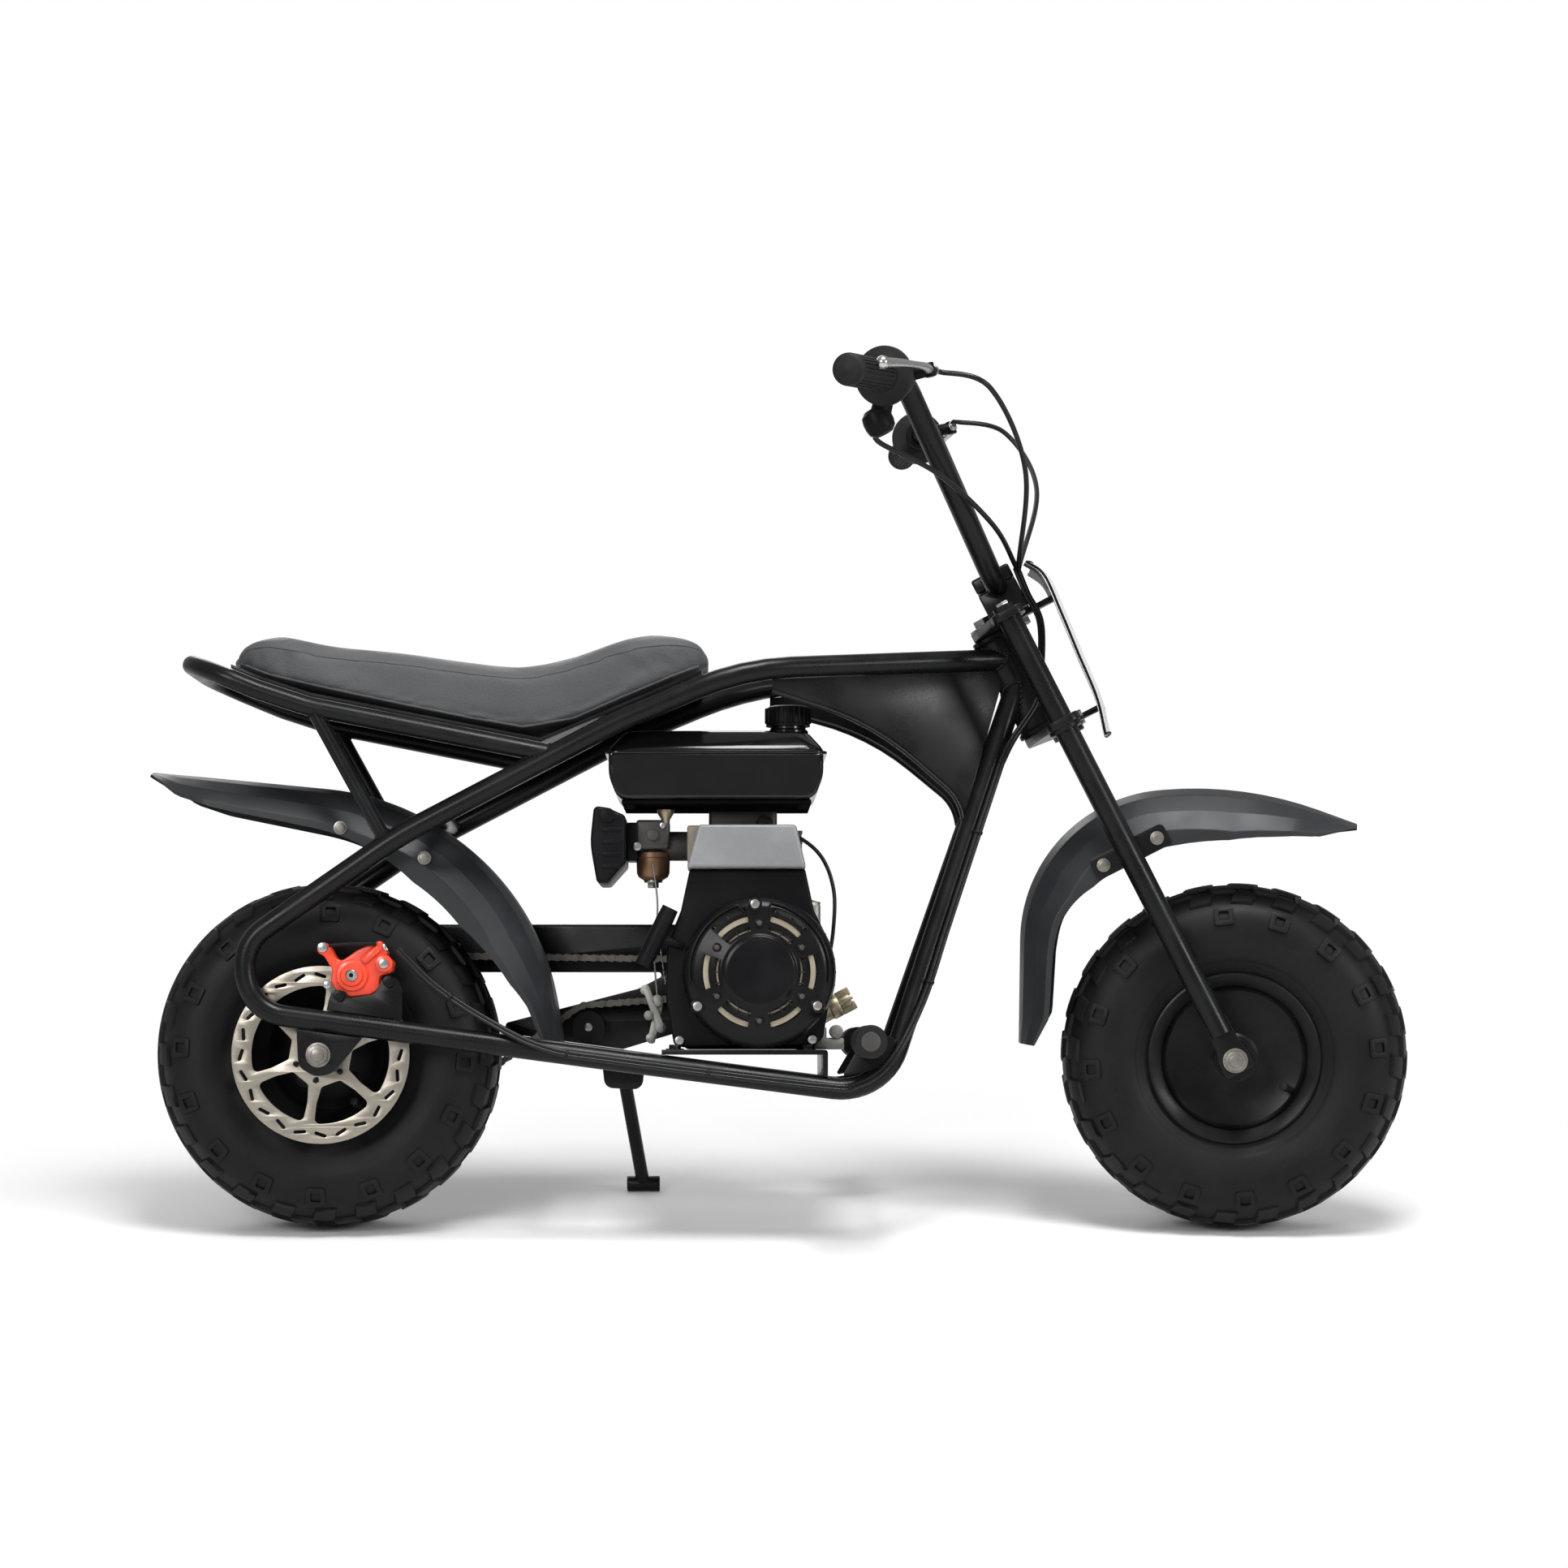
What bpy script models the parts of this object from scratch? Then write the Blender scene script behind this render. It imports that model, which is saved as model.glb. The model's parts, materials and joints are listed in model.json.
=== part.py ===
"""A small petrol minibike, parked on its side stand.

The bike is modelled upright in metres: +X forward from the rear axle, +Y to the rider's left,
+Z up, with the axles at AXLE_Z. An empty then leans the whole bike until both tyres and the stand's foot
touch the floor.
"""
import math

import bmesh
import bpy
from mathutils import Matrix, Vector

# Driving sizes
GAP = 0.0003
WHEELBASE = 0.934
TYRE_RADIUS = 0.178
AXLE_Z = 0.178
TYRE_HALF_WIDTH = 0.0725
LUG_HEIGHT = 0.004
BEAD_RADIUS = 0.0780
RAKE = math.radians(27.07)
FORK_OFFSET = 0.025
HEAD_TO_AXLE = 0.4436
CLAMP_HALF_SPAN = 0.0610
CLAMP_THICKNESS = 0.009
FORK_HALF_SPACING = 0.0915
FORK_LEG_RADIUS = 0.012
HEAD_TUBE_RADIUS = 0.019
STEM_RADIUS = 0.0125
STEER_AT_REST = math.radians(-7.5)
FIRST_LEAN = math.radians(-8)

FRAME_HALF_WIDTH = 0.105
RAIL_RADIUS = 0.011
SEAT_RAIL_RADIUS = 0.0095
STRUT_RADIUS = 0.0075
CROSS_TUBE_RADIUS = 0.008
PLATE = 0.006

AXLE_RADIUS = 0.007
HUB_BORE = 0.0073
ROTOR_RADIUS = 0.090
ROTOR_THICKNESS = 0.004
ROTOR_Y = -0.087
CHAIN_PITCH = 0.009525
CHAIN_HALF_HEIGHT = 0.0043
CHAIN_WIDTH = 0.008
CHAIN_Y = 0.0855
REAR_TEETH = 70
FRONT_TEETH = 11

CRANK_X = 0.443
CRANK_Z = 0.261
ENGINE_BASE_Z = 0.1835
TANK_BOTTOM_Z = 0.4365
GRIP_RADIUS = 0.0155
BAR_RADIUS = 0.011
CABLE_RADIUS = 0.0026

HEAD = Vector((
    WHEELBASE - FORK_OFFSET * math.cos(RAKE) - HEAD_TO_AXLE * math.sin(RAKE),
    0.0,
    AXLE_Z - FORK_OFFSET * math.sin(RAKE) + HEAD_TO_AXLE * math.cos(RAKE),
))
# The x of the frame's front corners, behind the head
TOP_BEND_X = HEAD.x - 0.2843
FOOT_BEND_X = HEAD.x - 0.1433


def axis_x(z):
    """The steering axis's x at a height."""
    return HEAD.x - (z - HEAD.z) * math.tan(RAKE)


# Corners of one side's closed run of tube: x, y, z, bend radius
W = FRAME_HALF_WIDTH
TOP_RAIL_Z = 0.5862
DOWN_TUBE_Z = 0.5606
RAIL = [
    (axis_x(TOP_RAIL_Z), 0.008, TOP_RAIL_Z, 0),
    (TOP_BEND_X, W, 0.566, 0.22),
    (0.300, W, 0.513, 0.40),
    (0.080, W, 0.398, 0.40),
    (-0.076, W, 0.290, 0.045),
    (-0.071, W, 0.222, 0.045),
    (0.302, W, 0.172, 0.20),
    (FOOT_BEND_X, W, 0.138, 0.060),
    (axis_x(DOWN_TUBE_Z), 0.008, DOWN_TUBE_Z, 0),
]
# Corners of the seat rail's right half, from the main rail to the middle of the tail
SEAT_RAIL = [
    (0.236, W, 0.4796, 0),
    (-0.010, W, 0.528, 0.15),
    (-0.062, W, 0.545, 0.15),
    (-0.135, W, 0.575, 0.055),
    (-0.135, -W, 0.575, 0.055),
    (-0.062, -W, 0.545, 0.15),
    (-0.010, -W, 0.528, 0.15),
    (0.236, -W, 0.4796, 0),
]
STRUT = [(-0.006, W, 0.527, 0), (0.068, W, 0.392, 0)]
# The fenders' crown lines: x, y, z, bend radius
REAR_FENDER = [(-0.176, 0, 0.468, 0), (0.199, 0, 0.432, 0.262), (0.242, 0, 0.192, 0)]
FRONT_FENDER = [(WHEELBASE - 0.220, 0, 0.192, 0), (WHEELBASE - 0.217, 0, 0.440, 0.155), (WHEELBASE + 0.009, 0, 0.458, 0.37),
                (WHEELBASE + 0.123, 0, 0.416, 0)]
# A fender's section from crown to edge: y, drop
FENDER_SECTION = [(0.030, 0.0), (0.050, 0.007), (0.066, 0.023), (0.078, 0.042), (0.078, 0.050)]
FENDER_WALL = 0.003
# How deep the skirts reach below the crown: share of the way along, depth
REAR_SKIRT = [(0, 0.005), (0.053, 0.024), (0.116, 0.032), (0.30, 0.043), (0.56, 0.062), (0.71, 0.060), (0.80, 0.050),
              (0.875, 0.040), (0.93, 0.027), (1, 0.019)]
FRONT_SKIRT = [(0, 0.018), (0.05, 0.032), (0.17, 0.035), (0.25, 0.041), (0.37, 0.058), (0.47, 0.065), (0.60, 0.060),
               (0.76, 0.051), (0.86, 0.039), (0.94, 0.026), (1, 0.005)]
FENDER_TIP = 0.060
# The seat's sections: x, bottom z, top z, half width
SEAT = [
    (-0.092, 0.5700, 0.577, 0.058),
    (-0.080, 0.5640, 0.597, 0.080),
    (-0.050, 0.5560, 0.603, 0.092),
    (0.010, 0.5420, 0.592, 0.098),
    (0.080, 0.5270, 0.585, 0.100),
    (0.150, 0.5130, 0.574, 0.098),
    (0.205, 0.5040, 0.568, 0.094),
    (0.255, 0.5130, 0.580, 0.092),
    (0.310, 0.5370, 0.600, 0.090),
    (0.352, 0.5550, 0.604, 0.084),
    (0.378, 0.5660, 0.599, 0.074),
    (0.391, 0.5715, 0.578, 0.055),
]
SEAT_PAN = 0.004

parts = None
guides = None


def clear():
    """Empties the file and makes the collections for the parts and the guides."""
    global parts, guides
    for thing in list(bpy.data.objects):
        bpy.data.objects.remove(thing)
    parts = bpy.data.collections.new("minibike")
    guides = bpy.data.collections.new("guides")
    bpy.context.scene.collection.children.link(parts)
    bpy.context.scene.collection.children.link(guides)


def finish(name, colour, roughness, metallic=0.0):
    """A plain Principled finish."""
    material = bpy.data.materials.get(name) or bpy.data.materials.new(name)
    material.use_nodes = True
    shader = material.node_tree.nodes["Principled BSDF"]
    shader.inputs["Base Color"].default_value = (*colour, 1.0)
    shader.inputs["Roughness"].default_value = roughness
    shader.inputs["Metallic"].default_value = metallic
    return material


def add(name, data, material=None, guide=False):
    """An object for a mesh or a curve, among the parts or the guides."""
    piece = bpy.data.objects.new(name, data)
    (guides if guide else parts).objects.link(piece)
    if guide:
        piece.hide_render = True
        piece.display_type = "WIRE"
    if material:
        piece.data.materials.append(material)
    return piece


def as_mesh(piece, turn=None):
    """Turns a curve or a piece with modifiers into a plain mesh object of the same name."""
    graph = bpy.context.evaluated_depsgraph_get()
    graph.update()
    mesh = bpy.data.meshes.new_from_object(piece.evaluated_get(graph))
    work = bmesh.new()
    work.from_mesh(mesh)
    bmesh.ops.remove_doubles(work, verts=work.verts, dist=1e-6)
    bmesh.ops.recalc_face_normals(work, faces=work.faces)
    if work.calc_volume(signed=True) < 0:
        bmesh.ops.reverse_faces(work, faces=work.faces)
    work.to_mesh(mesh)
    work.free()
    mesh.transform(piece.matrix_world)
    if turn:
        mesh.transform(turn)
    name, home = piece.name, piece.users_collection[0]
    hidden = piece.hide_render
    bpy.data.objects.remove(piece)
    result = bpy.data.objects.new(name, mesh)
    home.objects.link(result)
    if hidden:
        result.hide_render = True
        result.display_type = "WIRE"
    return result


def boolean(target, tool, operation):
    """Joins a tool to a target, or cuts the target with it, and removes the tool."""
    modifier = target.modifiers.new(operation.title(), "BOOLEAN")
    modifier.operation = operation
    modifier.object = tool
    target = as_mesh(target)
    bpy.data.objects.remove(tool)
    return target


def join(target, *tools):
    """The union of a target and its tools."""
    for tool in tools:
        target = boolean(target, tool, "UNION")
    return target


def cut(target, *tools):
    """A target less its tools."""
    for tool in tools:
        target = boolean(target, tool, "DIFFERENCE")
    return target


def rounded(corners, step=math.radians(14)):
    """Points along straight runs joined by arcs; a corner is x, y, z, bend radius."""
    points = [Vector(corners[0][:3])]
    for before, corner, after in zip(corners, corners[1:], corners[2:]):
        at = Vector(corner[:3])
        into = (at - Vector(before[:3])).normalized()
        out = (Vector(after[:3]) - at).normalized()
        turn = into.angle(out)
        radius = corner[3]
        if radius == 0 or turn < 1e-4:
            points.append(at)
            continue
        centre = at + (out - into).normalized() * radius / math.cos(turn / 2)
        start = at - into * radius * math.tan(turn / 2) - centre
        axis = into.cross(out).normalized()
        steps = max(2, round(turn / step))
        for i in range(steps + 1):
            points.append(centre + Matrix.Rotation(turn * i / steps, 3, axis) @ start)
    points.append(Vector(corners[-1][:3]))
    return points


def tube(name, points, radius, material=None, sides=12, guide=False):
    """A solid round tube along points."""
    curve = bpy.data.curves.new(name, "CURVE")
    curve.dimensions = "3D"
    curve.twist_mode = "MINIMUM"
    curve.bevel_depth = radius
    curve.bevel_resolution = (sides - 4) // 2
    curve.use_fill_caps = True
    spline = curve.splines.new("POLY")
    spline.points.add(len(points) - 1)
    for point, at in zip(spline.points, points):
        point.co = (*at, 1.0)
    return as_mesh(add(name, curve, material, guide))


def smooth_route(points, count):
    """Evenly counted points on a smooth curve through a route's own points."""
    knots = [Vector(p) for p in points]
    knots = [knots[0] * 2 - knots[1]] + knots + [knots[-1] * 2 - knots[-2]]
    dense = []
    for a, b, c, d in zip(knots, knots[1:], knots[2:], knots[3:]):
        for i in range(12):
            t = i / 12
            dense.append(0.5 * (2 * b + (c - a) * t + (2 * a - 5 * b + 4 * c - d) * t * t
                                + (3 * b - a - 3 * c + d) * t ** 3))
    dense.append(knots[-2])
    return spaced(dense, count)


def spaced(path, count):
    """Points at equal distances along a path."""
    lengths = [0.0]
    for a, b in zip(path, path[1:]):
        lengths.append(lengths[-1] + (b - a).length)
    result, k = [], 0
    for i in range(count):
        want = lengths[-1] * i / (count - 1)
        while k < len(path) - 2 and lengths[k + 1] < want:
            k += 1
        run = lengths[k + 1] - lengths[k]
        result.append(path[k].lerp(path[k + 1], (want - lengths[k]) / run if run else 0))
    return result


ALONG_Y = Matrix.Rotation(math.radians(90), 4, "X")


def prism(name, outlines, y0, y1, material=None, guide=False):
    """Flat outlines in the XZ plane, the first one outer and the rest holes, as thick as y0 to y1."""
    curve = bpy.data.curves.new(name, "CURVE")
    curve.dimensions = "2D"
    curve.fill_mode = "BOTH"
    curve.extrude = abs(y1 - y0) / 2
    for outline in outlines:
        spline = curve.splines.new("POLY")
        spline.points.add(len(outline) - 1)
        for point, at in zip(spline.points, outline):
            point.co = (at[0], at[1], 0.0, 1.0)
        spline.use_cyclic_u = True
    shift = Matrix.Translation((0, (y0 + y1) / 2, 0))
    return as_mesh(add(name, curve, material, guide), shift @ ALONG_Y)


def plate(name, corners, y0, y1, material=None, holes=(), guide=False):
    """A prism whose outer corners are x, z, rounding radius."""
    loop = [(x, 0, z, r) for x, z, r in corners]
    outline = rounded([loop[-1]] + loop + [loop[0]], math.radians(30))[1:-1]
    return prism(name, [[(p.x, p.z) for p in outline], *holes], y0, y1, material, guide)


def circle(x, z, radius, count=16, start=0.0):
    """A round outline."""
    return [(x + radius * math.cos(start + math.tau * i / count), z + radius * math.sin(start + math.tau * i / count))
            for i in range(count)]


AXES = {
    "X": Matrix.Rotation(math.radians(90), 4, "Y"),
    "Y": Matrix.Rotation(math.radians(-90), 4, "X"),
    "Z": Matrix.Identity(4),
}


def turned(name, profile, axis="Y", at=(0, 0, 0), segments=32, material=None, guide=False):
    """A turned solid from a profile of radius and place along the axis; a profile off the axis is closed."""
    ring = profile[0][0] > 1e-9
    area = sum(a[0] * b[1] - b[0] * a[1] for a, b in zip(profile, profile[1:] + profile[:1]))
    points = list(profile) if area < 0 else list(reversed(profile))
    mesh = bpy.data.meshes.new(name)
    edges = [(i, i + 1) for i in range(len(points) - 1)] + ([(len(points) - 1, 0)] if ring else [])
    mesh.from_pydata([(r, 0, h) for r, h in points], edges, [])
    piece = add(name, mesh, material, guide)
    screw = piece.modifiers.new("Turn", "SCREW")
    screw.steps = screw.render_steps = segments
    screw.use_merge_vertices = True
    screw.merge_threshold = 1e-5
    return as_mesh(piece, Matrix.Translation(at) @ AXES[axis])


def rod(name, start, end, radius, sides=16, material=None, guide=False):
    """A plain round bar between two points."""
    start, end = Vector(start), Vector(end)
    work = bmesh.new()
    bmesh.ops.create_cone(work, cap_ends=True, segments=sides, radius1=radius, radius2=radius,
                          depth=(end - start).length)
    turn = Vector((0, 0, 1)).rotation_difference(end - start).to_matrix().to_4x4()
    bmesh.ops.transform(work, verts=work.verts, matrix=Matrix.Translation((start + end) / 2) @ turn)
    mesh = bpy.data.meshes.new(name)
    work.to_mesh(mesh)
    work.free()
    return add(name, mesh, material, guide)


def box(name, low, high, material=None, bevel=0.0, guide=False):
    """A box between two corners, with its edges rounded."""
    low, high = Vector(low), Vector(high)
    work = bmesh.new()
    bmesh.ops.create_cube(work, size=1.0)
    bmesh.ops.scale(work, vec=high - low, verts=work.verts)
    bmesh.ops.translate(work, vec=(low + high) / 2, verts=work.verts)
    if bevel:
        bmesh.ops.bevel(work, geom=work.edges, offset=bevel, segments=1, profile=0.5, affect="EDGES", material=-1)
    mesh = bpy.data.meshes.new(name)
    work.to_mesh(mesh)
    work.free()
    return add(name, mesh, material, guide)


def loft(name, sections, material=None, closed=False):
    """A closed skin over sections with equal counts of points."""
    work = bmesh.new()
    rings = [[work.verts.new(p) for p in section] for section in sections]
    pairs = list(zip(rings, rings[1:])) + ([(rings[-1], rings[0])] if closed else [])
    for a, b in pairs:
        for i in range(len(a)):
            j = (i + 1) % len(a)
            work.faces.new((a[i], a[j], b[j], b[i]))
    if not closed:
        work.faces.new(rings[0])
        work.faces.new(rings[-1])
    bmesh.ops.recalc_face_normals(work, faces=work.faces)
    mesh = bpy.data.meshes.new(name)
    work.to_mesh(mesh)
    work.free()
    return add(name, mesh, material)


def empty(name, parent=None, at=(0, 0, 0), turn=(0, 0, 0)):
    """An empty that carries pieces."""
    thing = bpy.data.objects.new(name, None)
    guides.objects.link(thing)
    thing.parent = parent
    thing.location = at
    thing.rotation_euler = turn
    return thing


def carry(parent, *pieces):
    """Parents pieces that are modelled in the parent's own frame."""
    for piece in pieces:
        piece.parent = parent
        piece.data.shade_smooth()
        piece.data.set_sharp_from_angle(angle=math.radians(35))


def mirrored(points):
    """A route's corners on the other side of the bike."""
    return [(p[0], -p[1], *p[2:]) for p in points]


def line_at(a, b, x):
    """The z at x of the side view's line through two corners."""
    return a[2] + (b[2] - a[2]) * (x - a[0]) / (b[0] - a[0])


def above(a, b, distance):
    """The side view's line through two corners, moved up square to itself, as slope and z at x = 0."""
    slope = (b[2] - a[2]) / (b[0] - a[0])
    return slope, line_at(a, b, 0.0) + distance * math.hypot(1, slope)


def meet(first, second):
    """Where two side view lines cross."""
    x = (second[1] - first[1]) / (first[0] - second[0])
    return x, first[0] * x + first[1]


def to_steering(point):
    """A point of the upright bike in the steering axis's frame."""
    return Matrix.Rotation(RAKE, 3, "Y") @ (Vector(point) - HEAD)


BLACK = ("frame black", (0.012, 0.012, 0.013), 0.35)
DARK = ("dark plastic", (0.030, 0.031, 0.034), 0.55)
SEAT_GREY = ("seat vinyl", (0.035, 0.036, 0.039), 0.60)
TYRE = ("tyre rubber", (0.012, 0.012, 0.013), 0.75)
STEEL = ("zinc steel", (0.55, 0.55, 0.53), 0.35, 1.0)
ROTOR = ("champagne steel", (0.60, 0.55, 0.47), 0.35, 1.0)
RED = ("caliper red", (0.80, 0.075, 0.030), 0.35)
GREY = ("shroud grey", (0.20, 0.205, 0.21), 0.45)
CAST = ("cast aluminium", (0.42, 0.41, 0.38), 0.50, 1.0)
BRONZE = ("bowl bronze", (0.28, 0.17, 0.11), 0.45, 1.0)
GLOSS = ("gloss black", (0.008, 0.008, 0.009), 0.15)
WHITE = ("plate white", (0.85, 0.85, 0.85), 0.40)
RUBBER = ("grip rubber", (0.015, 0.015, 0.016), 0.80)


def coped(name, corners, radius, material, against, sides=12):
    """A tube along corners, its ends cut to sit on other tubes, given as their names and runs."""
    piece = tube(name, rounded(corners), radius, material, sides)
    for path, size in against:
        piece = cut(piece, tube("cope", path, (size + GAP) / math.cos(math.pi / 16), guide=True, sides=16))
    return piece


def head_run():
    """The steering axis across the head tube, in the upright frame."""
    up = Vector((-math.sin(RAKE), 0, math.cos(RAKE)))
    reach = CLAMP_HALF_SPAN + 0.03
    return [HEAD - up * reach, HEAD + up * reach]


def build_frame(bike):
    """Both side rails, the head tube, the seat rail, struts, cross tubes, panels and axle plates."""
    black = finish(*BLACK)
    half = CLAMP_HALF_SPAN - CLAMP_THICKNESS / 2 - 0.0008
    bore = STEM_RADIUS + 0.002
    cup = 0.006
    profile = [(bore, half), (HEAD_TUBE_RADIUS + 0.003, half), (HEAD_TUBE_RADIUS + 0.003, half - cup),
               (HEAD_TUBE_RADIUS, half - cup), (HEAD_TUBE_RADIUS, cup - half),
               (HEAD_TUBE_RADIUS + 0.003, cup - half), (HEAD_TUBE_RADIUS + 0.003, -half), (bore, -half)]
    head = turned("head_tube", profile, "Z", segments=24, material=black)
    head.data.transform(Matrix.Translation(HEAD) @ Matrix.Rotation(-RAKE, 4, "Y"))
    carry(bike, head)
    for side, sign in (("left", 1), ("right", -1)):
        run = RAIL if sign > 0 else mirrored(RAIL)
        carry(bike, coped(f"{side}_rail", run, RAIL_RADIUS, black, [(head_run(), HEAD_TUBE_RADIUS + 0.003)]))
        carry(bike, side_panel(side, sign, black))
        carry(bike, axle_plate(side, sign, black))
    both = [(rounded(RAIL), RAIL_RADIUS), (rounded(mirrored(RAIL)), RAIL_RADIUS)]
    seat_rail = coped("seat_rail", SEAT_RAIL, SEAT_RAIL_RADIUS, black, both)
    struts = [coped("strut", run, STRUT_RADIUS, None, both, 10) for run in (STRUT, mirrored(STRUT))]
    carry(bike, join(seat_rail, *struts))
    # Cross tubes: name, x, z
    crown = fender_stations(REAR_FENDER)[9]
    seat = crown[0] + crown[1] * (CROSS_TUBE_RADIUS + GAP)
    for name, x, z in (("fender_cross_tube", seat.x, seat.z),
                       ("rear_cross_tube", 0.262, line_at(RAIL[5], RAIL[6], 0.262)),
                       ("front_cross_tube", FOOT_BEND_X - 0.046, line_at(RAIL[6], RAIL[7], FOOT_BEND_X - 0.046))):
        corners = [(x, W, z, 0), (x, -W, z, 0)]
        carry(bike, coped(name, corners, CROSS_TUBE_RADIUS, black, both, 10))
    carry(bike, engine_plate(black))


def side_panel(side, sign, material):
    """The sheet that fills the corner between a top rail and its down tube, with a rolled lower edge."""
    inset = RAIL_RADIUS + 0.0006
    top = Vector(RAIL[0][:3]), Vector(RAIL[1][:3])
    foot = Vector((HEAD.x - 0.0453, 0.0, 0.0))
    low = Vector(RAIL[7][:3])
    foot.z = low.z + (RAIL[8][2] - low.z) * (foot.x - low.x) / (RAIL[8][0] - low.x)
    foot.y = low.y + (RAIL[8][1] - low.y) * (foot.x - low.x) / (RAIL[8][0] - low.x)
    normal = (top[1] - top[0]).cross(foot - top[0])
    down = (Vector((RAIL[8][0], 0, RAIL[8][2])) - Vector((low.x, 0, low.z))).normalized()
    across = (Vector((top[1].x, 0, top[1].z)) - Vector((top[0].x, 0, top[0].z))).normalized()
    back = Vector((-down.z, 0, down.x))
    under = Vector((-across.z, 0, across.x))
    first = Vector((top[0].x, 0, top[0].z)) + under * inset
    last = Vector((foot.x, 0, foot.z)) + back * (inset + 0.001)
    corner = first.copy()
    while (corner - last).dot(back) < 0:
        corner = corner + across * 0.001
    tip = first + across * (first.x - (TOP_BEND_X + 0.030))
    arch = [(tip.x, 0, tip.z - 0.012, 0), (HEAD.x - 0.1493, 0, 0.515, 0.26), (HEAD.x - 0.0613, 0, 0.440, 0.05),
            (last.x, 0, last.z - 0.012, 0)]
    lower = rounded(arch, math.radians(8))
    outline = [(corner.x, corner.z), (tip.x, tip.z)] + [(p.x, p.z) for p in lower]
    sheet = prism(f"{side}_side_panel", [outline], -0.001, 0.001, material)
    sheet = join(sheet, tube("lip", [p + Vector((0, 0, 0)) for p in lower], 0.003, sides=8))
    for vertex in sheet.data.vertices:
        p = vertex.co
        vertex.co.y += top[0].y - (normal.x * (p.x - top[0].x) + normal.z * (p.z - top[0].z)) / normal.y
    sheet = cut(sheet, tube("cope", head_run(), HEAD_TUBE_RADIUS + 0.006, guide=True, sides=16),
                tube("cope", rounded(RAIL), (RAIL_RADIUS + GAP) / math.cos(math.pi / 16), guide=True, sides=16))
    if sign < 0:
        mirror(sheet)
    return sheet


def mirror(piece):
    """Reflects a piece to the other side of the bike, its faces still outwards."""
    piece.data.transform(Matrix.Scale(-1, 4, (0, 1, 0)))
    piece.data.flip_normals()


def axle_plate(side, sign, material):
    """The plate under a lower rail that holds the rear axle."""
    slope, lift = above(RAIL[5], RAIL[6], -(RAIL_RADIUS + GAP))
    z = AXLE_Z
    corners = [(-0.022, slope * -0.022 + lift, 0), (-0.020, z - 0.012, 0.012), (0.0, z - 0.024, 0.016),
               (0.020, z - 0.012, 0.012), (0.044, slope * 0.044 + lift, 0)]
    hole = circle(0, z, AXLE_RADIUS + GAP)
    return plate(f"{side}_axle_plate", corners, sign * (W - PLATE / 2), sign * (W + PLATE / 2), material, [hole])


def engine_plate(material):
    """The folded plate across both lower rails that carries the engine."""
    rear, front = 0.345, 0.512
    top = ENGINE_BASE_Z - GAP
    slope, lift = above(RAIL[6], RAIL[7], RAIL_RADIUS + GAP)
    corners = [(rear, top, 0), (front, top, 0), (front, slope * front + lift, 0),
               (front - 0.005, slope * (front - 0.005) + lift, 0), (front - 0.005, top - 0.005, 0), (rear, top - 0.005, 0)]
    return plate("engine_plate", corners, -0.112, 0.112, material)


def fender_stations(corners, count=18):
    """Places along a fender's crown with the outward direction there and the distance to the nearer tip."""
    path = spaced(rounded(corners, math.radians(6)), count)
    total = sum((b - a).length for a, b in zip(path, path[1:]))
    stations = []
    for i, p in enumerate(path):
        along = (path[min(i + 1, count - 1)] - path[max(i - 1, 0)]).normalized()
        stations.append((p, Vector((-along.z, 0, along.x)), total * i / (count - 1)))
    return stations


def fender(name, corners, skirt, tip_at_end, material):
    """A fender with a flat crown, creases and side skirts, narrower towards its tip."""
    stations = fender_stations(corners)
    total = stations[-1][2]
    work = bmesh.new()
    rows = []
    columns = [(-y, drop) for y, drop in reversed(FENDER_SECTION)] + FENDER_SECTION
    for p, out, along in stations:
        share = along / total
        low, high = next((a, b) for a, b in zip(skirt, skirt[1:]) if share <= b[0] + 1e-9)
        depth = low[1] + (high[1] - low[1]) * (share - low[0]) / (high[0] - low[0])
        narrow = 0.72 + 0.28 * min(1.0, (total - along if tip_at_end else along) / FENDER_TIP)
        row = []
        for y, drop in columns:
            fall = depth if drop == FENDER_SECTION[-1][1] else drop * min(1.0, depth / FENDER_SECTION[-1][1])
            row.append(work.verts.new(p + Vector((0, y * narrow, 0)) - out * fall))
        rows.append(row)
    for a, b in zip(rows, rows[1:]):
        for i in range(len(a) - 1):
            work.faces.new((a[i], a[i + 1], b[i + 1], b[i]))
    bmesh.ops.recalc_face_normals(work, faces=work.faces)
    mesh = bpy.data.meshes.new(name)
    work.to_mesh(mesh)
    work.free()
    piece = add(name, mesh, material)
    wall = piece.modifiers.new("Wall", "SOLIDIFY")
    wall.thickness = FENDER_WALL
    middle = piece.data.polygons[len(rows) // 2 * (len(columns) - 1) + len(columns) // 2 - 1]
    outward = stations[len(stations) // 2][1]
    wall.offset = -1.0 if middle.normal.dot(outward) > 0 else 1.0
    return as_mesh(piece)


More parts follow.
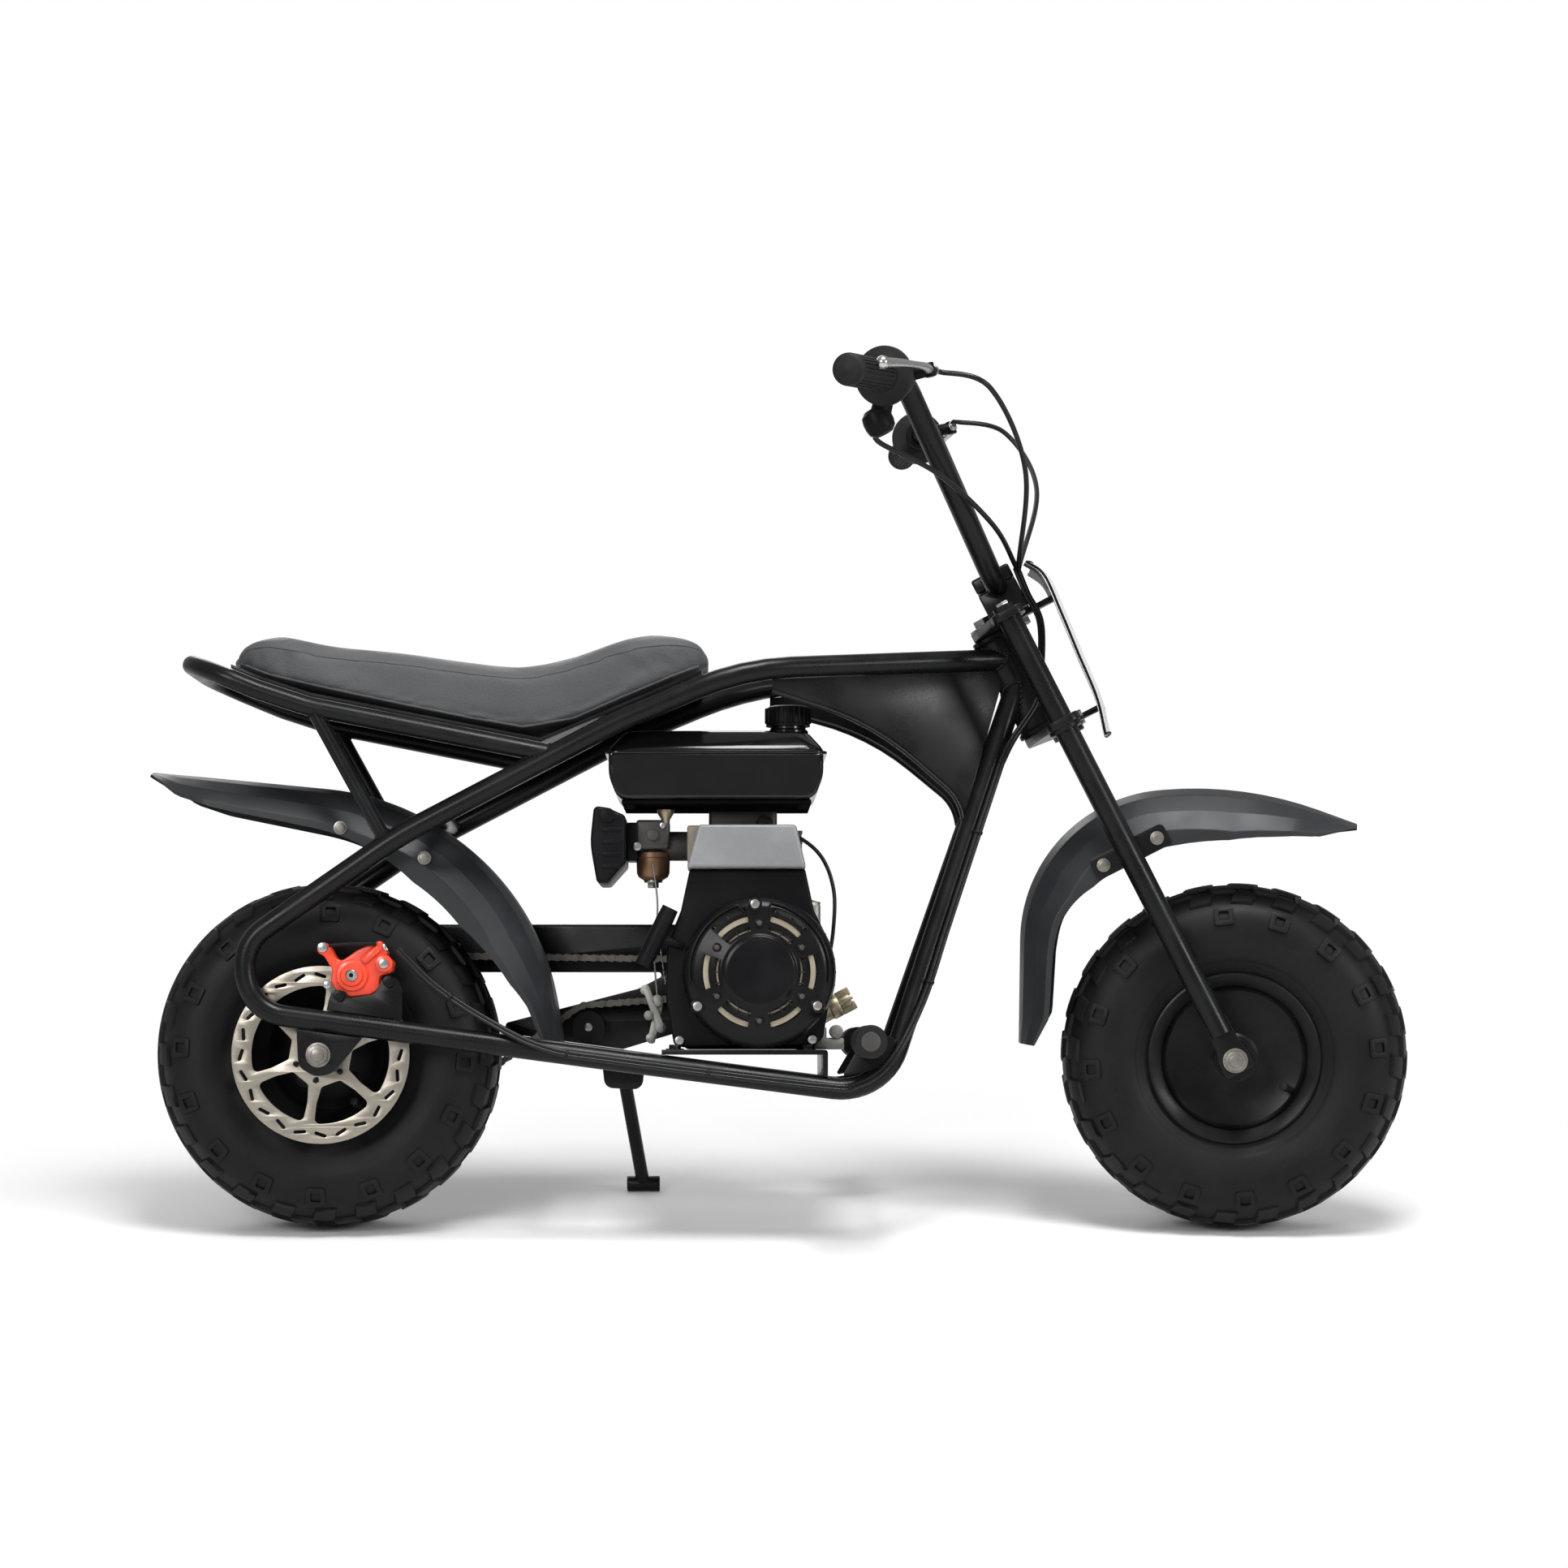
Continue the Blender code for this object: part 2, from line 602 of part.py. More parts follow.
def build_seat(bike):
    """The padded seat and the steel pan under it, which lies on the seat rail and on the main rails."""
    black = finish(*BLACK)
    lines = [above(SEAT_RAIL[3], SEAT_RAIL[2], SEAT_RAIL_RADIUS + 3 * GAP),
             above(SEAT_RAIL[2], SEAT_RAIL[1], SEAT_RAIL_RADIUS + 3 * GAP),
             above(SEAT_RAIL[1], SEAT_RAIL[0], SEAT_RAIL_RADIUS + 3 * GAP),
             above(RAIL[2], RAIL[1], RAIL_RADIUS + GAP)]
    rear, front = SEAT[0][0] + 0.004, SEAT[-1][0] - 0.006
    under = [(rear, lines[0][0] * rear + lines[0][1]), *(meet(a, b) for a, b in zip(lines, lines[1:])),
             (front, lines[3][0] * front + lines[3][1])]
    outline = under + [(x, z + SEAT_PAN) for x, z in reversed(under)]
    pan = prism("seat_pan", [outline], -0.106, 0.106, black)
    carry(bike, pan)
    upper = [(x, z + SEAT_PAN + GAP) for x, z in under]
    sections = []
    for x, low, high, half in SEAT:
        base = max(a[1] + (b[1] - a[1]) * (x - a[0]) / (b[0] - a[0]) for a, b in zip(upper, upper[1:])
                   if a[0] - 0.02 <= x <= b[0] + 0.02)
        base = max(base, low)
        high = max(high, base + 0.006)
        section = []
        for i in range(14):
            angle = math.tau * (i + 0.5) / 14
            c, s = math.cos(angle), math.sin(angle)
            y = half * math.copysign(abs(c) ** 0.45, c)
            z = (base + high) / 2 + (high - base) / 2 * math.copysign(abs(s) ** 0.45, s)
            section.append((x, y, max(z, base)))
        sections.append(section)
    carry(bike, loft("seat", sections, finish(*SEAT_GREY)))


def wheel_rim(name, right, left, material):
    """A pressed steel rim with its dished disc and a hub that reaches to both sides, about the local Y axis."""
    b = BEAD_RADIUS - 3 * GAP
    hub = 0.022
    profile = [(HUB_BORE, -right), (hub, -right), (hub, -0.014), (0.058, -0.006), (0.061, -0.034), (b - 0.003, -0.046),
               (b - 0.003, -0.056), (0.087, -0.060), (0.087, -0.0575), (b, -0.053), (b, -0.044), (0.0645, -0.034),
               (0.0645, 0.034), (b, 0.044), (b, 0.053), (0.087, 0.0575), (0.087, 0.060), (b - 0.003, 0.056), (b - 0.003, 0.046),
               (0.061, 0.034), (0.058, 0.002), (hub, -0.006), (hub, left), (HUB_BORE, left)]
    return turned(name, profile, "Y", segments=24, material=material)


def tyre_radius(share):
    """The radius at a share of the tyre's height, from bead to the top of its blocks."""
    return BEAD_RADIUS + (TYRE_RADIUS - BEAD_RADIUS) * share


# One side of the tyre's outside, from bead to crown: radius, half width
TYRE_SIDE = [(BEAD_RADIUS, 0.0480), (BEAD_RADIUS + 0.001, 0.0530), (tyre_radius(0.125), 0.0560), (tyre_radius(0.27), 0.0650),
             (tyre_radius(0.46), 0.0705), (tyre_radius(0.64), 0.0690), (tyre_radius(0.80), 0.0600), (tyre_radius(0.91), 0.0400),
             (TYRE_RADIUS - LUG_HEIGHT, 0.0130)]
TYRE_SEGMENTS = 36


def tyre(name, material):
    """A fat tyre about the local Y axis, with raised blocks round both shoulders and across the crown."""
    outer = [(r, -w) for r, w in TYRE_SIDE] + [(r, w) for r, w in reversed(TYRE_SIDE)]
    low, high = tyre_radius(0.37), tyre_radius(0.78)
    inner = [(low, 0.0600), (high, 0.0430), (high, -0.0430), (low, -0.0600)]
    piece = turned(name, outer + inner, "Y", segments=TYRE_SEGMENTS, material=material)
    work = bmesh.new()
    work.from_mesh(piece.data)
    step = math.tau / TYRE_SEGMENTS
    blocks = []
    for face in work.faces:
        centre = face.calc_center_median()
        radius = math.hypot(centre.x, centre.z)
        number = int(((math.atan2(centre.z, centre.x) % math.tau) / step))
        even = number % 2 == (0 if centre.y > 0 else 1)
        if face.normal.dot(Vector((centre.x, 0, centre.z)).normalized()) < 0.05:
            continue
        if tyre_radius(0.64) < radius < tyre_radius(0.82) and abs(centre.y) > 0.05 and even:
            blocks.append(face)
        elif radius > tyre_radius(0.91) and abs(centre.y) > 0.012 and not even:
            blocks.append(face)
    bmesh.ops.inset_individual(work, faces=blocks, thickness=0.0015, depth=LUG_HEIGHT)
    work.to_mesh(piece.data)
    work.free()
    return piece


def rotor_outlines():
    """The brake rotor's outer edge, its bore, six windows between straight spokes, and its ring of slanted slots."""
    z0 = 0.0
    outlines = [circle(0, z0, ROTOR_RADIUS, 60), circle(0, z0, 0.016, 16)]
    window_out, window_in, spoke_half = 0.0705, 0.026, 0.0055
    for k in range(6):
        middle = math.radians(50 + 60 * k)
        reach_out = math.radians(30) - math.asin(spoke_half / window_out)
        reach_in = math.radians(30) - math.asin(spoke_half / window_in)
        arc = [(window_out, middle - reach_out + 2 * reach_out * i / 6) for i in range(7)]
        arc += [(window_in, middle + reach_in), (window_in, middle - reach_in)]
        outlines.append([(r * math.cos(a), r * math.sin(a)) for r, a in arc])
    slots = 30
    for k in range(slots):
        a = math.tau * k / slots
        width, slant = math.radians(3.1), math.radians(3.5)
        corners = [(0.0770, a - width), (0.0770 + 0.0022, a - width), (0.0838, a + width - slant * 0.2), (0.0838 - 0.0022, a + width)]
        outlines.append([(r * math.cos(t), r * math.sin(t)) for r, t in corners])
    return outlines


def sprocket_outlines(teeth, inner):
    """A toothed outline whose tips stay just inside the chain."""
    tip = CHAIN_PITCH / 2 / math.sin(math.pi / teeth) - CHAIN_HALF_HEIGHT - 0.0008
    outline = []
    for k in range(teeth):
        for share, radius in ((0.0, tip), (0.5, tip - 0.003)):
            a = math.tau * (k + share) / teeth
            outline.append((radius * math.cos(a), radius * math.sin(a)))
    return [outline, circle(0, 0, inner, 20)]


def build_wheels(bike, steering):
    """Both wheels about their axles, and the axles."""
    black, rubber, steel = finish(*BLACK), finish(*TYRE), finish(*STEEL)
    rear = empty("rear_wheel_axis", bike, (0, 0, AXLE_Z))
    front = empty("front_wheel_axis", steering, (FORK_OFFSET, 0, -HEAD_TO_AXLE))
    rotor_face = abs(ROTOR_Y) - ROTOR_THICKNESS / 2 - GAP
    carry(rear, tyre("rear_tyre", rubber), wheel_rim("rear_rim", rotor_face, CHAIN_Y - 0.002 - GAP, black))
    y = ROTOR_Y
    rotor = prism("brake_rotor", rotor_outlines(), y - ROTOR_THICKNESS / 2, y + ROTOR_THICKNESS / 2, finish(*ROTOR))
    back, face = y + ROTOR_THICKNESS / 2, y - ROTOR_THICKNESS / 2
    hub = turned("hub", [(HUB_BORE, back), (0.018, back), (0.018, face), (0.024, face - 0.0002), (0.024, face - 0.006),
                         (0.016, face - 0.008), (HUB_BORE, face - 0.008)], "Y", segments=24)
    carry(rear, join(rotor, hub))
    sprocket = prism("rear_sprocket", sprocket_outlines(REAR_TEETH, 0.016), CHAIN_Y - 0.002, CHAIN_Y + 0.002, black)
    carry(rear, sprocket)
    carry(front, tyre("front_tyre", rubber), wheel_rim("front_rim", FORK_HALF_SPACING - 0.006, FORK_HALF_SPACING - 0.006, black))
    axle = axle_bolt("rear_axle", W + PLATE / 2 + GAP, steel)
    axle.data.transform(Matrix.Translation((0, 0, AXLE_Z)))
    carry(bike, axle)
    axle = axle_bolt("front_axle", FORK_HALF_SPACING + 0.004 + GAP, steel)
    axle.data.transform(Matrix.Translation((FORK_OFFSET, 0, -HEAD_TO_AXLE)))
    carry(steering, axle)
    return rear, front


def axle_bolt(name, seat, material):
    """A through bolt with a hexagon head and nut that bear at a distance from the middle."""
    shank = rod(name, (0, -seat - 0.010, 0), (0, seat + 0.010, 0), AXLE_RADIUS, 16, material)
    heads = [rod("head", (0, s * seat, 0), (0, s * (seat + 0.008), 0), 0.0115, 6) for s in (-1, 1)]
    return join(shank, *heads)


def build_brake(bike):
    """The rear caliper over the rotor and the bracket that carries it on the lower rail."""
    red, black = finish(*RED), finish(*BLACK)
    z = AXLE_Z
    inner, outer = -0.0765, -0.0995
    corners = [(0.000, 0.287, 0.004), (0.010, 0.290, 0.004), (0.018, 0.278, 0.004), (0.048, 0.284, 0.008), (0.062, 0.292, 0.004),
               (0.074, 0.288, 0.004), (0.074, 0.262, 0.006), (0.070, 0.246, 0.006), (0.056, 0.240, 0.006), (0.030, 0.228, 0.006),
               (0.014, 0.232, 0.006), (0.012, 0.252, 0.006), (0.004, 0.268, 0.004)]
    body = plate("brake_caliper", corners, outer, inner, red)
    half = ROTOR_THICKNESS / 2 + 0.0015
    slot = turned("slot", [(0.0, ROTOR_Y - half), (ROTOR_RADIUS + 0.004, ROTOR_Y - half), (ROTOR_RADIUS + 0.004, ROTOR_Y + half),
                           (0.0, ROTOR_Y + half)], "Y", (0, 0, z), 48, guide=True)
    body = cut(body, slot)
    boss = rod("boss", (0.036, outer + 0.002, 0.262), (0.036, outer - 0.010, 0.262), 0.012, 16)
    carry(bike, join(body, boss))
    slope, lift = above(RAIL[5], RAIL[6], RAIL_RADIUS + GAP)
    y = outer - GAP
    corners = [(0.008, slope * 0.008 + lift, 0), (0.084, slope * 0.084 + lift, 0), (0.084, 0.232, 0.006), (0.070, 0.2385, 0.006),
               (0.008, 0.240, 0.006)]
    carry(bike, plate("caliper_bracket", corners, y - 0.005, y, black))


def build_steering(steering):
    """The fork, clamps, handlebar, controls, number plate and front fender, in the steering axis's frame."""
    black, dark, rubber = finish(*BLACK), finish(*DARK), finish(*RUBBER)
    steel = finish(*STEEL)
    x, y = FORK_OFFSET, FORK_HALF_SPACING
    top = CLAMP_HALF_SPAN + 0.010
    flat = 0.004
    for side, sign in (("left", 1), ("right", -1)):
        leg = rod(f"{side}_fork_leg", (x, sign * y, -HEAD_TO_AXLE + 0.030), (x, sign * y, top), FORK_LEG_RADIUS, 16, black)
        foot = plate("foot", [(x - 0.014, -HEAD_TO_AXLE + 0.046, 0), (x - 0.014, -HEAD_TO_AXLE - 0.014, 0.012),
                              (x + 0.014, -HEAD_TO_AXLE - 0.014, 0.012), (x + 0.014, -HEAD_TO_AXLE + 0.046, 0)],
                     sign * (y - flat), sign * (y + flat))
        tab = plate("tab", [(-0.015, -0.220, 0.004), (0.068, -0.220, 0.004), (0.068, -0.196, 0.006), (-0.015, -0.196, 0.006)],
                    sign * 0.0784, sign * 0.0815)
        leg = join(leg, foot, tab)
        hole = rod("hole", (x, sign * (y - 0.02), -HEAD_TO_AXLE), (x, sign * (y + 0.02), -HEAD_TO_AXLE),
                   AXLE_RADIUS + GAP, 16, guide=True)
        carry(steering, cut(leg, hole))
    plate_piece, stays = number_plate()
    carry(steering, plate_piece)
    stem_end = CLAMP_HALF_SPAN - CLAMP_THICKNESS / 2
    stem = rod("stem", (0, 0, -stem_end - 0.003), (0, 0, stem_end - GAP), STEM_RADIUS, 20)
    carry(steering, join(clamp("lower_clamp", -CLAMP_HALF_SPAN, black), stem, stays[0]))
    blocks = build_handlebar(steering)
    carry(steering, join(clamp("upper_clamp", CLAMP_HALF_SPAN, black), *blocks, stays[1]))
    path = [(*to_steering(p[:3]), p[3]) for p in FRONT_FENDER]
    carry(steering, fender("front_fender", path, FRONT_SKIRT, True, dark))


def clamp(name, level, material):
    """A flat triple clamp with holes for both legs, at a level along the steering axis."""
    x, y = FORK_OFFSET, FORK_HALF_SPACING
    reach = FORK_LEG_RADIUS + 0.006
    loop = [(-0.0185, -0.012, 0.012), (-0.0185, 0.012, 0.012), (x - reach, y, 0.020), (x - reach + 0.004, y + reach, 0.010),
            (x + reach, y + reach, 0.010), (x + reach, y - reach, 0.010), (x + 0.006, 0.030, 0.020), (x + 0.006, -0.030, 0.020),
            (x + reach, reach - y, 0.010), (x + reach, -y - reach, 0.010), (x - reach + 0.004, -y - reach, 0.010), (x - reach, -y, 0.020)]
    outline = rounded([(*p[:2], 0, p[2]) for p in [loop[-1]] + loop + [loop[0]]], math.radians(30))[1:-1]
    holes = [circle(x, s * y, FORK_LEG_RADIUS + GAP, 16) for s in (-1, 1)]
    flat = prism(name, [[(p.x, p.y) for p in outline], *holes], -CLAMP_THICKNESS / 2, CLAMP_THICKNESS / 2, material)
    flat.data.transform(Matrix.Translation((0, 0, level)) @ Matrix.Rotation(math.radians(-90), 4, "X"))
    return flat


# The handlebar's corners on its right half in the upright frame: x, y, z, bend radius
BAR = [(HEAD.x - 0.0193, 0.0, 0.660, 0), (HEAD.x - 0.0193, 0.056, 0.660, 0.030), (HEAD.x - 0.1033, 0.200, 0.850, 0.035),
       (HEAD.x - 0.1433, 0.372, 0.838, 0)]


def build_handlebar(steering):
    """The bar, grips, throttle housing and levers; returns the blocks that clamp the bar."""
    black, rubber, steel = finish(*BLACK), finish(*RUBBER), finish(*STEEL)
    right = [(*to_steering((x, -y, z)), r) for x, y, z, r in BAR]
    left = [(*to_steering((x, y, z)), r) for x, y, z, r in BAR]
    corners = right[:0:-1] + left[1:]
    bar = tube("handlebar", rounded(corners), BAR_RADIUS, black, 12)
    carry(steering, bar)
    middle = Vector(right[0][:3])
    base = CLAMP_HALF_SPAN + CLAMP_THICKNESS / 2 - 0.002
    blocks = []
    for side, sign in (("left", 1), ("right", -1)):
        y = sign * 0.028
        block = box("block", (middle.x - 0.021, y - 0.010, base), (middle.x + 0.021, y + 0.010, middle.z + 0.017), bevel=0.003)
        block = cut(block, rod("bore", (middle.x, y - 0.02, middle.z), (middle.x, y + 0.02, middle.z), BAR_RADIUS + GAP, 16, guide=True))
        blocks.append(block)
        ends = left if sign > 0 else right
        tip, bend = Vector(ends[3][:3]), Vector(ends[2][:3])
        along = (tip - bend).normalized()
        turn = Vector((0, 0, 1)).rotation_difference(along).to_matrix().to_4x4()
        ridge, root = GRIP_RADIUS, GRIP_RADIUS - 0.0012
        inner = BAR_RADIUS + GAP
        length = 0.116
        profile = [(0.0, 0.005), (0.013, 0.005), (GRIP_RADIUS, 0.002), (ridge, -length + 0.010), (0.029, -length + 0.006),
                   (0.029, -length), (inner, -length), (inner, GAP), (0.0, GAP)]
        grip = turned(f"{side}_grip", profile, "Z", segments=20, material=rubber)
        grip.data.transform(Matrix.Translation(tip) @ turn)
        carry(steering, grip)
    along = (Vector(right[3][:3]) - Vector(right[2][:3])).normalized()
    spot = Vector(right[3][:3]) - along * 0.1305
    carry(steering, housing("throttle_housing", spot, along, black))
    carry(steering, lever("right_lever", spot - along * 0.0190, along, steel))
    along = (Vector(left[3][:3]) - Vector(left[2][:3])).normalized()
    spot = Vector(left[3][:3]) - along * 0.134
    carry(steering, lever("left_lever", spot, along, steel))
    return blocks


def housing(name, spot, along, material):
    """The twist grip's round housing on the bar, with its cable neck pointing down."""
    turn = Vector((0, 0, 1)).rotation_difference(along).to_matrix().to_4x4()
    ring = turned(name, [(BAR_RADIUS + GAP, -0.013), (0.022, -0.013), (0.023, -0.011), (0.023, 0.011), (0.022, 0.013),
                         (BAR_RADIUS + GAP, 0.013)], "Z", segments=20, material=material)
    ring.data.transform(Matrix.Translation(spot) @ turn)
    down = to_steering(HEAD + Vector((-0.25, 0, -1))).normalized()
    neck = rod("neck", spot + down * 0.0175, spot + down * 0.046, 0.0105, 10)
    bulb = turned("bulb", [(0.0, -0.014), (0.012, -0.010), (0.015, 0.0), (0.012, 0.010), (0.0, 0.014)], "Z", segments=12)
    bulb.data.transform(Matrix.Translation(spot + down * 0.044))
    return join(ring, neck, bulb)


def lever(name, spot, along, material):
    """A brake lever: a collar on the bar, a perch ahead of it and a blade along the grip."""
    turn = Vector((0, 0, 1)).rotation_difference(along).to_matrix().to_4x4()
    collar = turned(name, [(BAR_RADIUS + GAP, -0.005), (0.0165, -0.005), (0.0165, 0.005), (BAR_RADIUS + GAP, 0.005)], "Z",
                    segments=16, material=material)
    collar.data.transform(Matrix.Translation(spot) @ turn)
    ahead = to_steering(HEAD + Vector((0.92, 0, 0.20))).normalized()
    pivot = spot + ahead * 0.034
    perch = rod("perch", spot + ahead * 0.013, pivot + ahead * 0.004, 0.007, 10)
    path = [pivot, pivot + along * 0.040 + ahead * 0.006, pivot + along * 0.095 + ahead * 0.004,
            pivot + along * 0.140 - ahead * 0.004]
    blade = tube("blade", smooth_route(path, 7), 0.0045, sides=6)
    ball = turned("ball", [(0.0, -0.0070), (0.006, -0.004), (0.006, 0.004), (0.0, 0.0070)], "Z", segments=8)
    ball.data.transform(Matrix.Translation(path[-1]))
    return join(collar, perch, blade, ball)


# The number plate's middle line in the steering axis's frame: x, z, half width
PLATE_LINE = [(0.0622, -0.0897, 0.058), (0.0710, -0.0530, 0.070), (0.0745, -0.0050, 0.080), (0.0780, 0.0400, 0.083),
              (0.0797, 0.0809, 0.080), (0.0701, 0.1016, 0.066)]


def number_plate():
    """The upright number plate ahead of the fork, curved back at both sides, and its lower and upper stays."""
    count = 7
    rows = []
    for x, z, half in PLATE_LINE:
        row = []
        for j in range(count):
            s = -1 + 2 * j / (count - 1)
            row.append(Vector((x - 0.014 * abs(s) ** 2.5, half * s, z)))
        rows.append(row)
    work = bmesh.new()
    grid = [[work.verts.new(p) for p in row] for row in rows]
    for a, b in zip(grid, grid[1:]):
        for i in range(count - 1):
            work.faces.new((a[i], a[i + 1], b[i + 1], b[i]))
    bmesh.ops.recalc_face_normals(work, faces=work.faces)
    mesh = bpy.data.meshes.new("number_plate")
    work.to_mesh(mesh)
    work.free()
    piece = add("number_plate", mesh, finish(*WHITE))
    wall = piece.modifiers.new("Wall", "SOLIDIFY")
    wall.thickness = 0.0025
    wall.offset = 0.0
    piece = as_mesh(piece)
    stays = []
    for level in (-CLAMP_HALF_SPAN, CLAMP_HALF_SPAN):
        below, above_it = next((a, b) for a, b in zip(PLATE_LINE, PLATE_LINE[1:]) if a[1] <= level <= b[1])
        share = (level - below[1]) / (above_it[1] - below[1])
        start, z = FORK_OFFSET, level
        end = below[0] + (above_it[0] - below[0]) * share - 0.0013 - 4 * GAP
        stays.append(box("stay", (start, -0.012, z - 0.003), (end, 0.012, z + 0.003), bevel=0.001))
    return piece, stays


def at_rest(point):
    """A point of the steering axis's frame, in the upright frame, with the fork turned as it rests."""
    return HEAD + Matrix.Rotation(-RAKE, 3, "Y") @ (Matrix.Rotation(STEER_AT_REST, 3, "Z") @ Vector(point))


def build_cables(bike):
    """The control cables: three from the bar that meet ahead of the fork, and the bundle down to the caliper."""
    rubber = finish(*RUBBER)
    runs = [smooth_route([at_rest(to_steering(p)) for p in route], 9)
            for route in (THROTTLE_CABLE, RIGHT_BRAKE_CABLE, LEFT_BRAKE_CABLE)]
    cables = [tube(name, run, CABLE_RADIUS, rubber, 6) for name, run in zip(("upper_cables", "second", "third"), runs)]
    down = Vector(LOWER_CABLES[1]) - Vector(LOWER_CABLES[0])
    last = Vector(LOWER_CABLES[0]) - down.normalized() * 2 * GAP
    route = [at_rest(p) for p in UPPER_BUNDLE] + [last - down * 0.30 + Vector((0.004, -0.003, 0.0)), last]
    bundle = tube("bundle", smooth_route(route, 16), 0.0040, sides=8)
    carry(bike, join(cables[0], bundle, cables[1], cables[2]))
    carry(bike, tube("lower_cables", smooth_route(LOWER_CABLES, 30), 0.0040, rubber, 8))


# The stand's leg as it parks and as it folds, from its pivot
STAND_LENGTH = 0.140
STAND_DOWN = Vector((0.139, 0.515, -0.857)).normalized()
STAND_FOLDED = Vector((-1.0, 0.03, 0.08)).normalized()
STAND_AXIS = STAND_DOWN.cross(STAND_FOLDED).normalized()
STAND_HUB_HALF = 0.0075
STAND_CLEAR = 0.0075


def build_stand(bike):
    """The side stand under the left rail: its lug, and the leg with its foot, about the pivot."""
    black = finish(*BLACK)
    x, drop = 0.300, 0.0
    rail_z = line_at(RAIL[5], RAIL[6], x)
    y = W + RAIL_RADIUS + GAP
    lug = plate("stand_lug", [(x - 0.024, rail_z + 0.008, 0.003), (x - 0.020, rail_z - 0.030, 0.010), (x + 0.020, rail_z - 0.032, 0.010),
                              (x + 0.024, rail_z + 0.006, 0.003)], y, y + 0.005, black)
    centre = Vector((x, y + 0.005 + STAND_CLEAR + STAND_HUB_HALF, rail_z - 0.018))
    pivot = empty("stand_axis", bike, centre)
    reach = (centre.y - y - 0.0025) / STAND_AXIS.y
    pin = rod("bolt", centre - STAND_AXIS * reach, centre + STAND_AXIS * (STAND_HUB_HALF + 0.006), 0.0038, 12)
    carry(bike, join(lug, pin))
    foot = STAND_DOWN * STAND_LENGTH
    leg = tube("side_stand", [STAND_DOWN * 0.002, foot], 0.0072, black, 12)
    hub = rod("hub", STAND_AXIS * -STAND_HUB_HALF, STAND_AXIS * STAND_HUB_HALF, 0.0095, 16)
    pad = rod("pad", foot - Vector((0.018, 0, -0.001)), foot + Vector((0.018, 0, 0.001)), 0.0085, 12)
    leg = cut(join(leg, hub, pad), rod("bore", STAND_AXIS * -0.02, STAND_AXIS * 0.02, 0.0038 + 0.0008, 12, guide=True))
    carry(pivot, leg)
    return pivot


def build_engine(bike):
    """The engine on its plate: case, cylinder, shrouds, recoil starter, tank, carburettor, filter and muffler."""
    cast, dark, gloss = finish(*CAST), finish(*DARK), finish(*GLOSS)
    black, grey, steel, bronze = finish(*BLACK), finish(*GREY), finish(*STEEL), finish(*BRONZE)
    base = ENGINE_BASE_Z
    x0, x1, case_top = 0.366, 0.506, 0.335
    case = box("engine_case", (x0, -0.060, base), (x1, 0.060, case_top), cast, 0.007)
    plug = rod("plug", (x1 - 0.006, -0.030, 0.216), (0.541, -0.030, 0.238), 0.013, 12)
    carry(bike, join(case, plug))
    cylinder_x0, cylinder_x1 = 0.388, 0.488
    pitch, fin = 0.0105, 0.0035
    core_top = 0.411
    cylinder = box("cylinder", (cylinder_x0 + 0.014, -0.030, case_top + GAP), (cylinder_x1 - 0.014, 0.036, core_top), cast)
    z = case_top + 0.006
    while z + fin < core_top:
        cylinder = join(cylinder, box("fin", (cylinder_x0, -0.042, z), (cylinder_x1, 0.048, z + fin)))
        z += pitch
    cover = box("cover", (0.392, -0.034, core_top - 0.002), (0.462, 0.038, TANK_BOTTOM_Z - GAP), bevel=0.004)
    carry(bike, join(cylinder, cover))
    build_tank(bike)
    shroud = plate("shroud_top", [(0.384, 0.408, 0.003), (0.477, 0.408, 0.003), (0.487, 0.369, 0.004), (0.487, 0.3655, 0),
                                  (0.372, 0.3655, 0), (0.372, 0.369, 0.003)], -0.110, -0.048, grey)
    carry(bike, shroud)
    fan = plate("fan_housing", [(0.373, 0.3652, 0.002), (0.486, 0.3652, 0.002), (0.499, 0.311, 0.02), (0.522, 0.262, 0.06),
                                (0.512, 0.196, 0.012), (0.498, base + 0.002, 0.006), (0.366, base + 0.002, 0.008), (0.362, 0.215, 0.03),
                                (0.362, 0.320, 0.02)], -0.096, -0.0603, dark)
    carry(bike, fan)
    carry(bike, recoil_cover(gloss))
    start, end = Vector((0.326, -0.106, 0.268)), Vector((0.354, -0.106, 0.326))
    middle = (start + end) / 2
    handle = rod("recoil_handle", start, end, 0.0075, 12, dark)
    stem = rod("stem", middle, Vector((0.364, -0.100, middle.z - 0.008)), 0.004, 10)
    handle = join(handle, stem)
    carry(bike, handle)
    build_intake(bike)
    build_muffler(bike)
    build_clutch(bike)


def build_tank(bike):
    """The fuel tank with its seam flange, filler neck and cap."""
    gloss = finish(*GLOSS)
    y0, y1 = -0.0925, 0.072
    low = TANK_BOTTOM_Z
    corners = [(0.292, 0.507, 0.010), (0.508, 0.507, 0.010), (0.508, 0.462, 0.012), (0.480, low, 0.014), (0.300, low, 0.014), (0.291, 0.470, 0.010)]
    tank = plate("fuel_tank", corners, y0, y1, gloss)
    seam = plate("seam", [(0.287, 0.485, 0), (0.512, 0.485, 0), (0.512, 0.482, 0), (0.287, 0.482, 0)], y0 - 0.001, y1 + 0.004)
    tank = join(tank, seam)
    neck = rod("neck", (0.473, -0.045, 0.500), (0.473, -0.045, 0.513), 0.018, 20)
    carry(bike, join(tank, neck))
    cap_low, cap_high = 0.513 + GAP, 0.534
    profile = [(0.0, cap_high), (0.021, cap_high), (0.024, cap_high - 0.003), (0.024, cap_low), (0.0, cap_low)]
    carry(bike, turned("tank_cap", profile, "Z", (0.473, -0.045, 0), 24, finish(*DARK)))


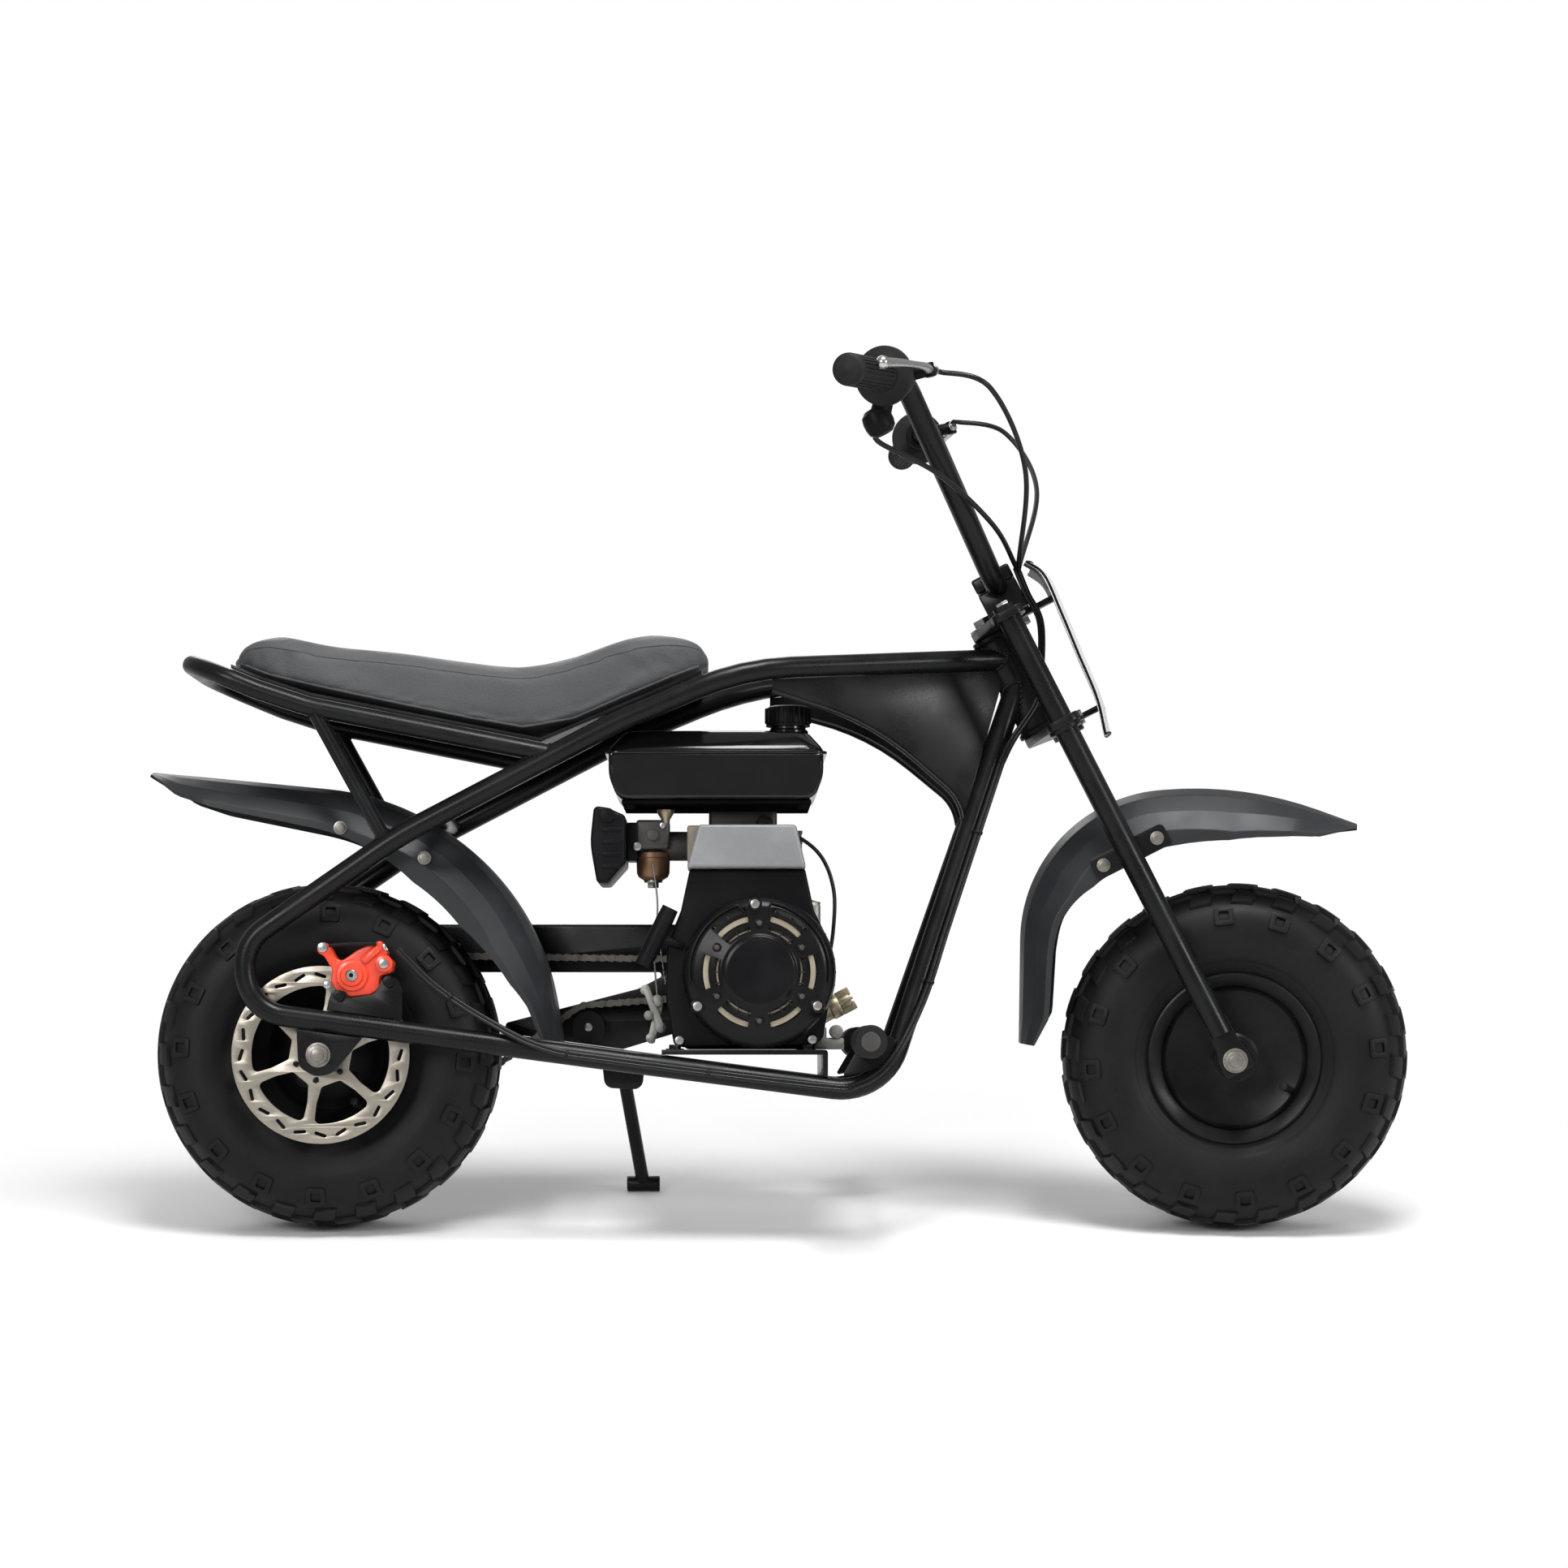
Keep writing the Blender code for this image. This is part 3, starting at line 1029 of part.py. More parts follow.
def recoil_cover(material):
    """The domed starter cover with six sectors of curved slots, on the fan housing."""
    back = -0.096 - GAP
    face = back - 0.034
    outer = 0.0775
    wall = 0.004
    profile = [(0.0, face), (0.036, face), (0.038, face + 0.003), (0.064, face + 0.007), (outer - 0.004, face + 0.014), (outer, back),
               (outer - wall, back), (outer - 0.004 - wall, face + 0.016 + wall), (0.062, face + 0.007 + wall), (0.036, face + 0.003 + wall),
               (0.0, face + 0.003 + wall)]
    cover = turned("recoil_cover", profile, "Y", (CRANK_X, 0, CRANK_Z), 36, material)
    # Rings of slots: inner radius, outer radius
    for low, high in ((0.0425, 0.0505), (0.0545, 0.0625)):
        for k in range(6):
            middle = math.radians(60 * k)
            half = math.radians(19)
            steps = 3
            arc = [(low, middle - half + 2 * half * i / steps) for i in range(steps + 1)]
            arc += [(high, middle + half - 2 * half * i / steps) for i in range(steps + 1)]
            outline = [(CRANK_X + r * math.cos(a), CRANK_Z + r * math.sin(a)) for r, a in arc]
            cover = cut(cover, prism("slot", [outline], face - 0.005, face + 0.022, guide=True))
    return cover


def build_intake(bike):
    """The carburettor behind the cylinder, its float bowl and the air filter box."""
    cast, dark, bronze = finish(*CAST), finish(*DARK), finish(*BRONZE)
    middle = -0.030
    body = rod("carburettor", (0.3085, middle, 0.392), (0.3875, middle, 0.392), 0.017, 16, cast)
    block = box("block", (0.318, middle - 0.024, 0.3875), (0.352, middle + 0.018, 0.418), cast, 0.003)
    carry(bike, join(body, block))
    bowl = turned("float_bowl", [(0.0, 0.3872), (0.017, 0.3872), (0.0185, 0.384), (0.0165, 0.362), (0.008, 0.354), (0.008, 0.349), (0.0, 0.349)],
                  "Z", (0.335, middle - 0.004, 0), 20, bronze)
    tunnel = rod("tunnel", (0.300, middle, 0.392), (0.400, middle, 0.392), 0.017 + GAP, 16, guide=True)
    carry(bike, cut(bowl, tunnel))
    loop = [(0.276, 0.430, 0.004), (0.290, 0.428, 0.004), (0.308, 0.420, 0.004), (0.308, 0.372, 0.006), (0.290, 0.352, 0.004), (0.279, 0.352, 0.004),
            (0.272, 0.392, 0.08)]
    carry(bike, plate("air_filter", loop, -0.088, 0.030, dark))


def build_muffler(bike):
    """The boxed muffler on the cylinder's left side, with its exhaust pipe."""
    steel, black = finish(*STEEL), finish(*BLACK)
    box_low, box_high = (0.395, 0.064, 0.318), (0.490, 0.124, 0.412)
    body = box("muffler", box_low, box_high, black, 0.012)
    pipe = rod("pipe", (0.438, 0.0483, 0.368), (0.438, 0.070, 0.368), 0.011, 12)
    tail = rod("tail", (0.487, 0.096, 0.338), (0.508, 0.096, 0.332), 0.008, 12)
    carry(bike, join(body, pipe, tail))


def build_clutch(bike):
    """The crankshaft's end with the clutch drum and its small sprocket."""
    steel = finish(*STEEL)
    pitch_radius = CHAIN_PITCH / 2 / math.sin(math.pi / FRONT_TEETH)
    root = pitch_radius - CHAIN_HALF_HEIGHT - 0.0008
    low, high = 0.060 + GAP, 0.118
    profile = [(0.0, low), (0.010, low), (0.010, 0.076), (root, 0.080), (root, 0.091), (0.038, 0.0925), (0.038, 0.112), (0.034, 0.114),
               (0.012, 0.114), (0.010, high), (0.0, high)]
    carry(bike, turned("clutch", profile, "Y", (CRANK_X, 0, CRANK_Z), 28, steel))


# The chain's wheels: x, z, radius of its middle line, turning sense
def chain_wheels():
    """The wheels that the chain runs round, with the tensioner pushing its lower run up."""
    rear = CHAIN_PITCH / 2 / math.sin(math.pi / REAR_TEETH)
    front = CHAIN_PITCH / 2 / math.sin(math.pi / FRONT_TEETH)
    return [(0.0, AXLE_Z, rear), (IDLER_X, IDLER_Z, -(IDLER_RADIUS + CHAIN_HALF_HEIGHT + 0.0012)), (CRANK_X, CRANK_Z, front)]


IDLER_X, IDLER_Z, IDLER_RADIUS = 0.264, 0.207, 0.018


def belt(wheels, count):
    """A closed run round wheels of x, z and signed radius, as evenly spaced points."""
    touches = []
    for (ax, az, ar), (bx, bz, br) in zip(wheels, wheels[1:] + wheels[:1]):
        gap = Vector((bx - ax, bz - az))
        along = gap.normalized()
        lean = (ar - br) / gap.length
        side = Vector((along.y, -along.x))
        normal = along * lean + side * math.sqrt(1 - lean * lean)
        touches.append((Vector((ax, az)) + normal * ar, Vector((bx, bz)) + normal * br))
    path = []
    for i, (x, z, radius) in enumerate(wheels):
        arrive, leave = touches[i - 1][1], touches[i][0]
        centre = Vector((x, z))
        first = math.atan2(arrive.y - z, arrive.x - x)
        last = math.atan2(leave.y - z, leave.x - x)
        sweep = (last - first) % math.tau if radius > 0 else -((first - last) % math.tau)
        steps = max(3, round(abs(sweep) / math.radians(6)))
        for k in range(steps + 1):
            a = first + sweep * k / steps
            path.append(Vector((x + abs(radius) * math.cos(a), 0, z + abs(radius) * math.sin(a))))
    path.append(path[0])
    return spaced(path, count + 1)[:-1]


def build_drive(bike):
    """The roller chain, its tensioner wheel and its guard."""
    steel, black, rubber = finish(*STEEL), finish(*BLACK), finish(*RUBBER)
    wheels = chain_wheels()
    rough = belt(wheels, 400)
    length = sum((b - a).length for a, b in zip(rough, rough[1:] + rough[:1]))
    links = 2 * round(length / CHAIN_PITCH / 2)
    path = belt(wheels, links)
    sections = []
    for i, p in enumerate(path):
        along = (path[(i + 1) % len(path)] - path[i - 1]).normalized()
        out = Vector((along.z, 0, -along.x))
        high, half = CHAIN_HALF_HEIGHT, CHAIN_WIDTH / 2
        sections.append([p + out * h + Vector((0, CHAIN_Y + y, 0)) for h, y in ((-high, -half), (high, -half), (high, half), (-high, half))])
    carry(bike, loft("chain", sections, steel, closed=True))
    y = CHAIN_Y
    idler = turned("chain_tensioner", [(0.0, y - 0.006), (IDLER_RADIUS, y - 0.006), (IDLER_RADIUS, y + 0.0055), (0.008, y + 0.0055),
                                       (0.008, W - 0.0035 - GAP), (0.0, W - 0.0035 - GAP)], "Y", (IDLER_X, 0, IDLER_Z), 24, rubber)
    carry(bike, idler)
    slope, lift = above(RAIL[5], RAIL[6], RAIL_RADIUS + GAP)
    upper = [(0.085, 0.3165, 0.004), (0.395, 0.3165, 0.02), (0.520, 0.312, 0.05), (0.520, 0.215, 0.05), (0.400, 0.214, 0.02),
             (0.3000, slope * 0.300 + lift, 0), (0.172, slope * 0.172 + lift, 0), (0.176, 0.212, 0.004), (0.316, 0.248, 0.02), (0.350, 0.2655, 0.003),
             (0.085, 0.2655, 0.004)]
    y0 = W - 0.0035
    guard = plate("chain_guard", upper, y0, y0 + 0.003, black, [circle(CRANK_X, CRANK_Z, 0.0425, 24)])
    carry(bike, guard)


def build_pegs(bike):
    """The foot peg bar across the front of the frame, its gussets and both ribbed rubber pegs."""
    black, rubber = finish(*BLACK), finish(*RUBBER)
    x, z, radius = FOOT_BEND_X - 0.016, 0.191, 0.0085
    bar = rod("peg_bar", (x, -0.215, z), (x, 0.215, z), radius, 14, black)
    for sign, run in ((-1, mirrored(RAIL)), (1, RAIL)):
        corners = [(x - 0.030, 0.146, 0), (x + 0.022, 0.165, 0), (x + 0.032, 0.195, 0), (x + 0.006, 0.199, 0), (x - 0.006, 0.188, 0)]
        gusset = plate("gusset", corners, sign * (W - 0.003), sign * (W + 0.003))
        gusset = cut(gusset, tube("cope", rounded(run), (RAIL_RADIUS + GAP) / math.cos(math.pi / 16), guide=True, sides=16))
        bar = join(bar, gusset)
    carry(bike, bar)
    for side, sign in (("left", 1), ("right", -1)):
        start, end = 0.122, 0.221
        inner = radius + GAP
        profile = [(inner, start), (0.0165, start), (0.0165, start + 0.006)]
        ribs = 5
        step = (end - start - 0.012) / ribs
        for k in range(ribs):
            y = start + 0.006 + step * k
            profile += [(0.0150, y + step * 0.4), (0.0165, y + step)]
        profile += [(0.0165, end - 0.002), (0.0, end), (0.0, 0.215 + GAP), (inner, 0.215 + GAP)]
        peg = turned(f"{side}_foot_peg", [(r, sign * h) for r, h in profile][::sign], "Y", (x, 0, z), 14, rubber)
        carry(bike, peg)


# Cable routes in the upright frame, the upper ones with the fork straight ahead
THROTTLE_CABLE = [(HEAD.x + x, y, z) for x, y, z in
                  ((-0.1083, -0.214, 0.790), (-0.0693, -0.170, 0.760), (-0.0193, -0.100, 0.716), (0.0029, -0.037, 0.676))]
RIGHT_BRAKE_CABLE = [(HEAD.x + x, y, z) for x, y, z in
                     ((-0.0693, -0.224, 0.866), (-0.0193, -0.190, 0.842), (0.0127, -0.110, 0.770), (0.0031, -0.037, 0.6755))]
LEFT_BRAKE_CABLE = [(HEAD.x + x, y, z) for x, y, z in
                    ((-0.0633, 0.236, 0.868), (-0.0193, 0.190, 0.842), (0.0187, 0.080, 0.770), (0.0031, -0.0345, 0.6755))]
# From ahead of the upper clamp, past the head tube, to behind the lower clamp, in the steering axis's frame
UPPER_BUNDLE = [(0.0545, -0.036, 0.104), (0.0520, -0.037, 0.075), (0.0510, -0.038, 0.0425), (0.0300, -0.040, 0.0), (0.0120, -0.041, -0.028)]
# Down the right down tube, along the lower rail and up to the caliper
LOWER_CABLES = [(HEAD.x - 0.0187, -0.0396, 0.476), (HEAD.x - 0.0476, -0.0590, 0.3916), (HEAD.x - 0.0764, -0.0784, 0.307),
                (HEAD.x - 0.1024, -0.0959, 0.231), (HEAD.x - 0.1349, -0.1165, 0.172), (HEAD.x - 0.1694, -0.1203, 0.148),
                (HEAD.x - 0.2094, -0.1203, 0.147), (0.300, -0.1203, 0.172), (0.230, -0.1203, 0.184),
                (0.176, -0.1130, 0.209), (0.120, -0.1080, 0.245), (0.080, -0.1042, 0.284)]


def settle(bike, contacts):
    """Leans the bike until the lowest points of its three contacts lie on the floor."""
    up = Vector((0, 0, 1))
    for _ in range(12):
        bpy.context.view_layer.update()
        low = [min((c.matrix_world @ v.co for v in c.data.vertices), key=lambda p: p.z) for c in contacts]
        normal = (low[1] - low[0]).cross(low[2] - low[0]).normalized()
        turn = normal.rotation_difference(up).to_matrix().to_4x4()
        bike.matrix_world = Matrix.Translation((0, 0, -(turn @ low[0]).z)) @ turn @ bike.matrix_world


def centre(bike):
    """Moves the bike so that the middle of its box's floor is the origin."""
    bpy.context.view_layer.update()
    corners = [piece.matrix_world @ v.co for piece in parts.objects for v in piece.data.vertices]
    for axis in (0, 1):
        low, high = min(p[axis] for p in corners), max(p[axis] for p in corners)
        bike.location[axis] -= (low + high) / 2
    bike.location.z -= min(p.z for p in corners)
    bpy.context.view_layer.update()


def main():
    """Builds the bike and stands it on its side stand."""
    clear()
    bike = empty("bike", turn=(FIRST_LEAN, 0, 0))
    rake = empty("steering_rake", bike, HEAD, (0, -RAKE, 0))
    steering = empty("steering_axis", rake, turn=(0, 0, STEER_AT_REST))
    build_frame(bike)
    carry(bike, fender("rear_fender", REAR_FENDER, REAR_SKIRT, False, finish(*DARK)))
    build_seat(bike)
    build_engine(bike)
    build_drive(bike)
    build_brake(bike)
    build_pegs(bike)
    build_wheels(bike, steering)
    build_steering(steering)
    build_cables(bike)
    build_stand(bike)
    objects = parts.objects
    settle(bike, [objects["rear_tyre"], objects["front_tyre"], objects["side_stand"]])
    centre(bike)


main()
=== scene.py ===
"""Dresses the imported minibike: smooth tubes, tread, chain, engine detail, controls, seat and finishes."""
from __future__ import annotations

import json
import logging
import math
import random
import sys
from collections.abc import Callable, Iterable, Sequence
from dataclasses import dataclass
from enum import Enum

import bmesh
import bpy
from mathutils import Matrix, Vector
from mathutils.bvhtree import BVHTree

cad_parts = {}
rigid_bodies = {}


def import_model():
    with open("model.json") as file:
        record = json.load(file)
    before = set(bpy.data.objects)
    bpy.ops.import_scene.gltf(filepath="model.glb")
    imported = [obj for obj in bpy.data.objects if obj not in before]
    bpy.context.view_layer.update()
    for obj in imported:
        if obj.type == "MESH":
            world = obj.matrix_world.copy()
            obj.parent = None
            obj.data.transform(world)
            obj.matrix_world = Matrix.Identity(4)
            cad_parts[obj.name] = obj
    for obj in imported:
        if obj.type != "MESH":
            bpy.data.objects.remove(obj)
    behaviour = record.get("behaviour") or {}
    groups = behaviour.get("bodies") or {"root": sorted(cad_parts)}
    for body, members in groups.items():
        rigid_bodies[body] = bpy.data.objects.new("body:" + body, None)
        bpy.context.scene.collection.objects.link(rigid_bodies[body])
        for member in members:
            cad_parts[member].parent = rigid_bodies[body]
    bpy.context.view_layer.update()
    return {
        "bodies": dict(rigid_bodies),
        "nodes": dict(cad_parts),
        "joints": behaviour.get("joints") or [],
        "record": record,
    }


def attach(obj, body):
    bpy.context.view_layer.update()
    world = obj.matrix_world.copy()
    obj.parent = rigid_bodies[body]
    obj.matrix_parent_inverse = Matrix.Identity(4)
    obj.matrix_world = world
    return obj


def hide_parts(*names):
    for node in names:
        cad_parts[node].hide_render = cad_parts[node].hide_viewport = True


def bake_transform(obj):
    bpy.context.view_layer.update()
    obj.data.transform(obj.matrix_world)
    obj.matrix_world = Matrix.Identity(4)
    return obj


log = logging.getLogger("minibike")

Number = float | int
Point = Sequence[float]
Outline = list[tuple[float, float]]

RIGHT, LEFT = -1, 1
SIDES = ((LEFT, "left"), (RIGHT, "right"))
CREASE = math.radians(32)
FINE_TURN = math.radians(7)
ALONG_Y = Matrix.Rotation(math.radians(-90), 4, "X")
UPRIGHT = Matrix.Rotation(math.radians(90), 4, "X")


# Shader maths


class Term:
    """A socket of a material's graph that Python's operators work on."""

    def __init__(self, graph: Graph, socket: bpy.types.NodeSocket) -> None:
        """Wraps a socket of a graph."""
        self.graph = graph
        self.socket = socket

    def _math(self, operation: str, *values: Term | Number) -> Term:
        """Adds one Math node.

        Args:
            operation: the node's operation.
            values: its inputs in order.

        Returns:
            The node's output.
        """
        return self.graph.node("ShaderNodeMath", {"operation": operation}, dict(enumerate(values)))

    def __add__(self, other: Term | Number) -> Term:
        """This plus another."""
        return self._math("ADD", self, other)

    __radd__ = __add__

    def __sub__(self, other: Term | Number) -> Term:
        """This less another."""
        return self._math("SUBTRACT", self, other)

    def __rsub__(self, other: Term | Number) -> Term:
        """Another less this."""
        return self._math("SUBTRACT", other, self)

    def __mul__(self, other: Term | Number) -> Term:
        """This times another."""
        return self._math("MULTIPLY", self, other)

    __rmul__ = __mul__

    def smooth(self, low: float, high: float) -> Term:
        """A soft step from 0 at low to 1 at high."""
        return self.graph.node("ShaderNodeMapRange", {"interpolation_type": "SMOOTHSTEP"},
                               {"Value": self, "From Min": low, "From Max": high})


class Graph:
    """One material and the nodes that feed its Principled shader."""

    def __init__(self, name: str) -> None:
        """Starts a material.

        Args:
            name: the material's name.
        """
        self.material = bpy.data.materials.new(name)
        self.material.use_nodes = True
        self.tree = self.material.node_tree
        self.shader = self.tree.nodes["Principled BSDF"]
        self.place = self.node("ShaderNodeTexCoord", output="Object")

    def node(self, kind: str, settings: dict | None = None, sockets: dict | None = None, output: int | str = 0) -> Term:
        """Adds one node.

        Args:
            kind: the node's type.
            settings: properties set first.
            sockets: values or links of its inputs, by name or number.
            output: the output that is wanted.

        Returns:
            That output.
        """
        made = self.tree.nodes.new(kind)
        for key, value in (settings or {}).items():
            setattr(made, key, value)
        for key, value in (sockets or {}).items():
            self.feed(made.inputs[key], value)
        return Term(self, made.outputs[output])

    def feed(self, socket: bpy.types.NodeSocket, value: Term | Number | Sequence[float]) -> None:
        """Links a term to a socket, or sets the socket's own value."""
        if isinstance(value, Term):
            self.tree.links.new(value.socket, socket)
        else:
            socket.default_value = value

    def noise(self, scale: float, detail: float = 3.0, stretch: Point = (1, 1, 1)) -> Term:
        """Noise on Object coordinates.

        Args:
            scale: lumps per metre.
            detail: octaves.
            stretch: scale along each axis.

        Returns:
            Its value, about 0.5 on average.
        """
        place = self.node("ShaderNodeMapping", {}, {"Vector": self.place, "Scale": stretch})
        return self.node("ShaderNodeTexNoise", {}, {"Vector": place, "Scale": scale, "Detail": detail})

    def cells(self, scale: float) -> Term:
        """The distance to the nearest of scattered points on Object coordinates."""
        return self.node("ShaderNodeTexVoronoi", {}, {"Vector": self.place, "Scale": scale})

    def blend(self, factor: Term, first: Point, second: Point) -> Term:
        """A mix of two colours."""
        mix = self.tree.nodes.new("ShaderNodeMix")
        mix.data_type = "RGBA"
        self.feed(mix.inputs[0], factor)
        mix.inputs[6].default_value = (*first, 1)
        mix.inputs[7].default_value = (*second, 1)
        return Term(self, mix.outputs[2])

    def bump(self, height: Term, depth: float, strength: float = 1.0) -> None:
        """Feeds the shader's normal from a height, in metres of depth."""
        self.feed(self.shader.inputs["Normal"], self.node(
            "ShaderNodeBump", {}, {"Height": height, "Distance": depth, "Strength": strength}))

    def set(self, **values: Term | Number | Sequence[float]) -> None:
        """Feeds the shader's sockets, named with underscores for spaces."""
        for key, value in values.items():
            self.feed(self.shader.inputs[key.replace("_", " ")], value)


class Grain(Enum):
    """How a finish's surface is broken up."""

    SPECKLE = "speckle"
    PEBBLE = "pebble"
    BRUSHED = "brushed"
    CAST = "cast"


@dataclass(frozen=True)
class Finish:
    """One finish: its slot in the record, colours, gloss and surface grain."""

    name: str
    slot: str
    colour: tuple[float, float, float]
    worn: tuple[float, float, float]
    roughness: float
    drift: float = 0.12
    metallic: float = 0.0
    grain: Grain = Grain.SPECKLE
    scale: float = 1100.0
    depth: float = 0.00006
    patches: float = 26.0
    coat: float = 0.0
    sheen: float = 0.0
    shine: float = 0.5

    def material(self) -> bpy.types.Material:
        """The finish's material, made once."""
        return bpy.data.materials.get(self.name) or self._build()

    def _build(self) -> bpy.types.Material:
        """Builds the finish's nodes."""
        graph = Graph(self.name)
        patches = graph.noise(self.patches, 4.0).smooth(0.35, 0.75)
        height = self._height(graph)
        fine = height.smooth(0.30, 0.70)
        graph.set(
            Base_Color=graph.blend(patches * 0.7 + fine * 0.3, self.colour, self.worn),
            Roughness=patches * self.drift + fine * (self.drift * 0.4) + (self.roughness - self.drift * 0.7),
            Metallic=self.metallic,
            Coat_Weight=self.coat,
            Sheen_Weight=self.sheen,
            Specular_IOR_Level=self.shine,
        )
        graph.bump(height, self.depth)
        return graph.material

    def _height(self, graph: Graph) -> Term:
        """The surface's height pattern."""
        if self.grain is Grain.PEBBLE:
            return graph.cells(self.scale).smooth(0.05, 0.75) + graph.noise(self.scale * 0.4) * 0.5
        if self.grain is Grain.BRUSHED:
            return graph.noise(self.scale, 2.0, (0.06, 1.0, 1.0))
        if self.grain is Grain.CAST:
            return graph.noise(self.scale, 5.0) + graph.noise(self.scale * 0.12, 2.0) * 0.6
        return graph.noise(self.scale, 2.0)


POWDER = Finish("Satin black powder coat", "frame_black", (0.0034, 0.0035, 0.0040), (0.0060, 0.0061, 0.0067), 0.33,
                depth=0.00005, scale=850, shine=0.18)
BLACK_STEEL = Finish("Black rim paint", "frame_black", (0.0030, 0.0030, 0.0034), (0.0070, 0.0070, 0.0075), 0.36,
                     scale=700, shine=0.16)
FENDER = Finish("Moulded dark plastic", "dark_plastic", (0.0120, 0.0130, 0.0152), (0.0170, 0.0182, 0.0208), 0.46,
                drift=0.08, scale=1500, depth=0.00004, shine=0.30)
BLACK_PLASTIC = Finish("Black engine plastic", "dark_plastic", (0.0036, 0.0036, 0.0042), (0.0070, 0.0070, 0.0078),
                       0.46, scale=1400, shine=0.08)
VINYL = Finish("Seat vinyl", "seat_vinyl", (0.0540, 0.0550, 0.0590), (0.0680, 0.0690, 0.0730), 0.56,
               grain=Grain.PEBBLE, scale=620, depth=0.00016, sheen=0.08, patches=12, shine=0.20)
TREAD = Finish("Tyre rubber", "tyre", (0.0040, 0.0040, 0.0045), (0.0080, 0.0080, 0.0084), 0.52, drift=0.14, scale=900,
               depth=0.00010, patches=18, shine=0.16)
SOFT_RUBBER = Finish("Soft grip rubber", "grip_rubber", (0.0058, 0.0058, 0.0064), (0.0105, 0.0105, 0.0110), 0.58,
                     scale=1000, shine=0.18)
CABLE = Finish("Cable sheath", "grip_rubber", (0.0055, 0.0055, 0.0060), (0.0095, 0.0095, 0.0100), 0.34, scale=900,
               shine=0.24)
ZINC = Finish("Zinc plated steel", "zinc_steel", (0.400, 0.392, 0.372), (0.290, 0.280, 0.258), 0.34, metallic=1.0,
              grain=Grain.BRUSHED, scale=900, depth=0.00003, patches=60)
DULL_STEEL = Finish("Dull dark steel", "zinc_steel", (0.230, 0.218, 0.196), (0.140, 0.131, 0.118), 0.42, metallic=0.9,
                    scale=700, patches=90)
CHAIN_STEEL = Finish("Oiled chain steel", "zinc_steel", (0.175, 0.163, 0.145), (0.085, 0.079, 0.070), 0.36,
                     metallic=0.95, scale=700, patches=90)
CHAMPAGNE = Finish("Ground rotor steel", "rotor_steel", (0.350, 0.318, 0.270), (0.250, 0.226, 0.192), 0.38,
                   metallic=0.95, grain=Grain.BRUSHED, scale=1300, depth=0.00004, patches=40)
CALIPER = Finish("Orange-red paint", "caliper_red", (0.740, 0.055, 0.018), (0.600, 0.038, 0.014), 0.34, scale=600,
                 coat=0.25)
SHROUD = Finish("Mid grey paint", "shroud_grey", (0.160, 0.162, 0.165), (0.210, 0.212, 0.215), 0.42, scale=900)
CAST = Finish("Cast aluminium", "cast_aluminium", (0.330, 0.320, 0.300), (0.230, 0.222, 0.205), 0.50, metallic=0.85,
              grain=Grain.CAST, scale=520, depth=0.00022, patches=50)
DARK_CAST = Finish("Dark cast metal", "cast_aluminium", (0.052, 0.050, 0.047), (0.085, 0.082, 0.077), 0.52,
                   metallic=0.75, grain=Grain.CAST, scale=520, depth=0.00020, patches=50)
CREAM = Finish("Cream insulator", "cast_aluminium", (0.290, 0.250, 0.185), (0.220, 0.188, 0.135), 0.55, scale=500)
MATT = Finish("Matt black sheet", "frame_black", (0.0040, 0.0040, 0.0044), (0.0065, 0.0065, 0.0070), 0.85, scale=600,
              shine=0.0)
TANK = Finish("Gloss black tank paint", "gloss_black", (0.0035, 0.0035, 0.0040), (0.0055, 0.0055, 0.0060), 0.14,
              drift=0.05, scale=300, depth=0.00002, shine=0.34)
STARTER = Finish("Gloss black cover", "recoil_black", (0.0042, 0.0042, 0.0048), (0.0070, 0.0070, 0.0075), 0.25,
                 drift=0.06, scale=500, depth=0.00002, shine=0.13)
BRONZE = Finish("Bronze float bowl", "bowl_bronze", (0.225, 0.130, 0.075), (0.150, 0.088, 0.055), 0.40, metallic=0.8,
                grain=Grain.CAST, scale=600, depth=0.00010, patches=70)
BRASS = Finish("Yellow zinc", "bowl_bronze", (0.360, 0.310, 0.215), (0.270, 0.225, 0.150), 0.42, metallic=0.85,
               scale=700)
WHITE = Finish("White plate plastic", "plate_white", (0.700, 0.700, 0.700), (0.640, 0.640, 0.638), 0.34, scale=500,
               depth=0.00002)
ALLOY = Finish("Polished lever alloy", "zinc_steel", (0.470, 0.470, 0.465), (0.380, 0.380, 0.370), 0.28, metallic=1.0,
               grain=Grain.BRUSHED, scale=1100, depth=0.00002, patches=60)


# Shapes


def rounded(corners: Sequence[Point], step: float = FINE_TURN) -> list[Vector]:
    """Points along straight runs joined by arcs.

    Args:
        corners: x, y, z and bend radius of each corner.
        step: turn of one arc piece.

    Returns:
        The points in order.
    """
    points = [Vector(corners[0][:3])]
    for before, corner, after in zip(corners, corners[1:], corners[2:]):
        at = Vector(corner[:3])
        into = (at - Vector(before[:3])).normalized()
        out = (Vector(after[:3]) - at).normalized()
        turn = into.angle(out)
        if corner[3] == 0 or turn < 1e-4:
            points.append(at)
            continue
        centre = at + (out - into).normalized() * corner[3] / math.cos(turn / 2)
        start = at - into * corner[3] * math.tan(turn / 2) - centre
        axis = into.cross(out).normalized()
        count = max(3, round(turn / step))
        points += [centre + Matrix.Rotation(turn * i / count, 3, axis) @ start for i in range(count + 1)]
    points.append(Vector(corners[-1][:3]))
    return points


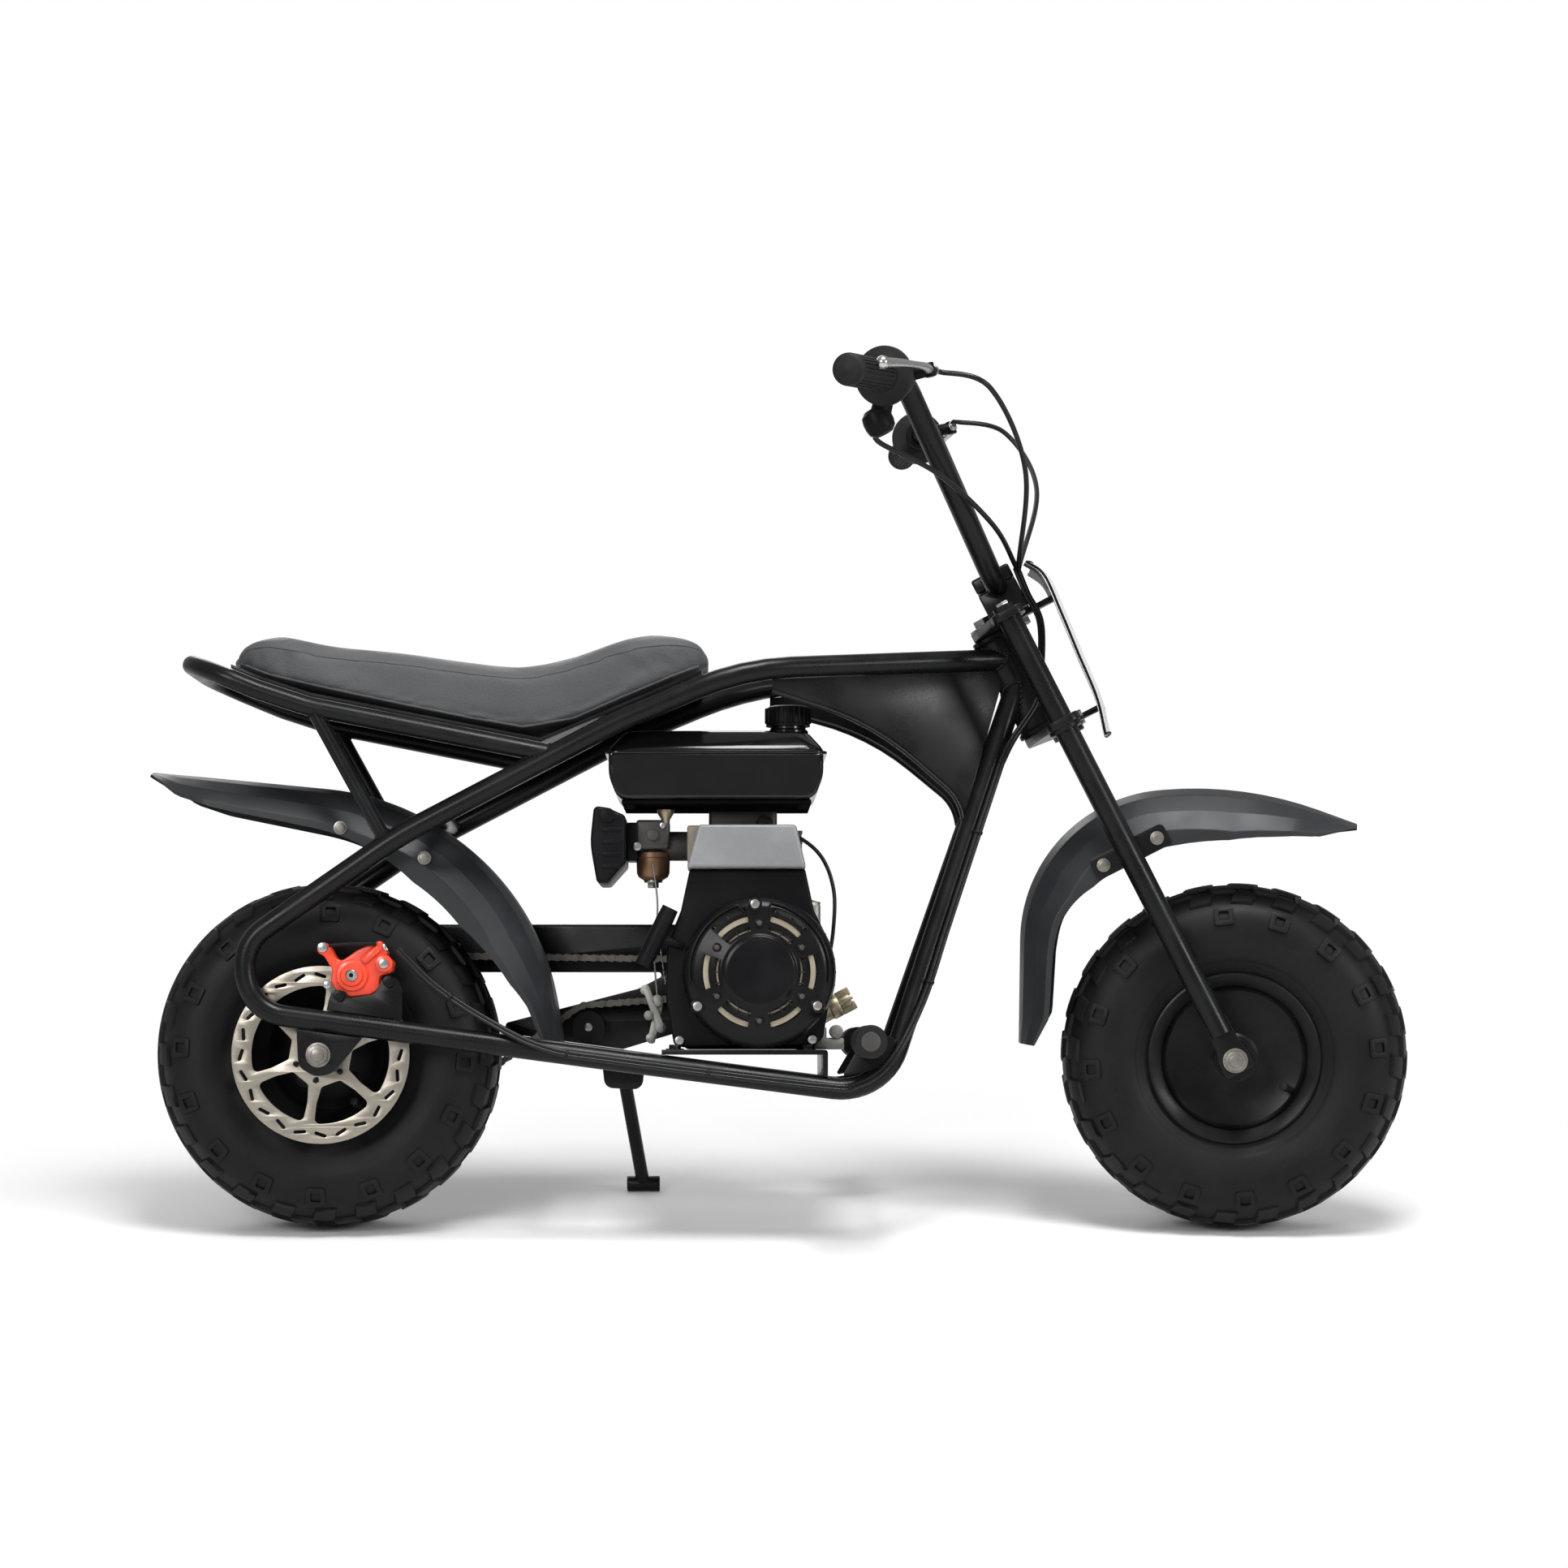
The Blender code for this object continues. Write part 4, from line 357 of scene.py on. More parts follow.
def spaced(path: Sequence[Vector], count: int) -> list[Vector]:
    """Points at equal distances along a path.

    Args:
        path: the path's points.
        count: how many points to return.

    Returns:
        The points, ends included.
    """
    lengths = [0.0]
    for a, b in zip(path, path[1:]):
        lengths.append(lengths[-1] + (b - a).length)
    result, k = [], 0
    for i in range(count):
        want = lengths[-1] * i / (count - 1)
        while k < len(path) - 2 and lengths[k + 1] < want:
            k += 1
        run = lengths[k + 1] - lengths[k]
        result.append(path[k].lerp(path[k + 1], (want - lengths[k]) / run if run else 0.0))
    return result


def flowing(points: Sequence[Point], count: int) -> list[Vector]:
    """Evenly spaced points on a smooth curve through some points.

    Args:
        points: the points to pass through.
        count: how many points to return.

    Returns:
        The points in order.
    """
    knots = [Vector(p) for p in points]
    knots = [knots[0] * 2 - knots[1], *knots, knots[-1] * 2 - knots[-2]]
    dense = []
    for a, b, c, d in zip(knots, knots[1:], knots[2:], knots[3:]):
        for i in range(16):
            t = i / 16
            dense.append(
                0.5 * (2 * b + (c - a) * t + (2 * a - 5 * b + 4 * c - d) * t * t + (3 * b - a - 3 * c + d) * t ** 3))
    return spaced([*dense, knots[-2]], count)


def soft_outline(corners: Sequence[Point], step: float = math.radians(15)) -> Outline:
    """A closed outline with rounded corners.

    Args:
        corners: x, z and rounding radius of each corner.
        step: turn of one arc piece.

    Returns:
        The outline's points.
    """
    loop = [(x, 0, z, r) for x, z, r in corners]
    return [(p.x, p.z) for p in rounded([loop[-1], *loop, loop[0]], step)[1:-1]]


def ring(x: float, z: float, radius: float, count: int = 32, start: float = 0.0) -> Outline:
    """A round outline."""
    return [(x + radius * math.cos(start + math.tau * i / count), z + radius * math.sin(start + math.tau * i / count))
            for i in range(count)]


def polar(radius: float, angle: float, y: float = 0.0,
          centre: tuple[float, float] = (0.0, 0.0)) -> tuple[float, float, float]:
    """A point at an angle round a centre in the XZ plane."""
    return centre[0] + radius * math.cos(angle), y, centre[1] + radius * math.sin(angle)


def between(start: Point, end: Point) -> Matrix:
    """The placing that stands the Z axis on a start point, towards an end point."""
    start, end = Vector(start), Vector(end)
    return Matrix.Translation(start) @ (end - start).to_track_quat("Z", "Y").to_matrix().to_4x4()


class Shape:
    """A mesh that grows piece by piece."""

    def __init__(self) -> None:
        """Starts empty."""
        self.mesh = bmesh.new()

    def take(self, part: bmesh.types.BMesh, place: Matrix | None = None, turn_out: bool = True) -> Shape:
        """Adds a finished bmesh.

        Args:
            part: the mesh to add, freed here.
            place: where it goes.
            turn_out: whether its faces are turned outwards.

        Returns:
            This shape.
        """
        bmesh.ops.remove_doubles(part, verts=part.verts, dist=1e-6)
        if place:
            bmesh.ops.transform(part, verts=part.verts, matrix=place)
        if turn_out:
            bmesh.ops.recalc_face_normals(part, faces=part.faces)
        data = bpy.data.meshes.new("piece")
        part.to_mesh(data)
        part.free()
        self.mesh.from_mesh(data)
        bpy.data.meshes.remove(data)
        return self

    def take_object(self, piece: bpy.types.Object, place: Matrix | None = None) -> Shape:
        """Adds a curve or an object with modifiers, as its final mesh.

        Args:
            piece: the object, removed here.
            place: where it goes.

        Returns:
            This shape.
        """
        graph = bpy.context.evaluated_depsgraph_get()
        graph.update()
        data = bpy.data.meshes.new_from_object(piece.evaluated_get(graph))
        bpy.data.objects.remove(piece)
        part = bmesh.new()
        part.from_mesh(data)
        bpy.data.meshes.remove(data)
        return self.take(part, place)

    def box(self, low: Point, high: Point, soften: float = 0.001, segments: int = 2,
            place: Matrix | None = None) -> Shape:
        """Adds a block with rounded edges.

        Args:
            low: its lowest corner.
            high: its highest corner.
            soften: the edges' radius.
            segments: steps of each rounded edge.
            place: where it goes.

        Returns:
            This shape.
        """
        low, high = Vector(low), Vector(high)
        part = bmesh.new()
        bmesh.ops.create_cube(part, size=1.0)
        bmesh.ops.scale(part, vec=high - low, verts=part.verts)
        bmesh.ops.translate(part, vec=(low + high) / 2, verts=part.verts)
        if soften:
            bmesh.ops.bevel(part, geom=part.edges, offset=soften, segments=segments, profile=0.5, affect="EDGES",
                            material=-1, clamp_overlap=True)
        return self.take(part, place)

    def rod(self, start: Point, end: Point, radius: float, sides: int = 24, soften: float = 0.0006,
            tip: float | None = None, place: Matrix | None = None) -> Shape:
        """Adds a round or many-sided bar between two points.

        Args:
            start: one end's middle.
            end: the other end's middle.
            radius: its radius at the start.
            sides: its number of sides.
            soften: the ends' edge radius.
            tip: its radius at the end, where it tapers.
            place: where it goes.

        Returns:
            This shape.
        """
        length = (Vector(end) - Vector(start)).length
        part = bmesh.new()
        bmesh.ops.create_cone(part, cap_ends=True, segments=sides, radius1=radius,
                              radius2=radius if tip is None else tip, depth=length)
        bmesh.ops.translate(part, vec=(0, 0, length / 2), verts=part.verts)
        if soften:
            rims = [e for e in part.edges if len(e.link_faces) == 2 and any(len(f.verts) > 4 or sides == 4
                                                                            for f in e.link_faces)]
            bmesh.ops.bevel(part, geom=rims, offset=min(soften, radius * 0.4, length * 0.3), segments=2, profile=0.5,
                            affect="EDGES", material=-1)
        at = between(start, end)
        return self.take(part, place @ at if place else at)

    def ball(self, at: Point, radius: float) -> Shape:
        """Adds a ball.

        Args:
            at: its centre.
            radius: its radius.

        Returns:
            This shape.
        """
        part = bmesh.new()
        bmesh.ops.create_uvsphere(part, u_segments=20, v_segments=12, radius=radius)
        return self.take(part, Matrix.Translation(at))

    def turned(self, profile: Sequence[tuple[float, float]], place: Matrix | None = None, segments: int = 48) -> Shape:
        """Adds a turned body about Z.

        Args:
            profile: its radii and heights; a profile off the axis is closed.
            place: where it goes.
            segments: steps round it.

        Returns:
            This shape.
        """
        part = bmesh.new()
        verts = [part.verts.new((r, 0, h)) for r, h in profile]
        pairs = list(zip(verts, verts[1:]))
        if min(profile[0][0], profile[-1][0]) > 1e-7:
            pairs.append((verts[-1], verts[0]))
        edges = [part.edges.new(pair) for pair in pairs]
        bmesh.ops.spin(part, geom=verts + edges, cent=(0, 0, 0), axis=(0, 0, 1), angle=math.tau, steps=segments,
                       use_merge=True)
        return self.take(part, place)

    def tube(self, points: Sequence[Point], radius: float, sides: int = 20,
             shrink: Callable[[float], float] | None = None, place: Matrix | None = None) -> Shape:
        """Adds a solid round tube along points.

        Args:
            points: its middle line.
            radius: its radius.
            sides: its number of sides.
            shrink: the radius's share at each share of its length.
            place: where it goes.

        Returns:
            This shape.
        """
        curve = bpy.data.curves.new("tube", "CURVE")
        curve.dimensions = "3D"
        curve.twist_mode = "MINIMUM"
        curve.bevel_depth = radius
        curve.bevel_resolution = (sides - 4) // 2
        curve.use_fill_caps = True
        spline = curve.splines.new("POLY")
        spline.points.add(len(points) - 1)
        for i, (knot, at) in enumerate(zip(spline.points, points)):
            knot.co = (*at[:3], 1.0)
            knot.radius = shrink(i / (len(points) - 1)) if shrink else 1.0
        piece = bpy.data.objects.new("tube", curve)
        bpy.context.scene.collection.objects.link(piece)
        return self.take_object(piece, place)

    def slab(self, outlines: Sequence[Outline], low: float, high: float, soften: float = 0.0005,
             place: Matrix | None = None, segments: int = 1) -> Shape:
        """Adds a flat sheet in the XZ plane.

        Args:
            outlines: its outline, then its holes.
            low: its lower y.
            high: its higher y.
            soften: the edges' radius.
            place: where it goes.
            segments: steps of each rounded edge.

        Returns:
            This shape.
        """
        curve = bpy.data.curves.new("slab", "CURVE")
        curve.dimensions = "2D"
        curve.fill_mode = "BOTH"
        curve.extrude = abs(high - low) / 2 - soften
        curve.bevel_depth = soften
        curve.bevel_resolution = segments
        curve.offset = -soften
        for outline in outlines:
            spline = curve.splines.new("POLY")
            spline.points.add(len(outline) - 1)
            for knot, at in zip(spline.points, outline):
                knot.co = (at[0], at[1], 0.0, 1.0)
            spline.use_cyclic_u = True
        piece = bpy.data.objects.new("slab", curve)
        bpy.context.scene.collection.objects.link(piece)
        at = Matrix.Translation((0, (low + high) / 2, 0)) @ UPRIGHT
        return self.take_object(piece, place @ at if place else at)

    def bolt(self, at: Point, way: Point, size: float, height: float | None = None, washer: bool = True,
             sides: int = 6) -> Shape:
        """Adds a bolt head on a washer.

        Args:
            at: the head's seat.
            way: the direction that the head stands out.
            size: radius over the corners.
            height: the head's height.
            washer: whether it has a washer.
            sides: 6 for a hexagon, more for a round socket head.

        Returns:
            This shape.
        """
        at, way = Vector(at), Vector(way).normalized()
        lift = 0.0
        if washer:
            lift = size * 0.22
            self.rod(at - way * 0.001, at + way * lift, size * 1.45, 24, 0.0002)
        tall = height or size * 0.8
        self.rod(at, at + way * (lift + tall), size, sides, size * 0.10)
        if sides > 6:
            self.rod(at + way * (lift + tall), at + way * (lift + tall + 0.0002), size * 0.5, 6, 0)
        return self

    def skin(self, sections: Sequence[Sequence[Point]], closed: bool = True, wall: float = 0.0) -> Shape:
        """Adds a surface through sections of equally many points.

        Args:
            sections: the sections' points.
            closed: whether each section is a loop, whose ends are then capped.
            wall: thickness that an open surface gets.

        Returns:
            This shape.
        """
        part = bmesh.new()
        rows = []
        for section in sections:
            verts = [part.verts.new(p) for p in section]
            pairs = list(zip(verts, verts[1:] + verts[:1])) if closed else list(zip(verts, verts[1:]))
            rows.append([part.edges.new(pair) for pair in pairs])
        for a, b in zip(rows, rows[1:]):
            bmesh.ops.bridge_loops(part, edges=a + b)
        if closed:
            for row in (rows[0], rows[-1]):
                bmesh.ops.contextual_create(part, geom=row)
        bmesh.ops.recalc_face_normals(part, faces=part.faces)
        if wall:
            bmesh.ops.solidify(part, geom=part.faces[:], thickness=wall)
        return self.take(part)

    def copies(self, places: Sequence[Matrix]) -> Shape:
        """Replaces everything so far by copies of it.

        Args:
            places: where each copy goes.

        Returns:
            This shape.
        """
        data = bpy.data.meshes.new("copy")
        self.mesh.to_mesh(data)
        self.mesh.clear()
        for place in places:
            before = len(self.mesh.verts)
            self.mesh.from_mesh(data)
            self.mesh.verts.ensure_lookup_table()
            bmesh.ops.transform(self.mesh, matrix=place, verts=self.mesh.verts[before:])
        bpy.data.meshes.remove(data)
        return self

    def screw(self, at: Point, size: float, height: float, sides: int = 20) -> Shape:
        """Adds a socket head that faces right, without a washer."""
        return self.bolt(at, (0, -1, 0), size, height, washer=False, sides=sides)

    def saddle(self, at: Point, way: Point, radius: float, onto: Point, along: Point, wide: float,
               bead: float = 0.0022) -> Shape:
        """Adds a rippled weld bead where one tube meets another.

        Args:
            at: a point of the first tube's middle line, outside the second.
            way: its direction towards the second.
            radius: its radius.
            onto: a point of the second tube's middle line.
            along: that line's direction.
            wide: the second tube's radius.
            bead: radius of one bead.

        Returns:
            This shape.
        """
        at, way, onto, along = Vector(at), Vector(way).normalized(), Vector(onto), Vector(along).normalized()
        side = way.orthogonal().normalized()
        part = bmesh.new()
        count = max(16, round(math.tau * radius / (bead * 1.1)))
        for i in range(count):
            base = at + Matrix.Rotation(math.tau * i / count, 3, way) @ side * radius
            across, lean = (base - onto).cross(along), way.cross(along)
            a, b, c = lean.dot(lean), 2 * across.dot(lean), across.dot(across) - wide * wide
            root = b * b - 4 * a * c
            if root < 0:
                continue
            spot = base + way * ((-b - math.sqrt(root)) / (2 * a))
            bmesh.ops.create_icosphere(part, subdivisions=1, radius=bead, matrix=Matrix.Translation(spot))
        return self.take(part, turn_out=False)

    def move(self, place: Matrix) -> Shape:
        """Transforms everything so far."""
        bmesh.ops.transform(self.mesh, verts=self.mesh.verts, matrix=place)
        return self

    def cut(self, tool: Shape) -> Shape:
        """Cuts another shape away from this one.

        Args:
            tool: the other shape, used up.

        Returns:
            This shape.
        """
        pair = [shape.loose(name) for shape, name in ((self, "target"), (tool, "tool"))]
        modifier = pair[0].modifiers.new("Cut", "BOOLEAN")
        modifier.operation = "DIFFERENCE"
        modifier.object = pair[1]
        modifier.solver = "EXACT"
        self.mesh = bmesh.new()
        self.take_object(pair[0])
        bpy.data.objects.remove(pair[1])
        return self

    def loose(self, name: str) -> bpy.types.Object:
        """This shape as an object of its own, with the mesh freed."""
        data = bpy.data.meshes.new(name)
        self.mesh.to_mesh(data)
        self.mesh.free()
        piece = bpy.data.objects.new(name, data)
        bpy.context.scene.collection.objects.link(piece)
        return piece


@dataclass
class Rig:
    """The frames that the leaning bike's parts are built in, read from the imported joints."""

    bike: Matrix
    fork: Matrix
    rear_wheel: Matrix
    front_wheel: Matrix
    stand: Matrix

    AXLE_HEIGHT = 0.178
    RAKE = math.radians(27.07)

    @classmethod
    def read(cls, joints: list[dict]) -> Rig:
        """Works the frames out from the joints' places and axes.

        Args:
            joints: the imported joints.

        Returns:
            The rig.
        """
        known = {joint["name"]: (Vector(joint.get("pos_m", (0, 0, 0))), Vector(joint["axis"]).normalized())
                 for joint in joints}
        rear, left = known["rear_wheel_spin"]
        steer, up = known["steering"]
        front, front_left = known["front_wheel_spin"]
        cosine, sine = math.cos(cls.RAKE), math.sin(cls.RAKE)
        across = left.cross(up)
        ahead = across * cosine - up * sine
        top = across * sine + up * cosine
        bike = cls._axes(ahead, left, top, rear - top * cls.AXLE_HEIGHT)
        fork = cls._axes(front_left.cross(up), front_left, up, steer)
        turn = bike.to_3x3()
        stand = known["side_stand_swing"][0]
        level = [turn @ Vector(v) for v in ((1, 0, 0), (0, 1, 0), (0, 0, 1))]
        return cls(bike, fork, cls._axes(*level, rear), cls._axes(front_left.cross(up), front_left, up, front),
                   cls._axes(*level, stand))

    @staticmethod
    def _axes(x: Vector, y: Vector, z: Vector, origin: Vector) -> Matrix:
        """A frame from its axes and origin."""
        frame = Matrix((x, y, z)).transposed().to_4x4()
        frame.translation = origin
        return frame


@dataclass
class Workshop:
    """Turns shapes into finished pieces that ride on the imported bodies."""

    rig: Rig
    made: int = 0

    def piece(self, name: str, shape: Shape, place: Matrix, body: str, finish: Finish, nodes: Iterable[str] = (),
              crease: float = CREASE) -> bpy.types.Object:
        """Makes one piece.

        Args:
            name: its name.
            shape: its mesh, in its own frame.
            place: that frame in the row.
            body: the body it rides on, or an empty name for a piece left on no body.
            finish: its finish.
            nodes: the nodes that it stands for.
            crease: the angle past which an edge stays sharp.

        Returns:
            The object.
        """
        shape.move(place)
        data = bpy.data.meshes.new(name)
        shape.mesh.to_mesh(data)
        shape.mesh.free()
        data.shade_smooth()
        data.set_sharp_from_angle(angle=crease)
        data.materials.clear()
        data.materials.append(finish.material())
        piece = bpy.data.objects.new(f"{name}_dressed" if nodes else name, data)
        bpy.context.scene.collection.objects.link(piece)
        if body:
            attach(piece, body)
        if nodes:
            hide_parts(*nodes)
        self.made += 1
        log.info("%s: %d faces", name, len(data.polygons))
        return piece

    def on_bike(self, name: str, shape: Shape, finish: Finish, *nodes: str) -> bpy.types.Object:
        """A piece of the leaning bike's frame."""
        return self.piece(name, shape, self.rig.bike, "frame", finish, nodes)

    def on_fork(self, name: str, shape: Shape, finish: Finish, *nodes: str) -> bpy.types.Object:
        """A piece of the turned fork."""
        return self.piece(name, shape, self.rig.fork, "fork", finish, nodes)


# The bike's layout, upright, in metres: +X ahead of the rear axle, +Y left, +Z above the floor

HALF = 0.105
RAIL_R = 0.011
RAKE = Rig.RAKE
WHEELBASE = 0.934
FORK_OFFSET = 0.025
FORK_DROP = 0.4436
HEAD = Vector((WHEELBASE - FORK_OFFSET * math.cos(RAKE) - FORK_DROP * math.sin(RAKE), 0.0,
               Rig.AXLE_HEIGHT - FORK_OFFSET * math.sin(RAKE) + FORK_DROP * math.cos(RAKE)))
TOP_BEND_X = HEAD.x - 0.2843
FOOT_BEND_X = HEAD.x - 0.1433


def axis_x(z: float) -> float:
    """The steering axis's x at a height."""
    return HEAD.x - (z - HEAD.z) * math.tan(RAKE)


def to_fork(point: Point) -> Vector:
    """A point of the upright bike in the straight fork's frame."""
    return Matrix.Rotation(RAKE, 3, "Y") @ (Vector(point) - HEAD)


RAIL = [
    (axis_x(0.5862), 0.008, 0.5862, 0), (TOP_BEND_X, HALF, 0.566, 0.22), (0.300, HALF, 0.513, 0.40),
    (0.080, HALF, 0.398, 0.40), (-0.076, HALF, 0.290, 0.045), (-0.071, HALF, 0.222, 0.045), (0.302, HALF, 0.172, 0.20),
    (FOOT_BEND_X, HALF, 0.138, 0.060),
    (axis_x(0.5606), 0.008, 0.5606, 0),
]
SEAT_RAIL = [
    (0.236, HALF, 0.4796, 0), (-0.010, HALF, 0.528, 0.15), (-0.062, HALF, 0.545, 0.15), (-0.135, HALF, 0.575, 0.055),
    (-0.135, -HALF, 0.575, 0.055), (-0.062, -HALF, 0.545, 0.15), (-0.010, -HALF, 0.528, 0.15),
    (0.236, -HALF, 0.4796, 0), ]


RAIL_SLOPE = (RAIL[5][2] - RAIL[6][2]) / (RAIL[6][0] - RAIL[5][0])
RAIL_LIFT = (RAIL_R + 0.0003) / math.cos(math.atan(RAIL_SLOPE))


def rail_z(x: float, low: bool = True) -> float:
    """The height of a lower or upper rail's middle line at x."""
    a, b = ((RAIL[5], RAIL[6]) if x < RAIL[6][0] else (RAIL[6], RAIL[7])) if low else (RAIL[2], RAIL[1])
    return a[2] + (b[2] - a[2]) * (x - a[0]) / (b[0] - a[0])


@dataclass
class Studio:
    """The floor, the soft lights and the camera."""

    distance: float = 3.6
    aim: tuple[float, float] = (0.410, 0.186)
    focal_pixels: float = 4284.0
    frame_pixels: float = 1932.0
    centre_pixel: tuple[float, float] = (895.0, 1290.0)
    sensor: float = 36.0

    def camera(self, bike: Matrix) -> None:
        """Sets the camera square to the bike's middle plane, on its right."""
        data = bpy.data.cameras.new("Camera")
        data.sensor_width = self.sensor
        data.lens = self.focal_pixels / self.frame_pixels * self.sensor
        half = self.frame_pixels / 2
        data.shift_x = (half - self.centre_pixel[0]) / self.frame_pixels
        data.shift_y = (self.centre_pixel[1] - half) / self.frame_pixels
        data.clip_end = 60
        camera = bpy.data.objects.new("Camera", data)
        bpy.context.scene.collection.objects.link(camera)
        camera.matrix_world = bike @ Matrix.Translation((self.aim[0], -self.distance, self.aim[1])) @ UPRIGHT
        bpy.context.scene.camera = camera

    def lamp(self, name: str, at: Point, target: Point, size: float, power: float) -> None:
        """Adds one soft square light."""
        data = bpy.data.lights.new(name, "AREA")
        data.shape = "SQUARE"
        data.size = size
        data.energy = power
        lamp = bpy.data.objects.new(name, data)
        lamp.location = at
        lamp.rotation_euler = (Vector(target) - Vector(at)).to_track_quat("-Z", "Y").to_euler()
        bpy.context.scene.collection.objects.link(lamp)

    def floor(self) -> None:
        """A wide pale floor that keeps the bike's shadow near the bike and shows white to the camera further out."""
        shape = Shape()
        bmesh.ops.create_grid(shape.mesh, x_segments=1, y_segments=1, size=30.0)
        data = bpy.data.meshes.new("floor")
        shape.mesh.to_mesh(data)
        shape.mesh.free()
        graph = Graph("Pale floor")
        graph.set(Base_Color=(0.80, 0.80, 0.80, 1.0), Roughness=0.9)
        centred = graph.node("ShaderNodeMapping", {}, {"Vector": graph.place, "Scale": (0.72, 1.0, 1.0)})
        reach = graph.node("ShaderNodeVectorMath", {"operation": "LENGTH"}, {0: centred}, output="Value")
        seen = graph.node("ShaderNodeLightPath", output="Is Camera Ray")
        glow = graph.node("ShaderNodeEmission", {}, {"Color": (1, 1, 1, 1), "Strength": 1.0})
        mixed = graph.node("ShaderNodeMixShader", {},
                           {0: reach.smooth(0.35, 0.95) * seen, 1: Term(graph, graph.shader.outputs[0]), 2: glow})
        output = next(node for node in graph.tree.nodes if node.type == "OUTPUT_MATERIAL")
        graph.tree.links.new(mixed.socket, output.inputs["Surface"])
        data.materials.append(graph.material)
        piece = bpy.data.objects.new("floor", data)
        bpy.context.scene.collection.objects.link(piece)

    def world(self) -> None:
        """A soft even sky that the camera sees as white."""
        world = bpy.data.worlds.new("Studio")
        bpy.context.scene.world = world
        world.use_nodes = True
        tree = world.node_tree
        sky = tree.nodes["Background"]
        path = tree.nodes.new("ShaderNodeLightPath")
        level = tree.nodes.new("ShaderNodeMapRange")
        level.inputs["To Min"].default_value = 0.42
        level.inputs["To Max"].default_value = 1.0
        tree.links.new(path.outputs["Is Camera Ray"], level.inputs["Value"])
        tree.links.new(level.outputs[0], sky.inputs["Strength"])
        sky.inputs["Color"].default_value = (1, 1, 1, 1)

    def build(self, bike: Matrix) -> None:
        """Sets the whole studio."""
        self.camera(bike)
        self.floor()
        self.world()
        middle = (0.0, 0.0, 0.45)
        self.lamp("overhead", (0.3, -1.0, 3.0), middle, 1.1, 88)
        self.lamp("front_fill", (2.6, -2.2, 1.5), middle, 0.8, 40)
        self.lamp("camera_side", (-1.6, -3.0, 1.8), middle, 1.0, 46)
        self.lamp("far_side", (-0.6, 3.0, 2.2), middle, 1.6, 30)
        bpy.context.scene.view_settings.view_transform = "Standard"


# Sub-assemblies


